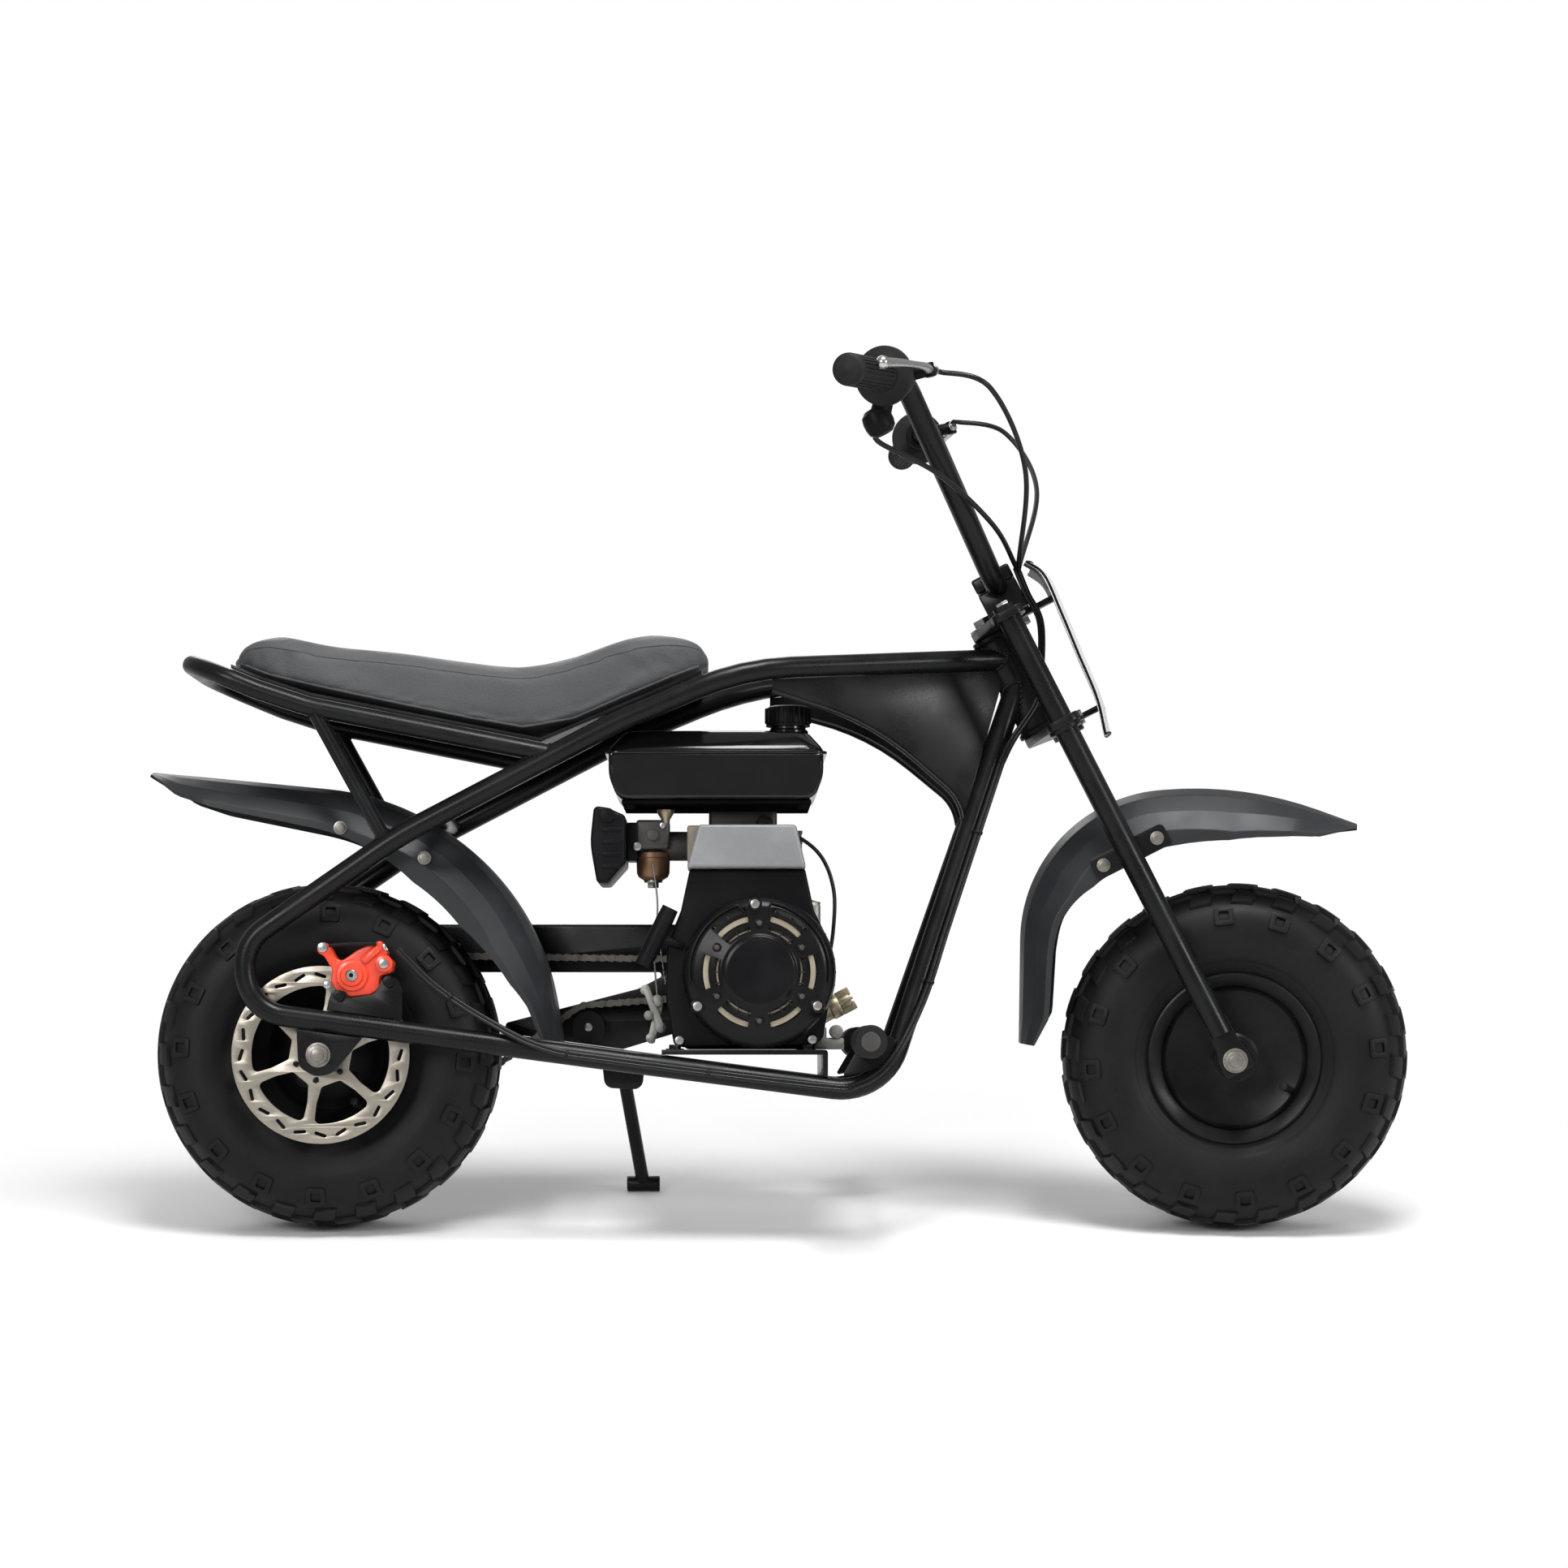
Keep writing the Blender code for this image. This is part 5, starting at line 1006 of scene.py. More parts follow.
@dataclass
class Chassis:
    """The welded tube frame with its head tube, panels, plates and lugs."""

    shop: Workshop
    tube_sides: int = 28
    seat_rail_radius: float = 0.0095
    strut_radius: float = 0.0075
    cross_radius: float = 0.008
    head_radius: float = 0.019
    head_half: float = 0.0557
    strut: tuple[Point, Point] = ((-0.006, HALF, 0.527), (0.068, HALF, 0.392))
    plate: float = 0.006

    def build(self) -> None:
        """Builds every piece of the frame."""
        self.rails()
        self.seat_rail()
        self.head_tube()
        self.cross_tubes()
        self.welds()
        self.side_panels()
        self.axle_plates()
        self.engine_plate()
        self.stand_lug()

    def rails(self) -> None:
        """The two bent main rails."""
        for side, name in SIDES:
            points = [(p.x, p.y * side, p.z) for p in rounded(RAIL)]
            self.shop.on_bike(f"{name}_rail", Shape().tube(points, RAIL_R, self.tube_sides), POWDER, f"{name}_rail")

    def seat_rail(self) -> None:
        """The hoop that carries the seat, with its struts."""
        shape = Shape().tube(rounded(SEAT_RAIL), self.seat_rail_radius, 24)
        for side in (LEFT, RIGHT):
            (ax, ay, az), (bx, by, bz) = self.strut
            shape.tube([(ax, ay * side, az), (bx, by * side, bz)], self.strut_radius, 20)
        self.shop.on_bike("seat_rail", shape, POWDER, "seat_rail")

    def head_place(self) -> Matrix:
        """The head tube's frame on the bike."""
        return Matrix.Translation(HEAD) @ Matrix.Rotation(-RAKE, 4, "Y")

    def head_tube(self) -> None:
        """The head tube with its pressed cups."""
        r, h = self.head_radius, self.head_half
        cup, lip = r + 0.003, 0.006
        half = [(0.0135, h), (cup - 0.0008, h), (cup, h - 0.0008), (cup, h - lip + 0.0015), (r + 0.0012, h - lip),
                (r, h - lip - 0.0012)]
        profile = half + [(radius, -height) for radius, height in reversed(half)]
        self.shop.on_bike("head_tube", Shape().turned(profile, self.head_place(), 56), POWDER, "head_tube")

    def cross_tubes(self) -> None:
        """The cross tubes under the rear fender and between the lower rails."""
        spots = {"fender_cross_tube": (0.1183, 0.4198, 0.0988), "rear_cross_tube": (0.262, rail_z(0.262), 0.0968),
                 "front_cross_tube": (FOOT_BEND_X - 0.046, rail_z(FOOT_BEND_X - 0.046), 0.0969)}
        for name, (x, z, half) in spots.items():
            shape = Shape().rod((x, -half, z), (x, half, z), self.cross_radius, 24)
            self.shop.on_bike(name, shape, POWDER, name)

    def welds(self) -> None:
        """Weld beads at the frame's joints."""
        shape = Shape()
        axis = Vector((-math.sin(RAKE), 0, math.cos(RAKE)))
        for side in (LEFT, RIGHT):
            for near, far in ((RAIL[0], RAIL[1]), (RAIL[8], RAIL[7])):
                start, end = (Vector((c[0], c[1] * side, c[2])) for c in (far, near))
                shape.saddle(start, end - start, RAIL_R, HEAD, axis, self.head_radius)
            top, foot = (Vector((x, y * side, z)) for x, y, z in self.strut)
            middle = (top + foot) / 2
            for a, b, wide in ((SEAT_RAIL[0], SEAT_RAIL[1], self.seat_rail_radius), (RAIL[3], RAIL[4], RAIL_R)):
                end = top if wide < RAIL_R else foot
                a, b = Vector((a[0], HALF * side, a[2])), Vector((b[0], HALF * side, b[2]))
                shape.saddle(middle, end - middle, self.strut_radius, a, b - a, wide, 0.0018)
            front = Vector((SEAT_RAIL[1][0], HALF * side, SEAT_RAIL[1][2]))
            tip = Vector((SEAT_RAIL[0][0], HALF * side, SEAT_RAIL[0][2]))
            a, b = Vector((RAIL[3][0], HALF * side, RAIL[3][2])), Vector((RAIL[2][0], HALF * side, RAIL[2][2]))
            shape.saddle(front, tip - front, self.seat_rail_radius, a, b - a, RAIL_R, 0.0018)
            for x, z in ((0.262, rail_z(0.262)), (FOOT_BEND_X - 0.046, rail_z(FOOT_BEND_X - 0.046))):
                a, b = Vector((RAIL[6][0], HALF * side, RAIL[6][2])), Vector((RAIL[7][0], HALF * side, RAIL[7][2]))
                shape.saddle((x, 0, z), (0, side, 0), self.cross_radius, a, b - a, RAIL_R, 0.0018)
        self.shop.on_bike("frame_welds", shape, POWDER)

    def side_panels(self) -> None:
        """The sheets between the top rails and the down tubes, with a rolled lower edge."""
        inset = RAIL_R + 0.0006
        top = Vector(RAIL[0][:3]), Vector(RAIL[1][:3])
        low, high = Vector(RAIL[7][:3]), Vector(RAIL[8][:3])
        share = (HEAD.x - 0.0453 - low.x) / (high.x - low.x)
        foot = low.lerp(high, share)
        normal = (top[1] - top[0]).cross(foot - top[0])
        down = Vector((high.x - low.x, 0, high.z - low.z)).normalized()
        across = Vector((top[1].x - top[0].x, 0, top[1].z - top[0].z)).normalized()
        back, under = Vector((-down.z, 0, down.x)), Vector((-across.z, 0, across.x))
        first = Vector((top[0].x, 0, top[0].z)) + under * inset
        last = Vector((foot.x, 0, foot.z)) + back * (inset + 0.001)
        corner = first + across * max(0.0, (last - first).dot(back) / across.dot(back))
        tip = first + across * (first.x - (TOP_BEND_X + 0.030))
        arch = [(tip.x, 0, tip.z - 0.012, 0), (HEAD.x - 0.1493, 0, 0.515, 0.26), (HEAD.x - 0.0613, 0, 0.440, 0.05),
                (last.x, 0, last.z - 0.012, 0)]
        lower = rounded(arch, math.radians(4))
        outline = [(corner.x, corner.z), (tip.x, tip.z)] + [(p.x, p.z) for p in lower]
        for side, name in SIDES:
            shape = Shape().slab([outline], -0.0010, 0.0010, 0.0004)
            shape.tube(lower, 0.0030, 12)
            for vertex in shape.mesh.verts:
                p = vertex.co
                p.y += top[0].y - (normal.x * (p.x - top[0].x) + normal.z * (p.z - top[0].z)) / normal.y
                p.y *= side
            bmesh.ops.recalc_face_normals(shape.mesh, faces=shape.mesh.faces)
            self.shop.on_bike(f"{name}_side_panel", shape, POWDER, f"{name}_side_panel")

    def axle_plates(self) -> None:
        """The plates under the lower rails that hold the rear axle."""
        z = Rig.AXLE_HEIGHT
        corners = [(-0.022, rail_z(-0.022) - RAIL_LIFT, 0.001), (-0.020, z - 0.012, 0.012), (0.0, z - 0.024, 0.016),
                   (0.020, z - 0.012, 0.012), (0.044, rail_z(0.044) - RAIL_LIFT, 0.001)]
        for side, name in SIDES:
            low, high = sorted((side * (HALF - self.plate / 2), side * (HALF + self.plate / 2)))
            shape = Shape().slab([soft_outline(corners), ring(0, z, 0.0073, 32)], low, high, 0.0006)
            self.shop.on_bike(f"{name}_axle_plate", shape, POWDER, f"{name}_axle_plate")

    def engine_plate(self) -> None:
        """The folded plate that carries the engine, with the bolts that hold it."""
        top, rear, front = 0.1832, 0.345, 0.512
        base = rail_z(front) + RAIL_R + 0.0006
        outline = [(rear, top), (front - 0.003, top), (front - 0.0008, top - 0.0008), (front, top - 0.003),
                   (front, base), (front - 0.005, base), (front - 0.005, top - 0.005), (rear, top - 0.005)]
        shape = Shape().slab([outline], -0.112, 0.112, 0.0006)
        for x in (0.357, 0.492):
            for side in (LEFT, RIGHT):
                shape.bolt((x, side * 0.100, top), (0, 0, 1), 0.0055, 0.004)
        self.shop.on_bike("engine_plate", shape, POWDER, "engine_plate")

    def stand_lug(self) -> None:
        """The side stand's lug and pivot bolt."""
        x = 0.300
        z, y = rail_z(x), HALF + RAIL_R + 0.0003
        pivot = Vector((x, y + 0.0200, z - 0.018))
        reach = (pivot.y - y - 0.0025) / Stand.AXIS.y
        corners = [(x - 0.024, z + 0.008, 0.003), (x - 0.020, z - 0.030, 0.010), (x + 0.020, z - 0.032, 0.010),
                   (x + 0.024, z + 0.006, 0.003)]
        shape = Shape().slab([soft_outline(corners)], y, y + 0.005, 0.0006)
        shape.rod(pivot - Stand.AXIS * reach, pivot + Stand.AXIS * 0.0134, 0.0037, 24)
        shape.bolt(pivot + Stand.AXIS * 0.0080, Stand.AXIS, 0.0066, 0.0040, washer=False)
        self.shop.on_bike("stand_lug", shape, POWDER, "stand_lug")


@dataclass
class Fender:
    """A moulded fender with a raised crown, creases and skirts that deepen towards its middle."""

    shop: Workshop
    name: str
    path: Sequence[Point]
    skirt: Sequence[tuple[float, float]]
    tip_at_end: bool
    bolts: Sequence[tuple[float, float]]
    section: tuple[tuple[float, float], ...] = ((0, 0), (0.030, 0.0), (0.050, 0.007), (0.066, 0.023), (0.078, 0.042),
                                                (0.078, 0.050))
    wall: float = 0.003
    tip: float = 0.060
    rows: int = 84

    REAR_SKIRT = ((0, 0.005), (0.053, 0.024), (0.116, 0.032), (0.30, 0.043), (0.56, 0.062), (0.71, 0.060),
                  (0.80, 0.050), (0.875, 0.040), (0.93, 0.027), (1, 0.019))
    FRONT_SKIRT = ((0, 0.018), (0.05, 0.032), (0.17, 0.035), (0.25, 0.041), (0.37, 0.058), (0.47, 0.065),
                   (0.60, 0.060), (0.76, 0.051), (0.86, 0.039), (0.94, 0.026), (1, 0.005))

    def build(self) -> None:
        """Builds the fender from sections along its crown."""
        path = spaced(rounded(self.path, math.radians(3)), self.rows)
        total = sum((b - a).length for a, b in zip(path, path[1:]))
        radii = (0, 0.020, 0.006, 0.005, 0.004, 0)
        half = rounded([(y, 0, drop, r) for (y, drop), r in zip(self.section, radii)], math.radians(6))
        columns = [(-p.x, p.z) for p in reversed(half[1:])] + [(p.x, p.z) for p in half]
        sections = []
        for i, spot in enumerate(path):
            run = total * i / (self.rows - 1)
            out = self.out(path, i)
            depth = self.depth(run / total)
            narrow = 0.72 + 0.28 * min(1.0, (total - run if self.tip_at_end else run) / self.tip)
            sections.append([spot + Vector((0, y * narrow, 0)) - out * self.fall(drop, depth) for y, drop in columns])
        shape = Shape().skin(sections, closed=False)
        centre = path[self.rows // 2]
        middle = min(shape.mesh.faces, key=lambda f: (f.calc_center_median() - centre).length)
        outward = middle.normal.dot(self.out(path, self.rows // 2)) > 0
        bmesh.ops.solidify(shape.mesh, geom=shape.mesh.faces[:], thickness=self.wall if outward else -self.wall)
        bmesh.ops.recalc_face_normals(shape.mesh, faces=shape.mesh.faces)
        place = self.shop.on_bike if self.name == "rear_fender" else self.shop.on_fork
        place(self.name, shape, FENDER, self.name)
        if not self.bolts:
            return
        heads = Shape()
        for x, z in self.bolts:
            for side in (LEFT, RIGHT):
                heads.bolt((x, side * 0.0783, z), (0, side, 0), 0.0048, 0.0030, sides=20)
        place(f"{self.name}_bolts", heads, DULL_STEEL)

    def out(self, path: Sequence[Vector], i: int) -> Vector:
        """The outward direction at a point of the crown."""
        along = (path[min(i + 1, self.rows - 1)] - path[max(i - 1, 0)]).normalized()
        return Vector((-along.z, 0, along.x))

    def depth(self, share: float) -> float:
        """The skirt's depth at a share of the crown's length."""
        low, high = next((a, b) for a, b in zip(self.skirt, self.skirt[1:]) if share <= b[0] + 1e-9)
        return low[1] + (high[1] - low[1]) * (share - low[0]) / (high[0] - low[0])

    def fall(self, drop: float, depth: float) -> float:
        """A section point's drop where the skirt has a given depth."""
        knee, full = self.section[-2][1], self.section[-1][1]
        scale = min(1.0, depth / full)
        return drop * scale if drop <= knee else knee * scale + (depth - knee * scale) * (drop - knee) / (full - knee)


class Row(Enum):
    """The tread's rows of blocks: place from the crown, width, length share and offset round the tyre."""

    CENTRE = (0.0105, 0.0170, 0.62, 0.0)
    INNER = (0.0325, 0.0190, 0.58, 0.5)
    SHOULDER = (0.0535, 0.0170, 0.54, 0.0)


@dataclass
class Tyre:
    """A fat knobby tyre about the Y axis."""

    shop: Workshop
    name: str
    place: Matrix
    body: str
    pitches: int = 24
    lug: float = 0.0035
    rings: int = 16
    ring_radius: float = 0.1447
    ring_size: float = 0.0195
    ring_hole: float = 0.0098
    ring_height: float = 0.0028
    turn: float = 0.0
    radius: float = 0.1775
    half: float = 0.0718
    lug_half: float = 0.0716
    skew: float = 0.16
    side: tuple[tuple[float, float], ...] = ((0.0, 0.1738), (0.013, 0.1732), (0.040, 0.1682), (0.0575, 0.158),
                                             (0.0665, 0.143), (0.0687, 0.124), (0.0640, 0.105), (0.0560, 0.0905),
                                             (0.0525, 0.0800))

    def profile(self) -> list[Vector]:
        """The outside from crown to bead as x across and z out."""
        return flowing([(w, 0, r) for w, r in self.side], 90)

    def build(self) -> None:
        """Builds the carcass and its blocks."""
        outside = self.profile()
        half = [(p.z, p.x) for p in outside]
        ribbed = [(r + 0.0007 * sum(math.exp(-((r - at) / 0.0011) ** 2) for at in (0.0985, 0.117, 0.1205)), w)
                  for r, w in half]
        bead = [(0.0783, 0.0525), (0.0783, 0.0482), (0.090, 0.0500), (0.115, 0.0600), (0.156, 0.0430)]
        one = ribbed + bead
        profile = [(r, w) for r, w in one] + [(r, -w) for r, w in reversed(one)][:-1]
        shape = Shape().turned(profile, ALONG_Y, 96)
        for side in (LEFT, RIGHT):
            for row in Row:
                self.blocks(shape, outside, row, side)
            self.hollow_lugs(shape, outside, side)
        self.shop.piece(self.name, shape, self.place, self.body, TREAD, (self.name,))

    def hollow_lugs(self, shape: Shape, outside: list[Vector], side: int) -> None:
        """Adds one side's ring of hollow square lugs on the sidewall."""
        middle = min(range(len(outside)),
                     key=lambda j: abs(outside[j].z - self.ring_radius) if outside[j].z > 0.1 else 1.0)
        slope = (outside[middle + 1] - outside[middle - 1]).normalized()
        out = Vector((-slope.z, 0, slope.x))
        corner = self.ring_size / 2
        hole = self.ring_hole / 2
        outlines = [soft_outline([(x * corner, z * corner, 0.0026) for x, z in ((-1, -1), (1, -1), (1, 1), (-1, 1))]),
                    soft_outline([(x * hole, z * hole, 0.0016) for x, z in ((-1, -1), (1, -1), (1, 1), (-1, 1))])]
        for k in range(self.rings):
            lug = Shape().slab(outlines, -0.0016, self.ring_height, 0.0005, segments=1)
            for vertex in lug.mesh.verts:
                u, h, v = vertex.co
                spot = outside[middle] + slope * v + out * (h - 0.3 * v * v / self.ring_size * 0.5)
                angle = math.tau * (k + self.turn) / self.rings + u / self.ring_radius
                vertex.co = polar(spot.z, angle, min(spot.x, self.lug_half) * side)
            shape.take(lug.mesh)

    def blocks(self, shape: Shape, outside: list[Vector], row: Row, side: int) -> None:
        """Adds one side of one row of blocks."""
        middle, width, share, offset = row.value
        step = math.tau / self.pitches
        base = bmesh.new()
        bmesh.ops.create_cube(base, size=1.0)
        bmesh.ops.subdivide_edges(base, edges=[e for e in base.edges if abs(e.verts[0].co.y - e.verts[1].co.y) > 0.5],
                                  cuts=3)
        bmesh.ops.subdivide_edges(base, edges=[e for e in base.edges if abs(e.verts[0].co.x - e.verts[1].co.x) > 0.5],
                                  cuts=2)
        data = bpy.data.meshes.new("block")
        base.to_mesh(data)
        base.free()
        lengths = [0.0]
        for a, b in zip(outside, outside[1:]):
            lengths.append(lengths[-1] + (b - a).length)
        for k in range(self.pitches):
            part = bmesh.new()
            part.from_mesh(data)
            for vertex in part.verts:
                u, v, h = vertex.co
                inset = 0.90 if h > 0 else 1.06
                reach = min(max(middle + v * width * inset, 0.0005), lengths[-1])
                j = next(j for j in range(len(lengths) - 1) if lengths[j + 1] >= reach)
                run = (reach - lengths[j]) / (lengths[j + 1] - lengths[j])
                spot = outside[j].lerp(outside[j + 1], run)
                slope = (outside[j + 1] - outside[j]).normalized()
                spot = spot + Vector((-slope.z, 0, slope.x)) * (self.lug if h > 0 else -0.0010)
                spot.z = min(spot.z, self.radius)
                angle = step * (k + offset + (u * inset + self.skew * v * (1 if row is not Row.INNER else -1)) * share)
                vertex.co = polar(spot.z, angle, min(spot.x, self.half) * side)
            shape.take(part)
        bpy.data.meshes.remove(data)


@dataclass
class Rim:
    """A pressed steel rim with its dished disc, hub and hub bolts, about the Y axis."""

    shop: Workshop
    name: str
    place: Matrix
    body: str
    right: float
    left: float
    plain: bool = False
    seat: float = 0.0771
    hub: float = 0.022
    bore: float = 0.0073
    bolt_circle: float = 0.036

    def build(self) -> None:
        """Turns the rim and adds its bolts and valve; a plain rim has a flat disc near its outer face and no bolts."""
        b, hub = self.seat, self.hub
        half = [(0.0645, 0.034), (b - 0.001, 0.043), (b, 0.046), (b, 0.052), (b + 0.002, 0.0545), (0.0852, 0.0562),
                (0.0868, 0.0580), (0.0868, 0.0594), (0.0850, 0.0600), (b + 0.001, 0.0572), (b - 0.003, 0.0545),
                (b - 0.0033, 0.047), (0.0635, 0.0365), (0.0605, 0.0335)]
        right = [(r, -w) for r, w in half]
        dish = [(0.0585, -0.009), (0.0565, -0.0065), (0.048, -0.0080), (0.040, -0.0120), (hub + 0.004, -0.0140),
                (hub, -0.0155)]
        back = [(hub, -0.0080), (0.040, -0.0070), (0.048, -0.0030), (0.0565, -0.0010), (0.0590, 0.0030)]
        if self.plain:
            right = right[:-2]
            dish = [(0.0716, -0.0478), (0.0700, -0.0462), (0.0680, -0.0450), (0.0300, -0.0420),
                    (hub + 0.003, -0.0420), (hub, -0.0440)]
            back = [(hub, -0.0385), (0.0400, -0.0388), (0.0560, -0.0380), (0.0605, -0.0340)]
        profile = [(self.bore, -self.right), (hub - 0.001, -self.right), (hub, -self.right + 0.001), *reversed(dish),
                   *reversed(right), *half, *reversed(back), (hub, self.left - 0.001), (hub - 0.001, self.left),
                   (self.bore, self.left)]
        shape = Shape().turned(profile, ALONG_Y, 96)
        for k in range(0 if self.plain else 4):
            angle = math.tau * (k + 0.5) / 4
            shape.bolt(polar(self.bolt_circle, angle, -0.0125), (0, -1, 0), 0.0058, 0.0045)
        self.shop.piece(self.name, shape, self.place, self.body, BLACK_STEEL, (self.name,))
        angle = math.radians(-57)
        spot = Vector(polar(0.066, angle, -0.046 if self.plain else -0.040))
        stem = Shape().rod(spot, spot + Vector(polar(-0.006, angle, -0.012)), 0.0036, 16, tip=0.0030)
        stem.rod(spot + Vector(polar(-0.005, angle, -0.010)), spot + Vector(polar(-0.010, angle, -0.019)), 0.0042, 16,
                 0.0008)
        self.shop.piece(f"{self.body}_valve", stem, self.place, self.body, SOFT_RUBBER)


@dataclass
class RearWheel:
    """The rear wheel's brake rotor, carrier and sprocket, about the Y axis."""

    shop: Workshop
    rotor_y: float = -0.087
    half: float = 0.002
    radius: float = 0.090
    teeth: int = 70
    sprocket_y: float = 0.0855

    def build(self) -> None:
        """Builds the rotor and the sprocket."""
        self.rotor()
        self.sprocket()

    def rotor(self) -> None:
        """The slotted six-spoke rotor on its carrier."""
        outlines = [ring(0, 0, self.radius, 120), ring(0, 0, 0.016, 40)]
        out = 0.0697
        for k in range(6):
            middle = math.radians(50 + 60 * k)
            wide = math.radians(30) - math.asin(0.0058 / out)
            corners = [(out, middle - wide + 2 * wide * i / 8, 0.0052 if i in (0, 8) else 0.0) for i in range(9)]
            corners += [(r, middle + sign * (math.radians(30) - math.asin(half / r)), soft)
                        for sign, run in ((1, ((0.050, 0.0047, 0.020), (0.0325, 0.0068, 0.004))),
                                          (-1, ((0.0325, 0.0068, 0.004), (0.050, 0.0047, 0.020))))
                        for r, half, soft in run]
            outlines.append(soft_outline([(r * math.cos(a), r * math.sin(a), soft) for r, a, soft in corners]))
        for k in range(24):
            angle = math.tau * k / 24
            way = angle + math.radians(90 + (18 if k % 2 else -18))
            at = Vector(polar(0.0805, angle))
            reach = Vector(polar(0.0046, way))
            outlines.append(self.slot(at - reach, at + reach, 0.0017))
        shape = Shape().slab(outlines, self.rotor_y - self.half, self.rotor_y + self.half, 0.0004)
        place = self.shop.rig.rear_wheel
        self.shop.piece("brake_rotor", shape, place, "rear_wheel", CHAMPAGNE, ("brake_rotor",))
        face = self.rotor_y - self.half
        carrier = Shape().turned([(0.0073, face - 0.008), (0.0150, face - 0.008), (0.0160, face - 0.007),
                                  (0.0185, face - 0.0035), (0.0200, face - 0.0020), (0.0210, face - 0.0001),
                                  (0.0073, face - 0.0001)], ALONG_Y,
                                 64)
        for k in range(6):
            angle = math.radians(20 + 60 * k)
            carrier.bolt(polar(0.0262, angle, face), (0, -1, 0), 0.0032, 0.0024, washer=False)
        self.shop.piece("rotor_carrier", carrier, place, "rear_wheel", BLACK_STEEL)

    @staticmethod
    def slot(a: Vector, b: Vector, half: float) -> Outline:
        """A round-ended slot between two points."""
        way = (b - a).normalized()
        turn = math.atan2(way.z, way.x)
        arcs = [(b, turn - math.pi / 2), (a, turn + math.pi / 2)]
        return [(c.x + half * math.cos(t + math.pi * i / 6), c.z + half * math.sin(t + math.pi * i / 6))
                for c, t in arcs for i in range(7)]

    def sprocket(self) -> None:
        """The toothed sprocket with lightening holes and its bolts."""
        tip = Chain.pitch_radius(self.teeth) - Chain.HALF_HEIGHT - 0.0008
        outline = []
        for k in range(self.teeth):
            for share, radius in ((-0.16, tip - 0.0006), (0.0, tip), (0.16, tip - 0.0006), (0.36, tip - 0.0028),
                                  (0.5, tip - 0.0034), (0.64, tip - 0.0028)):
                angle = math.tau * (k + share) / self.teeth
                outline.append((radius * math.cos(angle), radius * math.sin(angle)))
        holes = [ring(0.066 * math.cos(math.tau * k / 8), 0.066 * math.sin(math.tau * k / 8), 0.0155, 32)
                 for k in range(8)]
        shape = Shape().slab([outline, ring(0, 0, 0.016, 40), *holes], self.sprocket_y - 0.002,
                             self.sprocket_y + 0.002, 0.0003)
        for k in range(4):
            angle = math.tau * (k + 0.5) / 4
            shape.bolt(polar(Rim.bolt_circle, angle, self.sprocket_y + 0.002), (0, 1, 0), 0.0055, 0.0035)
        self.shop.piece("rear_sprocket", shape, self.shop.rig.rear_wheel, "rear_wheel", BLACK_STEEL, ("rear_sprocket",))


@dataclass
class Axles:
    """Both wheels' axles with their heads and nuts."""

    shop: Workshop

    def build(self) -> None:
        """Builds both axles."""
        spots = {"rear_axle": (self.shop.rig.bike @ Matrix.Translation((0, 0, Rig.AXLE_HEIGHT)), "frame", 0.1083),
                 "front_axle": (self.shop.rig.fork @ Matrix.Translation((FORK_OFFSET, 0, -FORK_DROP)), "fork", 0.0958)}
        for name, (place, body, seat) in spots.items():
            shape = Shape().rod((0, -seat - 0.0100, 0), (0, seat + 0.0100, 0), 0.0066, 32, 0.0010)
            for side in (LEFT, RIGHT):
                shape.rod((0, side * seat, 0), (0, side * (seat + 0.0080), 0), 0.0113, 6, 0.0008)
                shape.rod((0, side * seat, 0), (0, side * (seat + 0.0018), 0), 0.0126, 32, 0.0005)
            self.shop.piece(name, shape, place, body, DULL_STEEL, (name,))


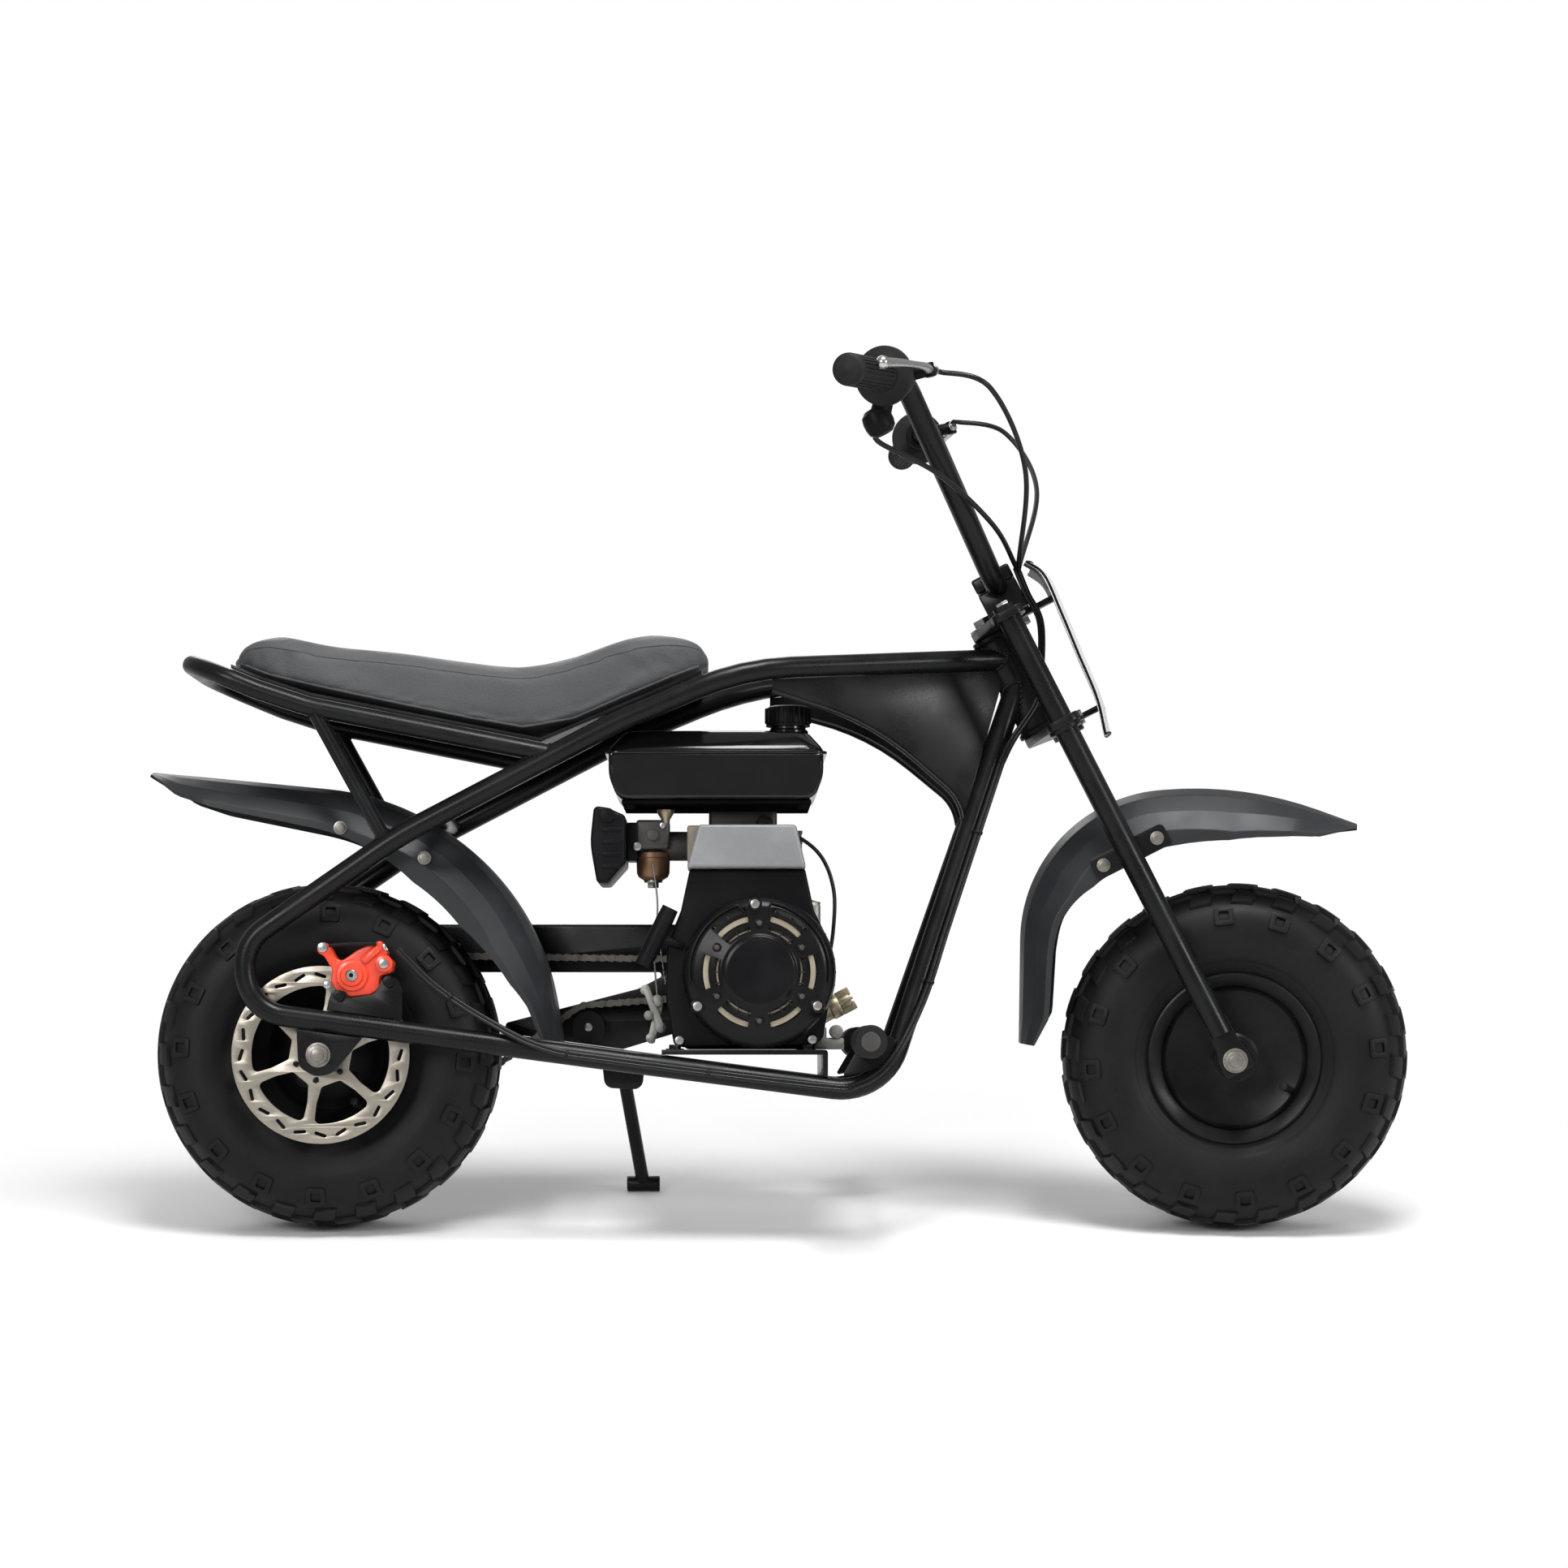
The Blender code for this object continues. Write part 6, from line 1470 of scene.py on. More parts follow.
@dataclass
class Chain:
    """The drive side: roller chain, tensioner wheel, clutch drum and guard."""

    shop: Workshop
    y: float = 0.0855
    idler: tuple[float, float, float] = (0.264, 0.207, 0.018)
    crank: tuple[float, float] = (0.443, 0.261)
    front_teeth: int = 11

    PITCH = 0.009525
    HALF_HEIGHT = 0.0043

    def build(self) -> None:
        """Builds the drive."""
        self.chain()
        self.tensioner()
        self.clutch()
        self.guard()

    @staticmethod
    def pitch_radius(teeth: int) -> float:
        """The radius of the chain's middle line round a sprocket."""
        return Chain.PITCH / 2 / math.sin(math.pi / teeth)

    def wheels(self) -> list[tuple[float, float, float]]:
        """The wheels that the chain runs round: x, z and signed radius of its middle line."""
        rear, front = self.pitch_radius(RearWheel.teeth), self.pitch_radius(self.front_teeth)
        x, z, radius = self.idler
        return [(0.0, Rig.AXLE_HEIGHT, rear), (x, z, -(radius + self.HALF_HEIGHT + 0.0012)), (*self.crank, front)]

    def run(self, count: int) -> list[Vector]:
        """Evenly spaced points round the wheels."""
        wheels = self.wheels()
        touches = []
        for (ax, az, ar), (bx, bz, br) in zip(wheels, wheels[1:] + wheels[:1]):
            gap = Vector((bx - ax, bz - az))
            along = gap.normalized()
            lean = (ar - br) / gap.length
            normal = along * lean + Vector((along.y, -along.x)) * math.sqrt(1 - lean * lean)
            touches.append((Vector((ax, az)) + normal * ar, Vector((bx, bz)) + normal * br))
        path = []
        for i, (x, z, radius) in enumerate(wheels):
            arrive, leave = touches[i - 1][1], touches[i][0]
            first = math.atan2(arrive.y - z, arrive.x - x)
            last = math.atan2(leave.y - z, leave.x - x)
            sweep = (last - first) % math.tau if radius > 0 else -((first - last) % math.tau)
            steps = max(3, round(abs(sweep) / math.radians(3)))
            path += [Vector((x + abs(radius) * math.cos(first + sweep * k / steps), self.y,
                             z + abs(radius) * math.sin(first + sweep * k / steps)))
                     for k in range(steps + 1)]
        path.append(path[0])
        return spaced(path, count + 1)[:-1]

    def chain(self) -> None:
        """Inner and outer links with their rollers and pins."""
        rough = self.run(400)
        length = sum((b - a).length for a, b in zip(rough, rough[1:] + rough[:1]))
        pins = self.run(2 * round(length / self.PITCH / 2))
        inner, outer, rollers = [], [], []
        for i, (a, b) in enumerate(zip(pins, pins[1:] + pins[:1])):
            way = (b - a).normalized()
            turn = Matrix((way, (0, 1, 0), way.cross(Vector((0, 1, 0))))).transposed().to_4x4()
            turn.translation = a
            (inner if i % 2 else outer).append(turn)
            rollers.append(turn)
        link = [(0.0, 0.0), (self.PITCH, 0.0)]
        outline = []
        for (x, z), start in zip(reversed(link), (-math.pi / 2, math.pi / 2)):
            outline += [(x + 0.0040 * math.cos(start + math.pi * k / 6),
                         z + 0.0040 * math.sin(start + math.pi * k / 6)) for k in range(7)]
            outline.append(((x + self.PITCH / 2) / 2 if x else self.PITCH / 4 + 0.001,
                            0.0028 if start < 0 else -0.0028))
        plates = Shape()
        for low, places in ((0.0020, inner), (0.0030, outer)):
            one = Shape()
            for side in (LEFT, RIGHT):
                a, b = sorted((side * low, side * (low + 0.0008)))
                one.slab([outline], a, b, 0.0002, segments=0)
            one.copies(places)
            plates.take(one.mesh, turn_out=False)
        one = Shape().rod((0, -0.0020, 0), (0, 0.0020, 0), 0.0030, 10, 0)
        one.rod((0, -0.0040, 0), (0, 0.0040, 0), 0.0015, 8, 0)
        one.copies(rollers)
        plates.take(one.mesh, turn_out=False)
        self.shop.on_bike("chain", plates, CHAIN_STEEL, "chain")

    def tensioner(self) -> None:
        """The roller that lifts the lower run, on its stub."""
        x, z, radius = self.idler
        y = self.y
        place = Matrix.Translation((x, 0, z)) @ ALONG_Y
        shape = Shape().turned([(0.0045, y - 0.006), (radius - 0.001, y - 0.006), (radius, y - 0.005),
                                (radius, y - 0.0040), (radius - 0.0012, y - 0.0030), (radius - 0.0012, y + 0.0025),
                                (radius, y + 0.0035), (radius, y + 0.0045), (radius - 0.001, y + 0.0055),
                                (0.0045, y + 0.0055)], place, 56)
        self.shop.on_bike("chain_tensioner", shape, SOFT_RUBBER, "chain_tensioner")
        pin = Shape().rod((x, y - 0.006, z), (x, 0.1010, z), 0.0044, 20)
        pin.bolt((x, y + 0.0056, z), (0, 1, 0), 0.0062, 0.0035, washer=False)
        self.shop.on_bike("tensioner_bolt", pin, ZINC)

    def clutch(self) -> None:
        """The clutch drum with its vent holes, sprocket and crankshaft end."""
        x, z = self.crank
        place = Matrix.Translation((x, 0, z))
        low, high = 0.0603, 0.118
        tip = self.pitch_radius(self.front_teeth) - self.HALF_HEIGHT - 0.0008
        drum = Shape().turned([(0.0098, 0.0925), (0.0370, 0.0925), (0.0380, 0.0935), (0.0380, 0.1110),
                               (0.0370, 0.1120), (0.0345, 0.1120), (0.0340, 0.1135), (0.0130, 0.1138),
                               (0.0120, 0.1128), (0.0098, 0.1128)], place @ ALONG_Y, 72)
        holes = Shape()
        for k in range(6):
            angle = math.tau * k / 6
            holes.rod(polar(0.0235, angle, 0.1085, self.crank), polar(0.0235, angle, 0.1200, self.crank), 0.0048, 24, 0)
        drum.cut(holes)
        self.shop.on_bike("clutch", drum, CHAIN_STEEL, "clutch")
        shaft = Shape().rod((x, low, z), (x, high, z), 0.0097, 32, 0.0010)
        shaft.bolt((x, 0.1138, z), (0, 1, 0), 0.0075, 0.0032, washer=False)
        self.shop.on_bike("crankshaft_end", shaft, ZINC)
        teeth = []
        for k in range(self.front_teeth):
            for share, radius in ((-0.18, tip - 0.0005), (0.0, tip), (0.18, tip - 0.0005), (0.5, tip - 0.0035)):
                angle = math.tau * (k + share) / self.front_teeth
                teeth.append((radius * math.cos(angle), radius * math.sin(angle)))
        gear = Shape().slab([teeth, ring(0, 0, 0.0098, 24)], self.y - 0.0018, self.y + 0.0018, 0.0003, place)
        gear.turned([(0.0098, 0.0765), (0.0105, 0.0765), (0.0105, 0.0924), (0.0098, 0.0924)], place @ ALONG_Y, 32)
        self.shop.on_bike("clutch_sprocket", gear, CHAIN_STEEL)

    def guard(self) -> None:
        """The chain guard outside the chain, with its bolts."""
        corners = [(0.085, 0.3165, 0.004), (0.395, 0.3165, 0.02), (0.520, 0.312, 0.05), (0.520, 0.215, 0.05),
                   (0.400, 0.214, 0.02), (0.300, rail_z(0.300) + RAIL_LIFT, 0.001),
                   (0.172, rail_z(0.172) + RAIL_LIFT, 0.001), (0.176, 0.212, 0.004), (0.316, 0.248, 0.02),
                   (0.350, 0.2655, 0.003), (0.085, 0.2655, 0.004)]
        shape = Shape().slab([soft_outline(corners, math.radians(6)), ring(*self.crank, 0.0425, 72)], 0.1015, 0.1045,
                             0.0008)
        groove = [(0.110, 0.3070), (0.395, 0.3070), (0.395, 0.3040), (0.110, 0.3040)]
        shape.slab([groove], 0.1030, 0.1054, 0.0010)
        self.shop.on_bike("chain_guard", shape, POWDER, "chain_guard")
        bolts = Shape()
        for x, z in ((0.105, 0.290), (0.385, 0.232), (0.500, 0.290)):
            bolts.bolt((x, 0.1045, z), (0, 1, 0), 0.0050, 0.0035)
        self.shop.on_bike("guard_bolts", bolts, ZINC)


@dataclass
class Engine:
    """The air-cooled engine with its shrouds, starter, tank, intake and muffler."""

    shop: Workshop
    base: float = 0.1835
    case_top: float = 0.335
    crank: tuple[float, float] = Chain.crank
    fan_outline: tuple[tuple[float, float, float], ...] = (
        (0.3730, 0.3652, 0.002), (0.4895, 0.3652, 0.002), (0.4985, 0.3232, 0.015), (0.5150, 0.2900, 0.02),
        (0.5160, 0.2450, 0.03), (0.5075, 0.1950, 0.010), (0.4985, 0.1868, 0.006), (0.3665, 0.1855, 0.008),
        (0.3570, 0.1880, 0.006), (0.3490, 0.2353, 0.03), (0.3500, 0.2890, 0.02), (0.3640, 0.3232, 0.015))

    def build(self) -> None:
        """Builds the whole engine."""
        self.case()
        self.cylinder()
        self.shrouds()
        self.recoil()
        self.tank()
        self.intake()
        self.linkage()
        self.muffler()

    def case(self) -> None:
        """The cast crankcase with its ribs, a black strap, a foot and the oil plug."""
        shape = Shape().box((0.366, -0.060, self.base), (0.506, 0.060, self.case_top), 0.006, 4)
        for side in (LEFT, RIGHT):
            for x in (0.390, 0.415, 0.471, 0.490):
                shape.box((x - 0.002, side * 0.0585 - 0.0012, self.base + 0.012),
                          (x + 0.002, side * 0.0585 + 0.0012, self.case_top - 0.012), 0.0008)
        self.shop.on_bike("engine_case", shape, CAST, "engine_case")
        strap = Shape().box((0.499, -0.030, 0.192), (0.5085, 0.020, 0.206), 0.003)
        strap.box((0.499, 0.010, 0.190), (0.5070, 0.055, 0.300), 0.003)
        self.shop.on_bike("case_strap", strap, BLACK_PLASTIC)
        foot = Shape().box((0.4990, -0.0620, self.base), (0.5300, -0.0360, self.base + 0.0120), 0.0025)
        foot.rod((0.5220, -0.0640, self.base + 0.0180), (0.5220, -0.0400, self.base + 0.0180), 0.0070, 24, 0.0012)
        foot.box((0.5020, -0.0600, self.base + 0.0100), (0.5120, -0.0400, self.base + 0.0230), 0.0020)
        self.shop.on_bike("case_foot", foot, CAST)
        plug = Shape()
        start, end = Vector((0.500, -0.030, 0.216)), Vector((0.541, -0.030, 0.238))
        way = (end - start).normalized()
        plug.rod(start, start + way * 0.020, 0.0105, 32, 0.001)
        plug.rod(start + way * 0.018, start + way * 0.030, 0.0120, 36, 0.0022)
        for k in range(4):
            turn = Matrix.Rotation(math.tau * k / 4, 4, "Z")
            plug.box((0.0035, -0.0016, 0.0), (0.0122, 0.0016, 0.0155), 0.0010,
                     place=between(start + way * 0.029, end + way * 0.029) @ turn)
        plug.rod(start + way * 0.028, start + way * 0.0420, 0.0070, 24, 0.0015)
        self.shop.on_bike("oil_plug", plug, BRASS)

    def cylinder(self) -> None:
        """The finned cylinder and its head cover."""
        shape = Shape().box((0.402, -0.030, self.case_top + 0.0003), (0.474, 0.036, 0.411), 0.003)
        z = self.case_top + 0.006
        while z + 0.0035 < 0.411:
            shape.box((0.388, -0.042, z), (0.488, 0.048, z + 0.0035), 0.0012, 2)
            z += 0.0105
        shape.box((0.392, -0.034, 0.409), (0.462, 0.038, 0.4362), 0.005, 3)
        for x in (0.398, 0.456):
            for side in (-0.028, 0.032):
                shape.rod((x, side, 0.4060), (x, side, 0.4361), 0.0055, 20, 0.0008)
        self.shop.on_bike("cylinder", shape, DARK_CAST, "cylinder")
        spark = Shape().rod((0.440, -0.030, 0.398), (0.4475, -0.0455, 0.4120), 0.0068, 24, 0.0015)
        spark.rod((0.4475, -0.0455, 0.4120), (0.4500, -0.0545, 0.4160), 0.0085, 24, 0.0025)
        self.shop.on_bike("spark_cap", spark, SOFT_RUBBER)

    def shrouds(self) -> None:
        """The grey shroud over the fins and the black fan housing with its bolts."""
        top = Shape().slab([soft_outline([(0.3820, 0.4095, 0.004), (0.4800, 0.4095, 0.004), (0.4895, 0.3695, 0.004),
                                          (0.4895, 0.3656, 0.0005), (0.3710, 0.3656, 0.0005),
                                          (0.3710, 0.3695, 0.003)])], -0.1100, -0.0480,
                           0.0035, segments=4)
        self.shop.on_bike("shroud_top", top, SHROUD, "shroud_top")
        fan = Shape().slab([soft_outline(self.fan_outline, math.radians(6))], -0.0960, -0.0603, 0.0030, segments=4)
        for x, z in ((0.3625, 0.1925), (0.4965, 0.1935)):
            fan.rod((x, -0.0940, z), (x, -0.0985, z), 0.0058, 28, 0.0010)
        self.shop.on_bike("fan_housing", fan, BLACK_PLASTIC, "fan_housing")
        bolts = Shape()
        for x, z in ((0.3625, 0.1925), (0.4965, 0.1935)):
            bolts.screw((x, -0.0985, z), 0.0044, 0.0030)
        self.shop.on_bike("fan_bolts", bolts, ZINC)

    def recoil(self) -> None:
        """The domed starter cover with six sectors of curved slots, its centre disc, screws and handle."""
        x, z = self.crank
        face, back, outer = -0.1303, -0.0963, 0.0775
        place = Matrix.Translation((x, 0, z)) @ ALONG_Y
        wall = 0.0030
        skin = [(0.0, face), (0.0345, face), (0.0360, face + 0.0008), (0.0372, face + 0.0024),
                (0.0385, face + 0.0030), (0.0640, face + 0.0068), (0.0670, face + 0.0078), (0.0735, face + 0.0130),
                (0.0762, face + 0.0170), (outer, back)]
        inside = [(outer - wall, back), (0.0762 - wall, face + 0.0180 + wall * 0.5),
                  (0.0710, face + 0.0150 + wall * 0.5), (0.0640, face + 0.0078 + wall),
                  (0.0385, face + 0.0032 + wall), (0.0, face + 0.0030 + wall)]
        cover = Shape().turned(skin + inside, place, 144)
        slots = Shape()
        for low, high, groups in ((0.0400, 0.0460, range(6)), (0.0500, 0.0580, range(6)), (0.0612, 0.0662, (1, 2))):
            for k in groups:
                middle, half = math.radians(60 * k), math.radians(18)
                arc = [(low, middle - half + 2 * half * i / 10, 0.0022 if i in (0, 10) else 0.0) for i in range(11)]
                arc += [(high, middle + half - 2 * half * i / 10, 0.0022 if i in (0, 10) else 0.0) for i in range(11)]
                outline = soft_outline([(x + r * math.cos(a), z + r * math.sin(a), soften) for r, a, soften in arc])
                slots.slab([outline], face - 0.006, face + 0.024, 0.0002, segments=0)
        cover.cut(slots)
        for k in range(6):
            angle = math.radians(30 + 60 * k)
            cover.rod(polar(0.0490, angle, face + 0.0080, self.crank),
                      polar(0.0490, angle, face + 0.0028, self.crank), 0.0046, 28, 0.0008)
        for k in range(36):
            angle = math.tau * k / 36
            turn = Matrix.Translation(polar(0.0765, angle, back - 0.0075, self.crank)) @ Matrix.Rotation(-angle, 4, "Y")
            cover.box((-0.0010, -0.0070, -0.0010), (0.0008, 0.0070, 0.0010), 0.0004, 1, turn)
        ears = ((0.4386, 0.3290), (0.3811, 0.2267), (0.5011, 0.2271))
        for bx, bz in ears:
            cover.rod((bx, face + 0.0150, bz), (bx, face + 0.0060, bz), 0.0072, 32, 0.0012)
        rib = [polar(0.0702, math.radians(a), face + 0.0082, self.crank) for a in range(-8, 81, 4)]
        rib += [(0.4500, face + 0.0080, 0.3215), (0.4386, face + 0.0078, 0.3145), (0.4270, face + 0.0080, 0.3215)]
        rib += [polar(0.0702, math.radians(a), face + 0.0082, self.crank) for a in range(108, 190, 4)]
        cover.tube(rib, 0.0014, 12)
        self.shop.on_bike("recoil_cover", cover, STARTER, "recoil_cover")
        inner = Shape().turned([(0.0, face + 0.0150), (0.0660, face + 0.0150), (0.0660, face + 0.0165),
                                (0.0, face + 0.0165)], place, 72)
        for k in range(24):
            turn = Matrix.Translation((x, 0, z)) @ Matrix.Rotation(math.tau * k / 24, 4, "Y")
            inner.box((0.040, face + 0.0095, -0.0008), (0.064, face + 0.0155, 0.0008), 0.0003, 1, turn)
        self.shop.on_bike("starter_wheel", inner, DARK_CAST)
        drum = Shape().turned([(0.0512, face + 0.0078), (0.0564, face + 0.0078), (0.0564, face + 0.0140),
                               (0.0512, face + 0.0140)], place, 96)
        drum.turned([(0.0415, face + 0.0098), (0.0432, face + 0.0098), (0.0432, face + 0.0140),
                     (0.0415, face + 0.0140)], place, 96)
        self.shop.on_bike("starter_drum", drum, CREAM)
        screws = Shape()
        for k in range(6):
            angle = math.radians(30 + 60 * k)
            screws.screw(polar(0.0490, angle, face + 0.0028, self.crank), 0.0026, 0.0014, 16)
        self.shop.on_bike("starter_screws", screws, DARK_CAST)
        bolts = Shape()
        for bx, bz in ears:
            bolts.screw((bx, face + 0.0060, bz), 0.0046, 0.0030)
        self.shop.on_bike("starter_bolts", bolts, ZINC)
        disc = Shape().turned([(0.0, face - 0.0002), (0.0318, face - 0.0002), (0.0326, face + 0.0004),
                               (0.0326, face + 0.0014), (0.0, face + 0.0014)], place, 96)
        self.shop.on_bike("starter_disc", disc, BLACK_PLASTIC)
        start, end = Vector((0.326, -0.106, 0.268)), Vector((0.354, -0.106, 0.326))
        way = (end - start).normalized()
        handle = Shape().tube([start + way * (0.0638 * k / 20) for k in range(21)], 0.0090, 24,
                              lambda t: 0.80 + 0.20 * math.sin(math.pi * min(1.0, max(0.0, 0.12 + 0.76 * t))) ** 0.5)
        for k in range(4):
            handle.rod(start + way * (0.012 + 0.012 * k), start + way * (0.0145 + 0.012 * k), 0.00905, 28, 0.0006)
        middle = (start + end) / 2
        handle.rod(middle, (0.3660, -0.100, middle.z - 0.0095), 0.0040, 20, 0.0006)
        self.shop.on_bike("recoil_handle", handle, BLACK_PLASTIC, "recoil_handle")

    def tank(self) -> None:
        """The pressed fuel tank with its seam, neck and ribbed cap, on its mount."""
        low, neck = 0.4365, Matrix.Translation((0.473, -0.045, 0))
        corners = [(0.2910, 0.4836, 0.001), (0.5080, 0.4836, 0.001), (0.5080, 0.4600, 0.040), (0.4990, low, 0.014),
                   (0.3000, low, 0.014), (0.2910, 0.4600, 0.040)]
        shape = Shape().slab([soft_outline(corners, math.radians(10))], -0.0925, 0.0720, 0.0040, segments=4)
        loops = []
        for inset, z in ((0.0, 0.4836), (0.0006, 0.4872), (0.0030, 0.4910), (0.0130, 0.5030), (0.0165, 0.5055),
                         (0.0210, 0.5068)):
            outline = soft_outline([(0.2905 + inset, -0.0925 + inset, 0.018), (0.5085 - inset, -0.0925 + inset, 0.018),
                                    (0.5085 - inset, 0.0720 - inset, 0.018), (0.2905 + inset, 0.0720 - inset, 0.018)])
            loops.append([(px, py, z) for px, py in outline])
        shape.skin(loops)
        seam = soft_outline([(0.2872, 0.0758, 0.014), (0.5118, 0.0758, 0.014), (0.5118, -0.0934, 0.014),
                             (0.2872, -0.0934, 0.014)])
        shape.slab([seam], -0.4852, -0.4820, 0.0010, ALONG_Y)
        shape.turned([(0.0, 0.500), (0.0205, 0.500), (0.0205, 0.5085), (0.0180, 0.5105), (0.0180, 0.5130),
                      (0.0, 0.5130)], neck, 48)
        self.shop.on_bike("fuel_tank", shape, TANK, "fuel_tank")
        mount = Shape().box((0.3040, -0.0840, low - 0.0046), (0.4960, 0.0640, low - 0.0001), 0.0010)
        for x in (0.312, 0.488):
            mount.rod((x, -0.0760, low - 0.0100), (x, -0.0760, low - 0.0040), 0.0060, 20, 0.0010)
        mount.box((0.3860, -0.0520, low - 0.0100), (0.4700, -0.0440, low - 0.0040), 0.0020)
        self.shop.on_bike("tank_mount", mount, MATT)
        cap = Shape().turned([(0.0, 0.534), (0.0185, 0.534), (0.0205, 0.5328), (0.0218, 0.5300), (0.0218, 0.5160),
                              (0.0225, 0.5150), (0.0225, 0.5133), (0.0, 0.5133)], neck, 72)
        rib = Shape().box((0.0212, -0.0011, 0.5162), (0.0237, 0.0011, 0.5318), 0.0006, 1)
        rib.copies([neck @ Matrix.Rotation(math.tau * k / 24, 4, "Z") for k in range(24)])
        cap.take(rib.mesh, turn_out=False)
        self.shop.on_bike("tank_cap", cap, BLACK_PLASTIC, "tank_cap")

    def intake(self) -> None:
        """The carburettor, its insulator, bronze float bowl and the air filter box."""
        m = -0.030
        body = Shape().rod((0.3200, m, 0.392), (0.3720, m, 0.392), 0.0150, 40, 0.001)
        body.rod((0.3300, m, 0.392), (0.3400, m, 0.392), 0.0168, 40, 0.001)
        body.box((0.3180, m - 0.0240, 0.3875), (0.3520, m + 0.0180, 0.4178), 0.003, 3)
        body.rod((0.335, m - 0.0235, 0.402), (0.335, m - 0.0300, 0.402), 0.0060, 24)
        self.shop.on_bike("carburettor", body, DARK_CAST, "carburettor")
        trim = Shape().screw((0.3190, m - 0.0240, 0.3905), 0.0044, 0.0030, 16)
        trim.screw((0.345, m - 0.0240, 0.4120), 0.0030, 0.0025, 16)
        self.shop.on_bike("carburettor_screws", trim, ALLOY)
        tap = Shape().turned([(0.0, 0.0), (0.0040, 0.0), (0.0045, 0.0050), (0.0088, 0.0120), (0.0088, 0.0150),
                              (0.0, 0.0150)],
                             Matrix.Translation((0.3480, m - 0.0200, 0.4130)), 36)
        self.shop.on_bike("fuel_tap", tap, BRASS)
        gasket = Shape().box((0.3700, m - 0.0260, 0.3740), (0.3874, m + 0.0230, 0.4120), 0.0025, 3)
        self.shop.on_bike("insulator", gasket, CREAM)
        flange = Shape().box((0.3082, m - 0.0250, 0.3760), (0.3195, m + 0.0200, 0.4150), 0.0020, 2)
        self.shop.on_bike("filter_flange", flange, BLACK_PLASTIC)
        bowl = Shape().turned([(0.0, 0.3858), (0.0165, 0.3858), (0.0183, 0.3846), (0.0183, 0.3800), (0.0172, 0.3788),
                               (0.0168, 0.3640), (0.0150, 0.3600), (0.0090, 0.3562),
                               (0.0, 0.3558)], Matrix.Translation((0.335, m - 0.004, 0)), 56)
        self.shop.on_bike("float_bowl", bowl, BRONZE, "float_bowl")
        nut = Shape().bolt((0.335, m - 0.004, 0.3560), (0, 0, -1), 0.0065, 0.0055)
        self.shop.on_bike("bowl_nut", nut, ZINC)
        corners = [(0.276, 0.430, 0.005), (0.290, 0.428, 0.005), (0.308, 0.420, 0.005), (0.308, 0.372, 0.006),
                   (0.290, 0.352, 0.005), (0.279, 0.352, 0.004), (0.272, 0.392, 0.08)]
        air = Shape().slab([soft_outline(corners, math.radians(8))], -0.0880, 0.0300, 0.0040, segments=4)
        for k in range(5):
            z = 0.366 + 0.0125 * k
            air.box((0.2845, -0.0888, z), (0.3035, -0.0870, z + 0.0045), 0.0008)
        air.rod((0.290, -0.0880, 0.4200), (0.290, -0.0905, 0.4200), 0.0075, 28, 0.0008)
        self.shop.on_bike("air_filter", air, BLACK_PLASTIC, "air_filter")

    def linkage(self) -> None:
        """The governor's small arms, studs, spring and rod beside the case, and the spark plug's wire."""
        studs = Shape()
        for x, y, z, size, long in ((0.3275, -0.066, 0.2440, 0.0052, 0.012), (0.3400, -0.070, 0.2330, 0.0060, 0.010),
                                    (0.3310, -0.072, 0.2180, 0.0048, 0.014), (0.3430, -0.066, 0.2060, 0.0056, 0.010),
                                    (0.3330, -0.068, 0.1950, 0.0050, 0.012)):
            studs.rod((x, y + long, z), (x, y, z), size, 20, 0.0012)
            studs.bolt((x, y, z), (0, -1, 0), size * 0.7, 0.0030, washer=False)
        studs.slab([soft_outline([(0.3240, 0.2480, 0.003), (0.3310, 0.2490, 0.003), (0.3470, 0.2070, 0.003),
                                  (0.3400, 0.2030, 0.003)])], -0.0700, -0.0680, 0.0004)
        studs.slab([soft_outline([(0.3290, 0.1900, 0.003), (0.3370, 0.1890, 0.003), (0.3470, 0.2360, 0.003),
                                  (0.3400, 0.2390, 0.003)])], -0.0650, -0.0630, 0.0004)
        self.shop.on_bike("governor_arms", studs, CAST)
        rod = Shape().tube(flowing([(0.3400, -0.0690, 0.2330), (0.3370, -0.0700, 0.2800), (0.3400, -0.0640, 0.3300),
                                    (0.3350, -0.0600, 0.3720)], 24), 0.0010, 8)
        turns = 90
        rod.tube([(0.3480 - 0.0080 * t / turns, -0.0600 + 0.0028 * math.cos(t * 0.9),
                   0.2500 + 0.0560 * t / turns + 0.0028 * math.sin(t * 0.9))
                  for t in range(turns + 1)], 0.0005, 6)
        self.shop.on_bike("governor_rod", rod, ZINC)
        wire = Shape().tube(flowing([(0.4500, -0.0545, 0.4130), (0.4850, -0.0560, 0.3990), (0.5080, -0.0560, 0.3780),
                                     (0.5195, -0.0560, 0.3450), (0.5190, -0.0560, 0.3060),
                                     (0.5140, -0.0500, 0.2720)], 48), 0.0020, 12)
        self.shop.on_bike("spark_wire", wire, CABLE)

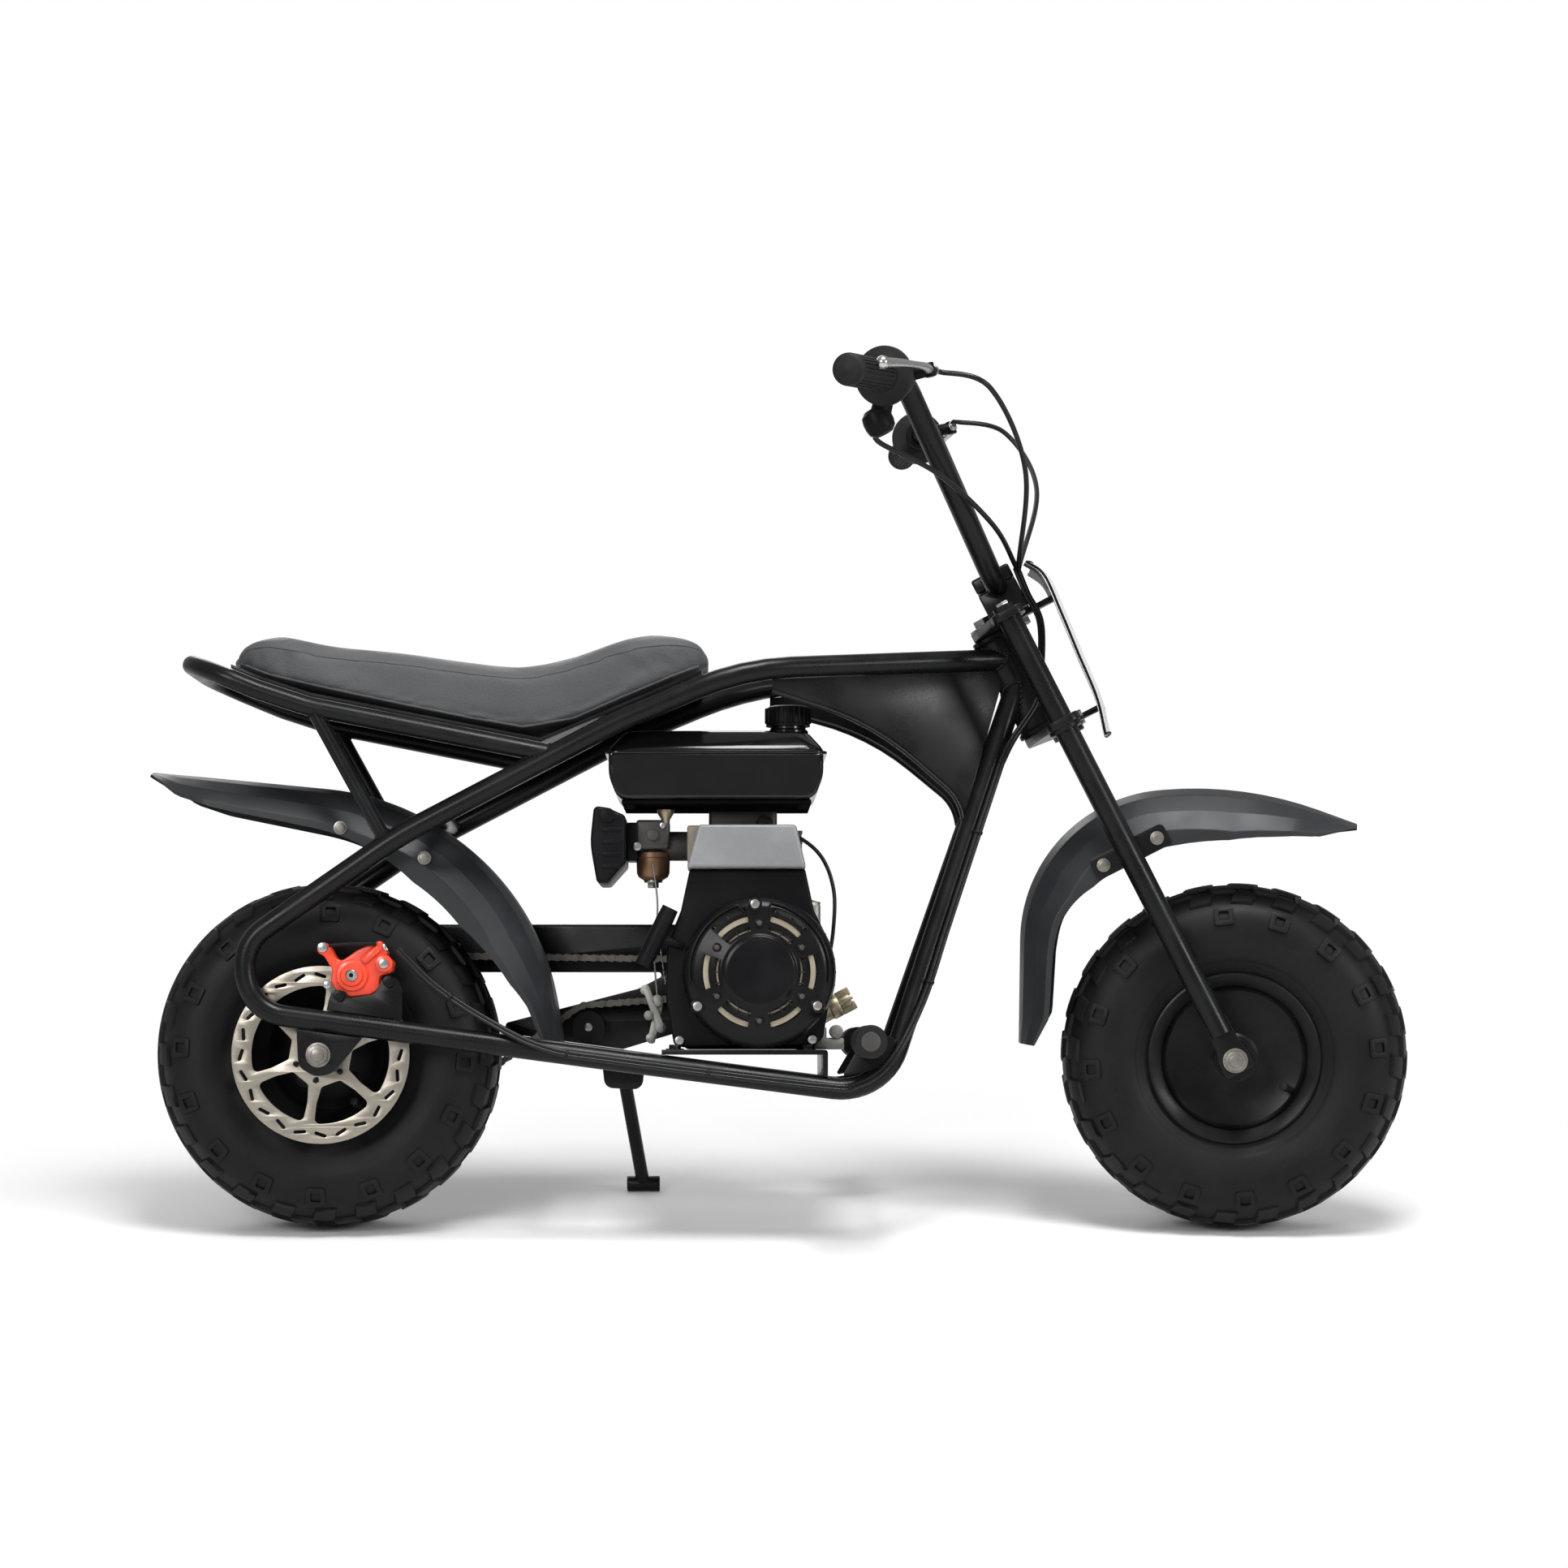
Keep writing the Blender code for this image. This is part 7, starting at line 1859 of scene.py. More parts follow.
    def muffler(self) -> None:
        """The boxed muffler with its seam, perforated guard and pipes."""
        shape = Shape().box((0.395, 0.064, 0.318), (0.490, 0.1235, 0.412), 0.013, 5)
        shape.box((0.3952, 0.0905, 0.3182), (0.4898, 0.0935, 0.4118), 0.0010, 1)
        shape.rod((0.438, 0.0483, 0.368), (0.438, 0.070, 0.368), 0.011, 32)
        shape.rod((0.487, 0.096, 0.338), (0.508, 0.096, 0.332), 0.008, 28)
        for i in range(5):
            for k in range(5):
                shape.rod((0.412 + 0.0155 * i, 0.1230, 0.334 + 0.0155 * k),
                          (0.412 + 0.0155 * i, 0.1239, 0.334 + 0.0155 * k), 0.0042, 18, 0.0004)
        self.shop.on_bike("muffler", shape, BLACK_STEEL, "muffler")
        bolts = Shape()
        for z in (0.350, 0.386):
            bolts.bolt((0.416, 0.0640, z), (0, -1, 0), 0.0050, 0.0060)
        self.shop.on_bike("muffler_nuts", bolts, ZINC)


@dataclass
class Brake:
    """The rear caliper with its bracket, boss and bolts."""

    shop: Workshop
    inner: float = -0.0765
    outer: float = -0.0995

    def build(self) -> None:
        """Builds the caliper round the rotor."""
        corners = [(-0.0022, 0.2815, 0.005), (-0.0022, 0.2900, 0.005), (0.0070, 0.2915, 0.005),
                   (0.0120, 0.2850, 0.004), (0.0200, 0.2712, 0.006), (0.0265, 0.2755, 0.005), (0.0380, 0.2835, 0.010),
                   (0.0550, 0.2905, 0.006), (0.0620, 0.2940, 0.004), (0.0690, 0.2815, 0.003), (0.0680, 0.2765, 0.004),
                   (0.0755, 0.2730, 0.006), (0.0735, 0.2610, 0.006), (0.0608, 0.2575, 0.004), (0.0608, 0.2440, 0.004),
                   (0.0520, 0.2383, 0.006), (0.0312, 0.2361, 0.008), (0.0169, 0.2427, 0.006), (0.0115, 0.2520, 0.005),
                   (0.0130, 0.2640, 0.006), (0.0050, 0.2770, 0.005)]
        body = Shape().slab([soft_outline(corners, math.radians(10))], self.outer, self.inner, 0.0020, segments=3)
        slot = Shape().rod((0, -0.0870 - 0.0036, Rig.AXLE_HEIGHT), (0, -0.0870 + 0.0036, Rig.AXLE_HEIGHT), 0.0942, 96,
                           0)
        body.cut(slot)
        middle = Matrix.Translation((0.0332, self.outer, 0.2580)) @ ALONG_Y
        body.turned([(0.0, -0.0060), (0.0104, -0.0060), (0.0112, -0.0052), (0.0118, -0.0036), (0.0150, -0.0032),
                     (0.0162, -0.0020), (0.0162, 0.0015), (0.0, 0.0015)], middle, 64)
        body.rod((0.0655, self.outer + 0.001, 0.2698), (0.0655, self.outer - 0.0034, 0.2698), 0.0088, 32, 0.0014)
        body.rod((0.0440, self.outer + 0.0006, 0.2720), (0.0600, self.outer + 0.0006, 0.2860), 0.0050, 24, 0.0020)
        self.shop.on_bike("brake_caliper", body, CALIPER, "brake_caliper")
        bright = Shape().turned([(0.0, -0.0075), (0.0020, -0.0075), (0.0022, -0.0095), (0.0048, -0.0095),
                                 (0.0058, -0.0086), (0.0060, -0.0058), (0.0, -0.0058)], middle, 48)
        bright.screw((0.0655, self.outer - 0.0034, 0.2698), 0.0048, 0.0030)
        bright.rod((0.0034, self.outer - 0.0022, 0.2862), (0.0034, self.outer + 0.001, 0.2862), 0.0052, 24, 0.0010)
        bright.rod((0.0083, self.outer - 0.0030, 0.2487), (0.0083, self.outer + 0.001, 0.2487), 0.0042, 24, 0.0012)
        bright.rod((0.0645, self.outer - 0.0014, 0.2890), (0.0685, self.outer - 0.0014, 0.2830), 0.0022, 16, 0.0008)
        self.shop.on_bike("caliper_bolts", bright, ALLOY)
        dark = Shape()
        for x, z in ((0.0704, 0.2517), (0.0205, 0.2375)):
            dark.screw((x, self.outer - 0.0053, z), 0.0058, 0.0040)
        dark.rod((0.0332, self.outer - 0.0076, 0.2580), (0.0332, self.outer - 0.0060, 0.2580), 0.0022, 16, 0)
        dark.tube(flowing([(0.0100, self.outer - 0.0035, 0.2885), (0.0300, self.outer - 0.0040, 0.2895),
                           (0.0580, self.outer - 0.0035, 0.2900)], 16), 0.0022, 14)
        self.shop.on_bike("caliper_dark_bolts", dark, BLACK_STEEL)
        y = self.outer - 0.0003
        corners = [(0.008, rail_z(0.008) + RAIL_LIFT, 0.001), (0.084, rail_z(0.084) + RAIL_LIFT, 0.001),
                   (0.084, 0.2440, 0.004), (0.0785, 0.2560, 0.006), (0.0640, 0.2545, 0.006), (0.0560, 0.2395, 0.006),
                   (0.0300, 0.2350, 0.004), (0.0270, 0.2420, 0.005), (0.0140, 0.2440, 0.005), (0.010, 0.232, 0.006)]
        bracket = Shape().slab([soft_outline(corners)], y - 0.005, y, 0.0008)
        self.shop.on_bike("caliper_bracket", bracket, POWDER, "caliper_bracket")


@dataclass
class Fork:
    """The fork's legs, clamps and stem, the number plate and its stays, in the steering axis's frame."""

    shop: Workshop
    x: float = FORK_OFFSET
    y: float = 0.0915
    leg: float = 0.012
    level: float = 0.061
    thick: float = 0.009
    axle: float = FORK_DROP
    set_back: float = 0.0050
    plate_line: tuple[tuple[float, float, float], ...] = (
        (0.0622, -0.0897, 0.058), (0.0710, -0.0530, 0.070), (0.0745, -0.0050, 0.080), (0.0780, 0.0400, 0.083),
        (0.0797, 0.0809, 0.080), (0.0701, 0.1016, 0.066))

    def build(self) -> None:
        """Builds the fork."""
        self.legs()
        self.clamps()
        self.number_plate()

    def legs(self) -> None:
        """Both legs with a flattened foot and a tab for the fender."""
        x = self.x
        for side, name in SIDES:
            y = side * self.y
            shape = Shape().tube([(x, y, -self.axle + 0.030), (x, y, -self.axle + 0.046), (x, y, 0.0),
                                  (x, y, self.level + 0.010)], self.leg, 36)
            shape.rod((x, y, self.level + 0.0085), (x, y, self.level + 0.0100), self.leg - 0.0030, 32, 0.0005)
            foot = [(x - 0.0115, -self.axle + 0.052, 0.004), (x - 0.0130, -self.axle + 0.016, 0.020),
                    (x - 0.0165, -self.axle + 0.006, 0.006), (x - 0.0165, -self.axle - 0.014, 0.004),
                    (x + 0.0155, -self.axle - 0.014, 0.004), (x + 0.0155, -self.axle + 0.006, 0.006),
                    (x + 0.0130, -self.axle + 0.016, 0.020), (x + 0.0115, -self.axle + 0.052, 0.004)]
            low, high = sorted((side * (self.y - 0.004), side * (self.y + 0.004)))
            shape.slab([soft_outline(foot, math.radians(8)), ring(x, -self.axle, 0.0073, 32)], low, high, 0.0008)
            low, high = sorted((side * 0.0784, side * 0.0815))
            tab = [(-0.015, -0.220, 0.004), (0.068, -0.220, 0.004), (0.068, -0.196, 0.006), (-0.015, -0.196, 0.006)]
            shape.slab([soft_outline(tab)], low, high, 0.0006)
            self.shop.on_fork(f"{name}_fork_leg", shape, POWDER, f"{name}_fork_leg")
        bolts = Shape()
        for side in (LEFT, RIGHT):
            for at in (-0.0035, 0.0565):
                bolts.bolt((at, side * 0.0815, -0.208), (0, side, 0), 0.0048, 0.0032, sides=20)
        self.shop.on_fork("fork_tab_bolts", bolts, DULL_STEEL)

    def clamps(self) -> None:
        """The flat triple clamps, the stem, the bar's blocks, the plate's stays and all their bolts."""
        x, y, reach = self.x, self.y, self.leg + 0.006
        loop = [(-0.0185, -0.012, 0.012), (-0.0185, 0.012, 0.012), (x - reach, y, 0.020),
                (x - reach + 0.004, y + reach, 0.010), (x + reach, y + reach, 0.010), (x + reach, y - reach, 0.010),
                (x + 0.006, 0.030, 0.020), (x + 0.006, -0.030, 0.020), (x + reach, reach - y, 0.010),
                (x + reach, -y - reach, 0.010), (x - reach + 0.004, -y - reach, 0.010), (x - reach, -y, 0.020)]
        outline = soft_outline([(p[0], -p[1], p[2]) for p in loop], math.radians(12))
        holes = [ring(x, side * y, self.leg + 0.0002, 48) for side in (LEFT, RIGHT)]
        for name, sign in (("lower_clamp", -1), ("upper_clamp", 1)):
            level = sign * self.level
            shape = Shape().slab([outline, *holes], -self.thick / 2, self.thick / 2, 0.0010,
                                 Matrix.Translation((0, 0, level)) @ UPRIGHT, segments=2)
            for side in (LEFT, RIGHT):
                if sign < 0:
                    shape.turned([(self.leg + 0.0002, -0.0090), (reach - 0.0015, -0.0090), (reach - 0.0006, -0.0080),
                                  (reach - 0.0006, 0.0), (self.leg + 0.0002, 0.0)],
                                 Matrix.Translation((x, side * y, level - self.thick / 2 + 0.0045)), 40)
            end = self.stay_reach(level)
            shape.box((x, -0.0118, level - 0.0030), (end, 0.0118, level + 0.0030), 0.0010)
            if sign < 0:
                shape.rod((0, 0, level - 0.0040), (0, 0, self.level - self.thick / 2 - 0.0003), 0.0123, 36)
            else:
                self.bar_blocks(shape)
            self.shop.on_fork(name, shape, POWDER, name)
        bolts = Shape()
        top = self.level + self.thick / 2
        bolts.bolt((0, 0, top), (0, 0, 1), 0.0125, 0.0080)
        for side in (LEFT, RIGHT):
            bolts.bolt((x, side * y, self.level + 0.0098), (0, 0, 1), 0.0070, 0.0040, washer=False)
            bolts.bolt((x + 0.0180, side * y, -self.level), (1, 0, 0), 0.0042, 0.0036, washer=False)
        self.shop.on_fork("clamp_bolts", bolts, ZINC)

    def stay_reach(self, level: float) -> float:
        """How far ahead a plate stay reaches at a level."""
        a, b = next((a, b) for a, b in zip(self.plate_line, self.plate_line[1:]) if a[1] <= level <= b[1])
        return a[0] + (b[0] - a[0]) * (level - a[1]) / (b[1] - a[1]) - 0.0024

    def bar_blocks(self, shape: Shape) -> None:
        """Adds the two split blocks that hold the bar."""
        bar = to_fork(Handlebar.BAR[0][:3])
        base = self.level + self.thick / 2 - 0.001
        for side in (LEFT, RIGHT):
            y = side * 0.028
            block = Shape().box((bar.x - 0.021, y - 0.010, base), (bar.x + 0.021, y + 0.010, bar.z - 0.0008), 0.0022, 2)
            block.box((bar.x - 0.021, y - 0.010, bar.z + 0.0008), (bar.x + 0.021, y + 0.010, bar.z + 0.0165), 0.0028, 3)
            block.cut(Shape().rod((bar.x, y - 0.02, bar.z), (bar.x, y + 0.02, bar.z), 0.0113, 40, 0))
            shape.take(block.mesh)

    def number_plate(self) -> None:
        """The white plate with a grey hood over its top and a rolled edge."""
        rows = flowing([(x, half, z) for x, z, half in self.plate_line], 40)
        columns = [-1 + j / 14 for j in range(29)]
        sections = [[Vector((p.x - self.set_back * abs(s) ** 2.5, p.y * s, p.z)) for s in columns] for p in rows]
        rim = [section[0] for section in sections] + sections[-1][1:] + [section[-1]
                                                                         for section in reversed(
                                                                             sections[:-1])] + sections[0][-2:0:-1]
        middle = Matrix.Translation((0.0011, 0, 0))
        shape = Shape().skin(sections, closed=False, wall=0.0022)
        shape.move(middle)
        bmesh.ops.recalc_face_normals(shape.mesh, faces=shape.mesh.faces)
        self.shop.on_fork("number_plate", shape, WHITE, "number_plate")
        hood = [section for section, p in zip(sections, rows) if p.z > 0.062]
        cover = Shape().skin(hood, closed=False, wall=0.0030)
        cover.move(Matrix.Translation((-0.0012, 0, 0)))
        bmesh.ops.recalc_face_normals(cover.mesh, faces=cover.mesh.faces)
        self.shop.on_fork("plate_hood", cover, FENDER)
        trim = Shape().tube([*rim, rim[0]], 0.0013, 12, place=middle)
        self.shop.on_fork("plate_trim", trim, BLACK_PLASTIC)
        screws = Shape()
        for level in (-self.level, self.level):
            screws.bolt((self.stay_reach(level) + 0.0026, 0, level), (1, 0, 0), 0.0045, 0.0010, washer=False, sides=20)
        self.shop.on_fork("plate_screws", screws, ZINC)


@dataclass
class Handlebar:
    """The bar with its grips, throttle housing and levers, in the steering axis's frame."""

    shop: Workshop
    radius: float = 0.011
    grip: float = 0.0155
    length: float = 0.116
    twist_at: float = 0.1305

    BAR = ((HEAD.x - 0.0193, 0.0, 0.660, 0), (HEAD.x - 0.0193, 0.056, 0.660, 0.030),
           (HEAD.x - 0.1033, 0.200, 0.850, 0.035), (HEAD.x - 0.1433, 0.372, 0.838, 0))

    def build(self) -> None:
        """Builds the bar and everything on it."""
        corners = [(*to_fork((x, side * y, z)), r) for side, run in ((RIGHT, self.BAR[:0:-1]), (LEFT, self.BAR[1:]))
                   for x, y, z, r in run]
        self.shop.on_fork("handlebar", Shape().tube(rounded(corners), self.radius, 28), POWDER, "handlebar")
        self.clamp_bolts()
        for side, name in SIDES:
            tip, along = self.end(side)
            self.grip_on(name, tip, along)
        tip, along = self.end(RIGHT)
        self.throttle(tip - along * self.twist_at, along)
        for side, name in SIDES:
            tip, along = self.end(side)
            self.lever(f"{name}_lever", tip - along * self.perch_at(side), along)

    @staticmethod
    def perch_at(side: int) -> float:
        """How far inside the bar's tip a lever's perch sits."""
        return 0.134 if side == LEFT else 0.1495

    def anchor(self, side: int) -> tuple[Vector, Vector]:
        """Where a brake cable leaves its adjuster, and its direction there."""
        tip, along = self.end(side)
        return tip - along * (self.perch_at(side) + 0.0195) + self.ahead() * 0.034, -along

    def neck(self) -> tuple[Vector, Vector]:
        """Where the throttle cable leaves the twist grip's housing, and its direction there."""
        tip, along = self.end(RIGHT)
        way = (self.below() - along).normalized()
        return tip - along * self.twist_at + self.below() * 0.0440 + way * 0.0120, way

    @staticmethod
    def below() -> Vector:
        """The direction in which the twist grip's housing hangs."""
        return to_fork(HEAD + Vector((-0.25, 0, -1))).normalized()

    @staticmethod
    def ahead() -> Vector:
        """The direction in which the perches reach."""
        return to_fork(HEAD + Vector((0.92, 0, 0.20))).normalized()

    def end(self, side: int) -> tuple[Vector, Vector]:
        """The bar's tip on one side and its direction outwards."""
        tip, bend = (to_fork((x, side * y, z)) for x, y, z, _ in (self.BAR[3], self.BAR[2]))
        return tip, (tip - bend).normalized()

    def clamp_bolts(self) -> None:
        """Socket bolts in the bar's blocks."""
        bar = to_fork(self.BAR[0][:3])
        shape = Shape()
        for side in (LEFT, RIGHT):
            for x in (-0.0155, 0.0155):
                shape.rod((bar.x + x, side * 0.028, bar.z + 0.008), (bar.x + x, side * 0.028, bar.z + 0.0168), 0.0042,
                          24, 0.0006)
        self.shop.on_fork("bar_bolts", shape, ZINC)

    def grip_on(self, name: str, tip: Vector, along: Vector) -> None:
        """A rubber grip with rows of small blocks, a flange and a domed end."""
        g, length = self.grip, self.length
        place = between(tip, tip + along)
        root = g - 0.0012
        profile = [(0.0, 0.0044), (0.0040, 0.0044), (0.0060, 0.0036), (0.0105, 0.0036), (0.0135, 0.0028),
                   (g - 0.0003, 0.0010), (g, -0.0010), (g, -0.0050), (root, -0.0060), (root, -length + 0.0160),
                   (g, -length + 0.0145), (g + 0.0005, -length + 0.0100), (0.0200, -length + 0.0072),
                   (0.0278, -length + 0.0060), (0.0287, -length + 0.0048), (0.0287, -length + 0.0012),
                   (0.0280, -length), (0.0113, -length), (0.0113, -0.001), (0.0, -0.001)]
        shape = Shape().turned(profile, place, 56)
        knob = Shape().box((root - 0.0004, -0.00125, -0.00125), (g, 0.00125, 0.00125), 0.0004, 1)
        rows, around = 24, 24
        run = length - 0.0240
        knob.copies(
            [Matrix.Translation((0, 0, -0.0075 - run * k / (rows - 1))) @ Matrix.Rotation(math.tau * j / around, 4, "Z")
                     for k in range(rows) for j in range(around)])
        knob.move(place)
        shape.take(knob.mesh, turn_out=False)
        self.shop.on_fork(f"{name}_grip", shape, SOFT_RUBBER, f"{name}_grip")

    def throttle(self, spot: Vector, along: Vector) -> None:
        """The twist grip's split housing, its screws and its cable neck."""
        place = between(spot, spot + along)
        shape = Shape().turned([(0.0113, -0.0130), (0.0205, -0.0130), (0.0222, -0.0118), (0.0228, -0.0100),
                                (0.0228, -0.0006), (0.0222, -0.0003), (0.0222, 0.0003), (0.0228, 0.0006),
                                (0.0228, 0.0100), (0.0222, 0.0118), (0.0205, 0.0130), (0.0113, 0.0130)], place, 64)
        down = self.below()
        shape.rod(spot + down * 0.0170, spot + down * 0.0420, 0.0095, 28, 0.0015, tip=0.0105)
        shape.turned([(0.0, -0.0140), (0.0090, -0.0130), (0.0135, -0.0090), (0.0148, -0.0030), (0.0148, 0.0030),
                      (0.0135, 0.0090), (0.0090, 0.0130), (0.0, 0.0140)],
                     Matrix.Translation(spot + down * 0.0440), 40)
        self.shop.on_fork("throttle_housing", shape, BLACK_PLASTIC, "throttle_housing")
        screws = Shape()
        side = along.cross(down).normalized()
        for sign in (-1, 1):
            screws.bolt(spot + side * (0.0170 * sign) + along * 0.0001 - down * 0.0135, -down, 0.0028, 0.0014,
                        washer=False, sides=16)
        self.shop.on_fork("throttle_screws", screws, ZINC)

    def lever(self, name: str, spot: Vector, along: Vector) -> None:
        """A brake lever: a clamped perch, a cable adjuster and a blade with a ball end."""
        place = between(spot, spot + along)
        ahead = self.ahead()
        pivot = spot + ahead * 0.034
        perch = Shape().turned([(0.0113, -0.0048), (0.0160, -0.0048), (0.0165, -0.0043), (0.0165, 0.0043),
                                (0.0160, 0.0048), (0.0113, 0.0048)], place, 48)
        perch.rod(spot + ahead * 0.0130, pivot + ahead * 0.0036, 0.0066, 28, 0.0015, tip=0.0060)
        up = ahead.cross(along).normalized()
        perch.rod(pivot - up * 0.0068, pivot + up * 0.0068, 0.0052, 24, 0.0008)
        inner = -along
        perch.rod(pivot - along * 0.002, pivot + inner * 0.0120, 0.0046, 20, 0.0006)
        path = [pivot + along * 0.001, pivot + along * 0.040 + ahead * 0.006, pivot + along * 0.095 + ahead * 0.004,
                pivot + along * 0.140 - ahead * 0.004]
        run = flowing(path, 40)
        blade = Shape().tube(run, 0.0045, 20, lambda t: 1.0 - 0.30 * math.sin(math.pi * min(1.0, t * 1.02)) ** 2)
        blade.ball(path[-1], 0.0064)
        blade.rod(pivot + inner * 0.0120, pivot + inner * 0.0200, 0.0040, 20, 0.0005)
        blade.rod(pivot + inner * 0.0125, pivot + inner * 0.0150, 0.0054, 24, 0.0004)
        self.shop.on_fork(f"{name}_perch", perch, BLACK_PLASTIC)
        self.shop.on_fork(name, blade, ALLOY, name)


@dataclass
class Seat:
    """The padded seat with its seams, and the pan under it."""

    shop: Workshop
    pan_thick: float = 0.004
    voxel: float = 0.005
    pressure: float = 4.0
    cap: float = 0.006
    frames: int = 20
    sections: tuple[tuple[float, float, float, float], ...] = (
        (-0.092, 0.5700, 0.577, 0.058), (-0.080, 0.5640, 0.597, 0.080), (-0.050, 0.5560, 0.603, 0.092),
        (0.010, 0.5420, 0.592, 0.098), (0.080, 0.5270, 0.585, 0.100), (0.150, 0.5130, 0.576, 0.098),
        (0.205, 0.5040, 0.572, 0.094), (0.255, 0.5130, 0.582, 0.092), (0.310, 0.5370, 0.600, 0.090),
        (0.352, 0.5550, 0.606, 0.084), (0.380, 0.5660, 0.602, 0.076), (0.391, 0.5715, 0.588, 0.060))

    def pan_line(self) -> list[tuple[float, float]]:
        """The pan's underside over the seat rail and the main rails."""
        seat_lift, rail_lift = 0.0095 + 0.0009, RAIL_R + 0.0003
        runs = [(SEAT_RAIL[3], SEAT_RAIL[2], seat_lift), (SEAT_RAIL[2], SEAT_RAIL[1], seat_lift),
                (SEAT_RAIL[1], SEAT_RAIL[0], seat_lift), (RAIL[2], RAIL[1], rail_lift)]
        lines = []
        for a, b, lift in runs:
            slope = (b[2] - a[2]) / (b[0] - a[0])
            lines.append((slope, a[2] - slope * a[0] + lift * math.sqrt(1 + slope * slope)))
        rear, front = self.sections[0][0] + 0.004, self.sections[-1][0] - 0.006
        points = [(rear, lines[0][0] * rear + lines[0][1])]
        for (m, c), (n, d) in zip(lines, lines[1:]):
            x = (d - c) / (m - n)
            points.append((x, m * x + c))
        points.append((front, lines[3][0] * front + lines[3][1]))
        return points

    def build(self) -> None:
        """Builds the pan and the pad."""
        under = self.pan_line()
        pan = Shape().slab([under + [(x, z + self.pan_thick) for x, z in reversed(under)]], -0.1058, 0.1058, 0.0008)
        self.shop.on_bike("seat_pan", pan, POWDER, "seat_pan")
        self.pad([(x, z + self.pan_thick + 0.0003) for x, z in under])

    def pad(self, floor: list[tuple[float, float]]) -> None:
        """The padded top, swollen as a cloth and welted along its lower edge and its top seam."""
        knots = flowing([(x, 0, high) for x, _, high, _ in self.sections], 80)
        widths = flowing([(x, 0, half) for x, _, _, half in self.sections], 400)
        sections = []
        for p in knots:
            half = min(widths, key=lambda q: abs(q.x - p.x)).z - 0.004
            low = max(self.base(floor, p.x), self.low(p.x)) + 0.0012
            high = max(p.z - 0.004, low + 0.006)
            row = []
            for i in range(44):
                angle = math.tau * (i + 0.5) / 44
                c, s = math.cos(angle), math.sin(angle)
                y = half * math.copysign(abs(c) ** 0.34, c)
                z = (low + high) / 2 + (high - low) / 2 * math.copysign(abs(s) ** 0.34, s)
                row.append((p.x, y, z))
            sections.append(row)
        shape = self.swollen(Shape().skin(sections), lambda p: p.z < max(self.base(floor, p.x), self.low(p.x)) + 0.006)
        tree = BVHTree.FromBMesh(shape.mesh)
        seams = Shape()
        for radius, level in ((0.0016, lambda x: max(self.base(floor, x), self.low(x)) + 0.0060),
                              (0.0009, lambda x: min(knots, key=lambda q: abs(q.x - x)).z - 0.0125)):
            loop = self.round_line(tree, level)
            seams.tube([*loop, loop[0]], radius, 10)
        self.shop.on_bike("seat_welts", seams, VINYL)
        piece = self.shop.piece("seat", shape, self.shop.rig.bike, "frame", VINYL, ("seat",), crease=math.radians(60))

    def swollen(self, shape: Shape, held: Callable[[Vector], bool]) -> Shape:
        """Blows a closed skin up as cloth.

        Args:
            shape: the skin, used up.
            held: whether a point stays where it is.

        Returns:
            The swollen skin, no point of it moved further than the cap.
        """
        rough = shape.loose("pad")
        even = rough.modifiers.new("Even", "REMESH")
        even.mode = "VOXEL"
        even.voxel_size = self.voxel
        piece = Shape().take_object(rough).loose("cloth")
        rest = [vertex.co.copy() for vertex in piece.data.vertices]
        group = piece.vertex_groups.new(name="held")
        group.add([i for i, p in enumerate(rest) if held(p)], 1.0, "REPLACE")
        cloth = piece.modifiers.new("Cloth", "CLOTH")
        cloth.settings.quality = 6
        cloth.settings.use_pressure = True
        cloth.settings.uniform_pressure_force = self.pressure
        cloth.settings.effector_weights.gravity = 0.0
        cloth.settings.vertex_group_mass = group.name
        cloth.point_cache.frame_end = self.frames
        for frame in range(1, self.frames + 1):
            bpy.context.scene.frame_set(frame)
        graph = bpy.context.evaluated_depsgraph_get()
        data = bpy.data.meshes.new_from_object(piece.evaluated_get(graph))
        for vertex, start in zip(data.vertices, rest):
            step = vertex.co - start
            vertex.co = start + step * min(1.0, self.cap / max(step.length, 1e-9))
        piece.modifiers.clear()
        piece.data = data
        piece.modifiers.new("Fine", "SUBSURF").levels = 1
        bpy.context.scene.frame_set(1)
        return Shape().take_object(piece)

    def round_line(self, tree: BVHTree, level: Callable[[float], float]) -> list[Vector]:
        """Points of the pad's surface all the way round.

        Args:
            tree: the pad's surface.
            level: the height at each x.

        Returns:
            The points in order.
        """
        rear, front = self.sections[0][0] + 0.010, self.sections[-1][0] - 0.010
        along = [rear + (front - rear) * i / 60 for i in range(61)]
        across = [-0.030 + 0.060 * i / 8 for i in range(9)]
        rays = [(Vector((x, 0.3, level(x))), Vector((0, -1, 0))) for x in along]
        rays += [(Vector((front + 0.2, -y, level(front))), Vector((-1, 0, 0))) for y in across]
        rays += [(Vector((x, -0.3, level(x))), Vector((0, 1, 0))) for x in reversed(along)]
        rays += [(Vector((rear - 0.2, y, level(rear))), Vector((1, 0, 0))) for y in across]
        return [spot for spot in (tree.ray_cast(*ray)[0] for ray in rays) if spot]

    @staticmethod
    def base(floor: list[tuple[float, float]], x: float) -> float:
        """The pan's top at x."""
        return max(a[1] + (b[1] - a[1]) * (x - a[0]) / (b[0] - a[0])
                   for a, b in zip(floor, floor[1:]) if a[0] - 0.02 <= x <= b[0] + 0.02)

    def low(self, x: float) -> float:
        """The pad's underside at x."""
        a, b = next((a, b) for a, b in zip(self.sections, self.sections[1:]) if x <= b[0] or b is self.sections[-1])
        return a[1] + (b[1] - a[1]) * (x - a[0]) / (b[0] - a[0])


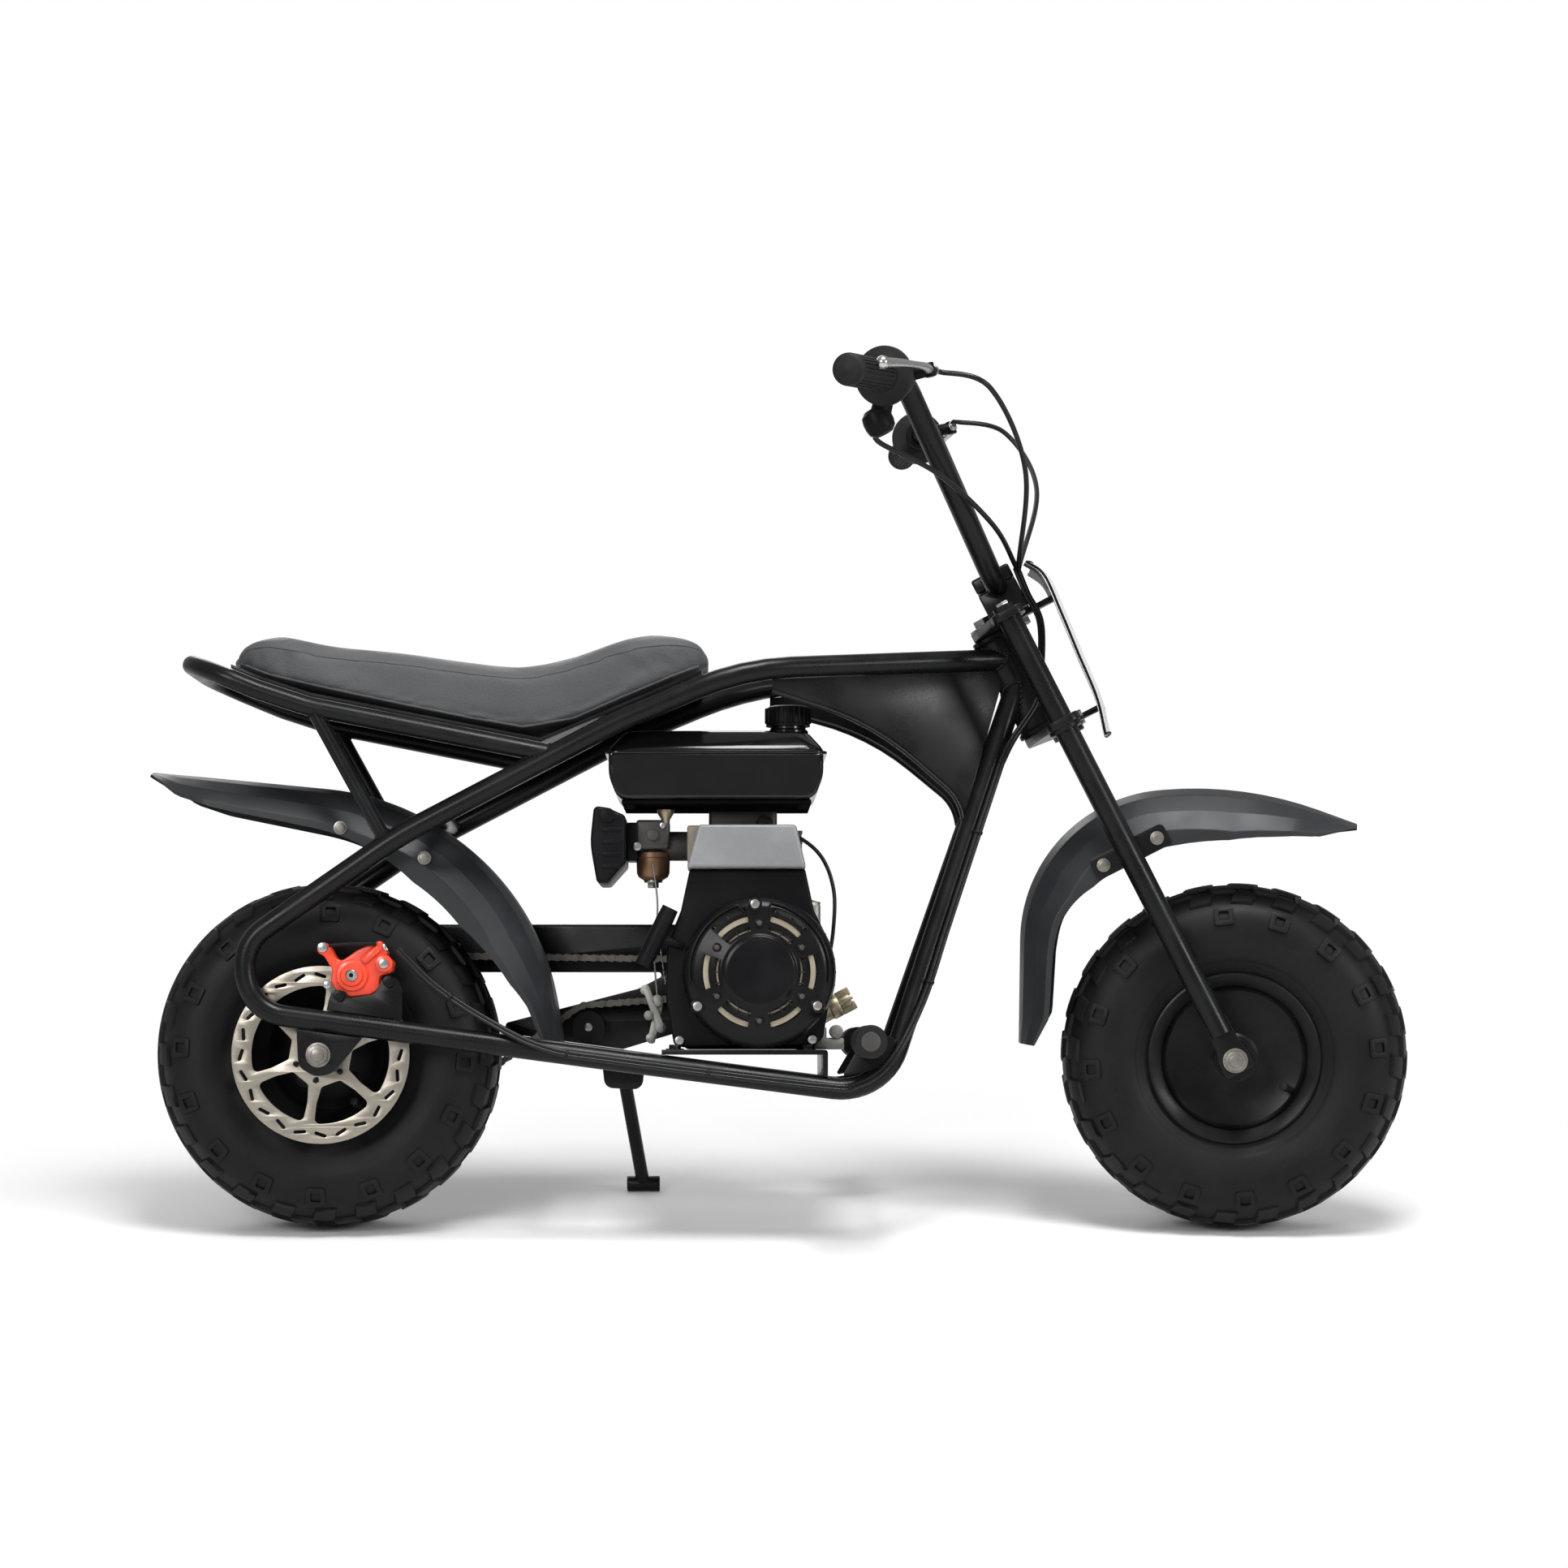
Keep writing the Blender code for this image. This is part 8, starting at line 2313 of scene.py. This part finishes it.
@dataclass
class Pegs:
    """The foot peg bar, its gussets and the ribbed rubber pegs."""

    shop: Workshop
    x: float = FOOT_BEND_X - 0.016
    z: float = 0.191
    radius: float = 0.0085

    def build(self) -> None:
        """Builds the pegs."""
        x, z = self.x, self.z
        bar = Shape().rod((x, -0.215, z), (x, 0.215, z), self.radius, 32)
        corners = [(x - 0.0245, 0.1562, 0.002), (x + 0.022, 0.165, 0.004), (x + 0.032, 0.195, 0.006),
                   (x + 0.006, 0.199, 0.006), (x - 0.006, 0.188, 0.006)]
        for side in (LEFT, RIGHT):
            low, high = sorted((side * (HALF - 0.003), side * (HALF + 0.003)))
            gusset = Shape().slab([soft_outline(corners)], low, high, 0.0006)
            run = [(p.x, p.y * side, p.z) for p in rounded(RAIL)]
            gusset.cut(Shape().tube(run, RAIL_R + 0.0001, 28))
            bar.take(gusset.mesh)
        self.shop.on_bike("peg_bar", bar, POWDER, "peg_bar")
        for side, name in SIDES:
            start, end = 0.122, 0.221
            inner = self.radius + 0.0002
            profile = [(inner, start), (0.0158, start), (0.0165, start + 0.0008), (0.0165, start + 0.0052),
                       (0.0158, start + 0.0060)]
            ribs = 11
            step = (end - start - 0.014) / ribs
            for k in range(ribs):
                y = start + 0.0065 + step * k
                profile += [(0.0146, y + step * 0.12), (0.0146, y + step * 0.38), (0.0162, y + step * 0.52),
                            (0.0162, y + step * 0.92)]
            profile += [(0.0165, end - 0.0060), (0.0165, end - 0.0022), (0.0150, end - 0.0004), (0.0120, end),
                        (0.0, end), (0.0, end - 0.0050), (inner, end - 0.0050)]
            shape = Shape().turned(profile,
                                   Matrix.Translation((x, 0, z)) @ Matrix.Scale(side, 4, (0, 1, 0)) @ ALONG_Y, 48)
            self.shop.on_bike(f"{name}_foot_peg", shape, SOFT_RUBBER, f"{name}_foot_peg")
            cap = Shape().turned([(0.0, end + 0.0002), (0.0092, end + 0.0002), (0.0100, end - 0.0004),
                                  (0.0100, end - 0.0030), (0.0, end - 0.0030)],
                                 Matrix.Translation((x, 0, z)) @ Matrix.Scale(side, 4, (0, 1, 0)) @ ALONG_Y, 40)
            self.shop.on_bike(f"{name}_peg_cap", cap, DARK_CAST)


@dataclass
class Stand:
    """The side stand's leg with its foot, about its pivot."""

    shop: Workshop
    radius: float = 0.0072
    length: float = 0.140

    DOWN = Vector((0.139, 0.515, -0.857)).normalized()
    AXIS = DOWN.cross(Vector((-1.0, 0.03, 0.08)).normalized()).normalized()

    def build(self) -> None:
        """Builds the leg."""
        foot = self.DOWN * self.length
        shape = Shape().tube([self.DOWN * (0.0080 + (self.length - 0.0080) * k / 6) for k in range(7)], self.radius, 28)
        shape.turned([(0.0046, -0.0075), (0.0088, -0.0075), (0.0095, -0.0068), (0.0095, 0.0068), (0.0088, 0.0075),
                      (0.0046, 0.0075)],
                     between((0, 0, 0), self.AXIS), 40)
        shape.rod(foot - Vector((0.018, 0, -0.001)), foot + Vector((0.018, 0, 0.001)), 0.0085, 28, 0.0015)
        self.shop.piece("side_stand", shape, self.shop.rig.stand, "stand", POWDER, ("side_stand",))


@dataclass
class Cables:
    """The control cables from the bar and the bundle down to the caliper, with their ties."""

    shop: Workshop
    sheath: float = 0.0026
    bundle: float = 0.0038

    THROTTLE = ((-0.1083, -0.214, 0.790), (-0.0693, -0.170, 0.760), (-0.0193, -0.100, 0.716), (0.0029, -0.037, 0.676))
    RIGHT_BRAKE = ((-0.0693, -0.224, 0.866), (-0.0193, -0.190, 0.842), (0.0127, -0.110, 0.770),
                   (0.0031, -0.037, 0.6755))
    LEFT_BRAKE = ((-0.0633, 0.236, 0.868), (-0.0193, 0.190, 0.842), (0.0187, 0.080, 0.770), (0.0031, -0.0345, 0.6755))
    UPPER = ((0.0545, -0.036, 0.104), (0.0520, -0.037, 0.075), (0.0510, -0.038, 0.0425), (0.0300, -0.040, 0.0),
             (0.0120, -0.041, -0.028))
    LOWER = ((HEAD.x - 0.0187, -0.0396, 0.476), (HEAD.x - 0.0476, -0.0590, 0.3916), (HEAD.x - 0.0764, -0.0784, 0.307),
             (HEAD.x - 0.1024, -0.0959, 0.231), (HEAD.x - 0.1349, -0.1165, 0.172), (HEAD.x - 0.1694, -0.1203, 0.148),
             (HEAD.x - 0.2094, -0.1203, 0.147), (0.300, -0.1203, 0.172), (0.230, -0.1203, 0.184),
             (0.176, -0.1130, 0.209), (0.120, -0.1080, 0.245), (0.080, -0.1042, 0.284))

    def build(self) -> None:
        """Builds the cables."""
        rig = self.shop.rig
        to_bike = rig.bike.inverted() @ rig.fork
        down = Vector(self.LOWER[1]) - Vector(self.LOWER[0])
        last = Vector(self.LOWER[0]) - down.normalized() * 0.0006
        route = [to_bike @ Vector(p) for p in self.UPPER] + [last - down * 0.30 + Vector((0.004, -0.003, 0.0)), last]
        shape = Shape()
        for side, run in ((0, self.THROTTLE), (RIGHT, self.RIGHT_BRAKE), (LEFT, self.LEFT_BRAKE)):
            points = [to_fork((HEAD.x + x, y, z)) for x, y, z in run]
            at, way = Handlebar(self.shop).anchor(side) if side else Handlebar(self.shop).neck()
            points = [at, at + way * 0.014, *points[1:]]
            shape.tube(flowing([to_bike @ p for p in points], 60), self.sheath, 14)
        upper = flowing(route, 80)
        self.strands(shape, upper)
        piece = self.shop.piece("upper_cables", shape, rig.bike, "", CABLE, ("upper_cables",))
        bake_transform(piece)
        lower = Shape()
        path = flowing(self.LOWER, 160)
        self.strands(lower, path)
        self.shop.on_bike("lower_cables", lower, CABLE, "lower_cables")
        ties = Shape()
        for k in (14, 44, 70, 96, 122, 146):
            way = (path[k + 1] - path[k - 1]).normalized()
            ties.rod(path[k] - way * 0.0016, path[k] + way * 0.0016, 0.0046, 24, 0.0006)
        self.shop.on_bike("cable_ties", ties, SOFT_RUBBER)

    def strands(self, shape: Shape, path: list[Vector]) -> None:
        """Adds two cables that lie side by side along a path."""
        for sign in (-1, 1):
            run = []
            for i, p in enumerate(path):
                way = (path[min(i + 1, len(path) - 1)] - path[max(i - 1, 0)]).normalized()
                side = way.cross(Vector((0, 1, 0))).normalized()
                run.append(p + side * (sign * 0.0017))
            shape.tube(run, self.bundle - 0.0017, 12)


def main() -> None:
    """Builds the bike's dressing in order."""
    logging.basicConfig(level=logging.INFO, format="%(name)s: %(message)s", stream=sys.stdout, force=True)
    random.seed(7)
    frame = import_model()
    rig = Rig.read(frame["joints"])
    shop = Workshop(rig)
    Studio().build(rig.bike)
    Chassis(shop).build()
    Fender(shop, "rear_fender", ((-0.176, 0, 0.468, 0), (0.199, 0, 0.432, 0.262), (0.242, 0, 0.192, 0)),
           Fender.REAR_SKIRT, False, ((0.019, 0.408), (0.104, 0.3775))).build()
    front = [(*to_fork((WHEELBASE + x, 0, z)), r)
             for x, z, r in ((-0.220, 0.192, 0), (-0.217, 0.440, 0.155), (0.009, 0.458, 0.37), (0.123, 0.416, 0))]
    Fender(shop, "front_fender", front, Fender.FRONT_SKIRT, True, ()).build()
    for name, body, place in (("rear", "rear_wheel", rig.rear_wheel), ("front", "front_wheel", rig.front_wheel)):
        Tyre(shop, f"{name}_tyre", place, body, turn=-0.13 if name == "rear" else 0.0).build()
        Rim(shop, f"{name}_rim", place, body, *((0.0847, 0.0832) if name == "rear" else (0.0855, 0.0855)),
            name == "front").build()
    RearWheel(shop).build()
    Axles(shop).build()
    Chain(shop).build()
    Engine(shop).build()
    Brake(shop).build()
    Fork(shop).build()
    Handlebar(shop).build()
    Seat(shop).build()
    Pegs(shop).build()
    Stand(shop).build()
    Cables(shop).build()
    log.info("%d pieces", shop.made)


if __name__ == "__main__":
    main()
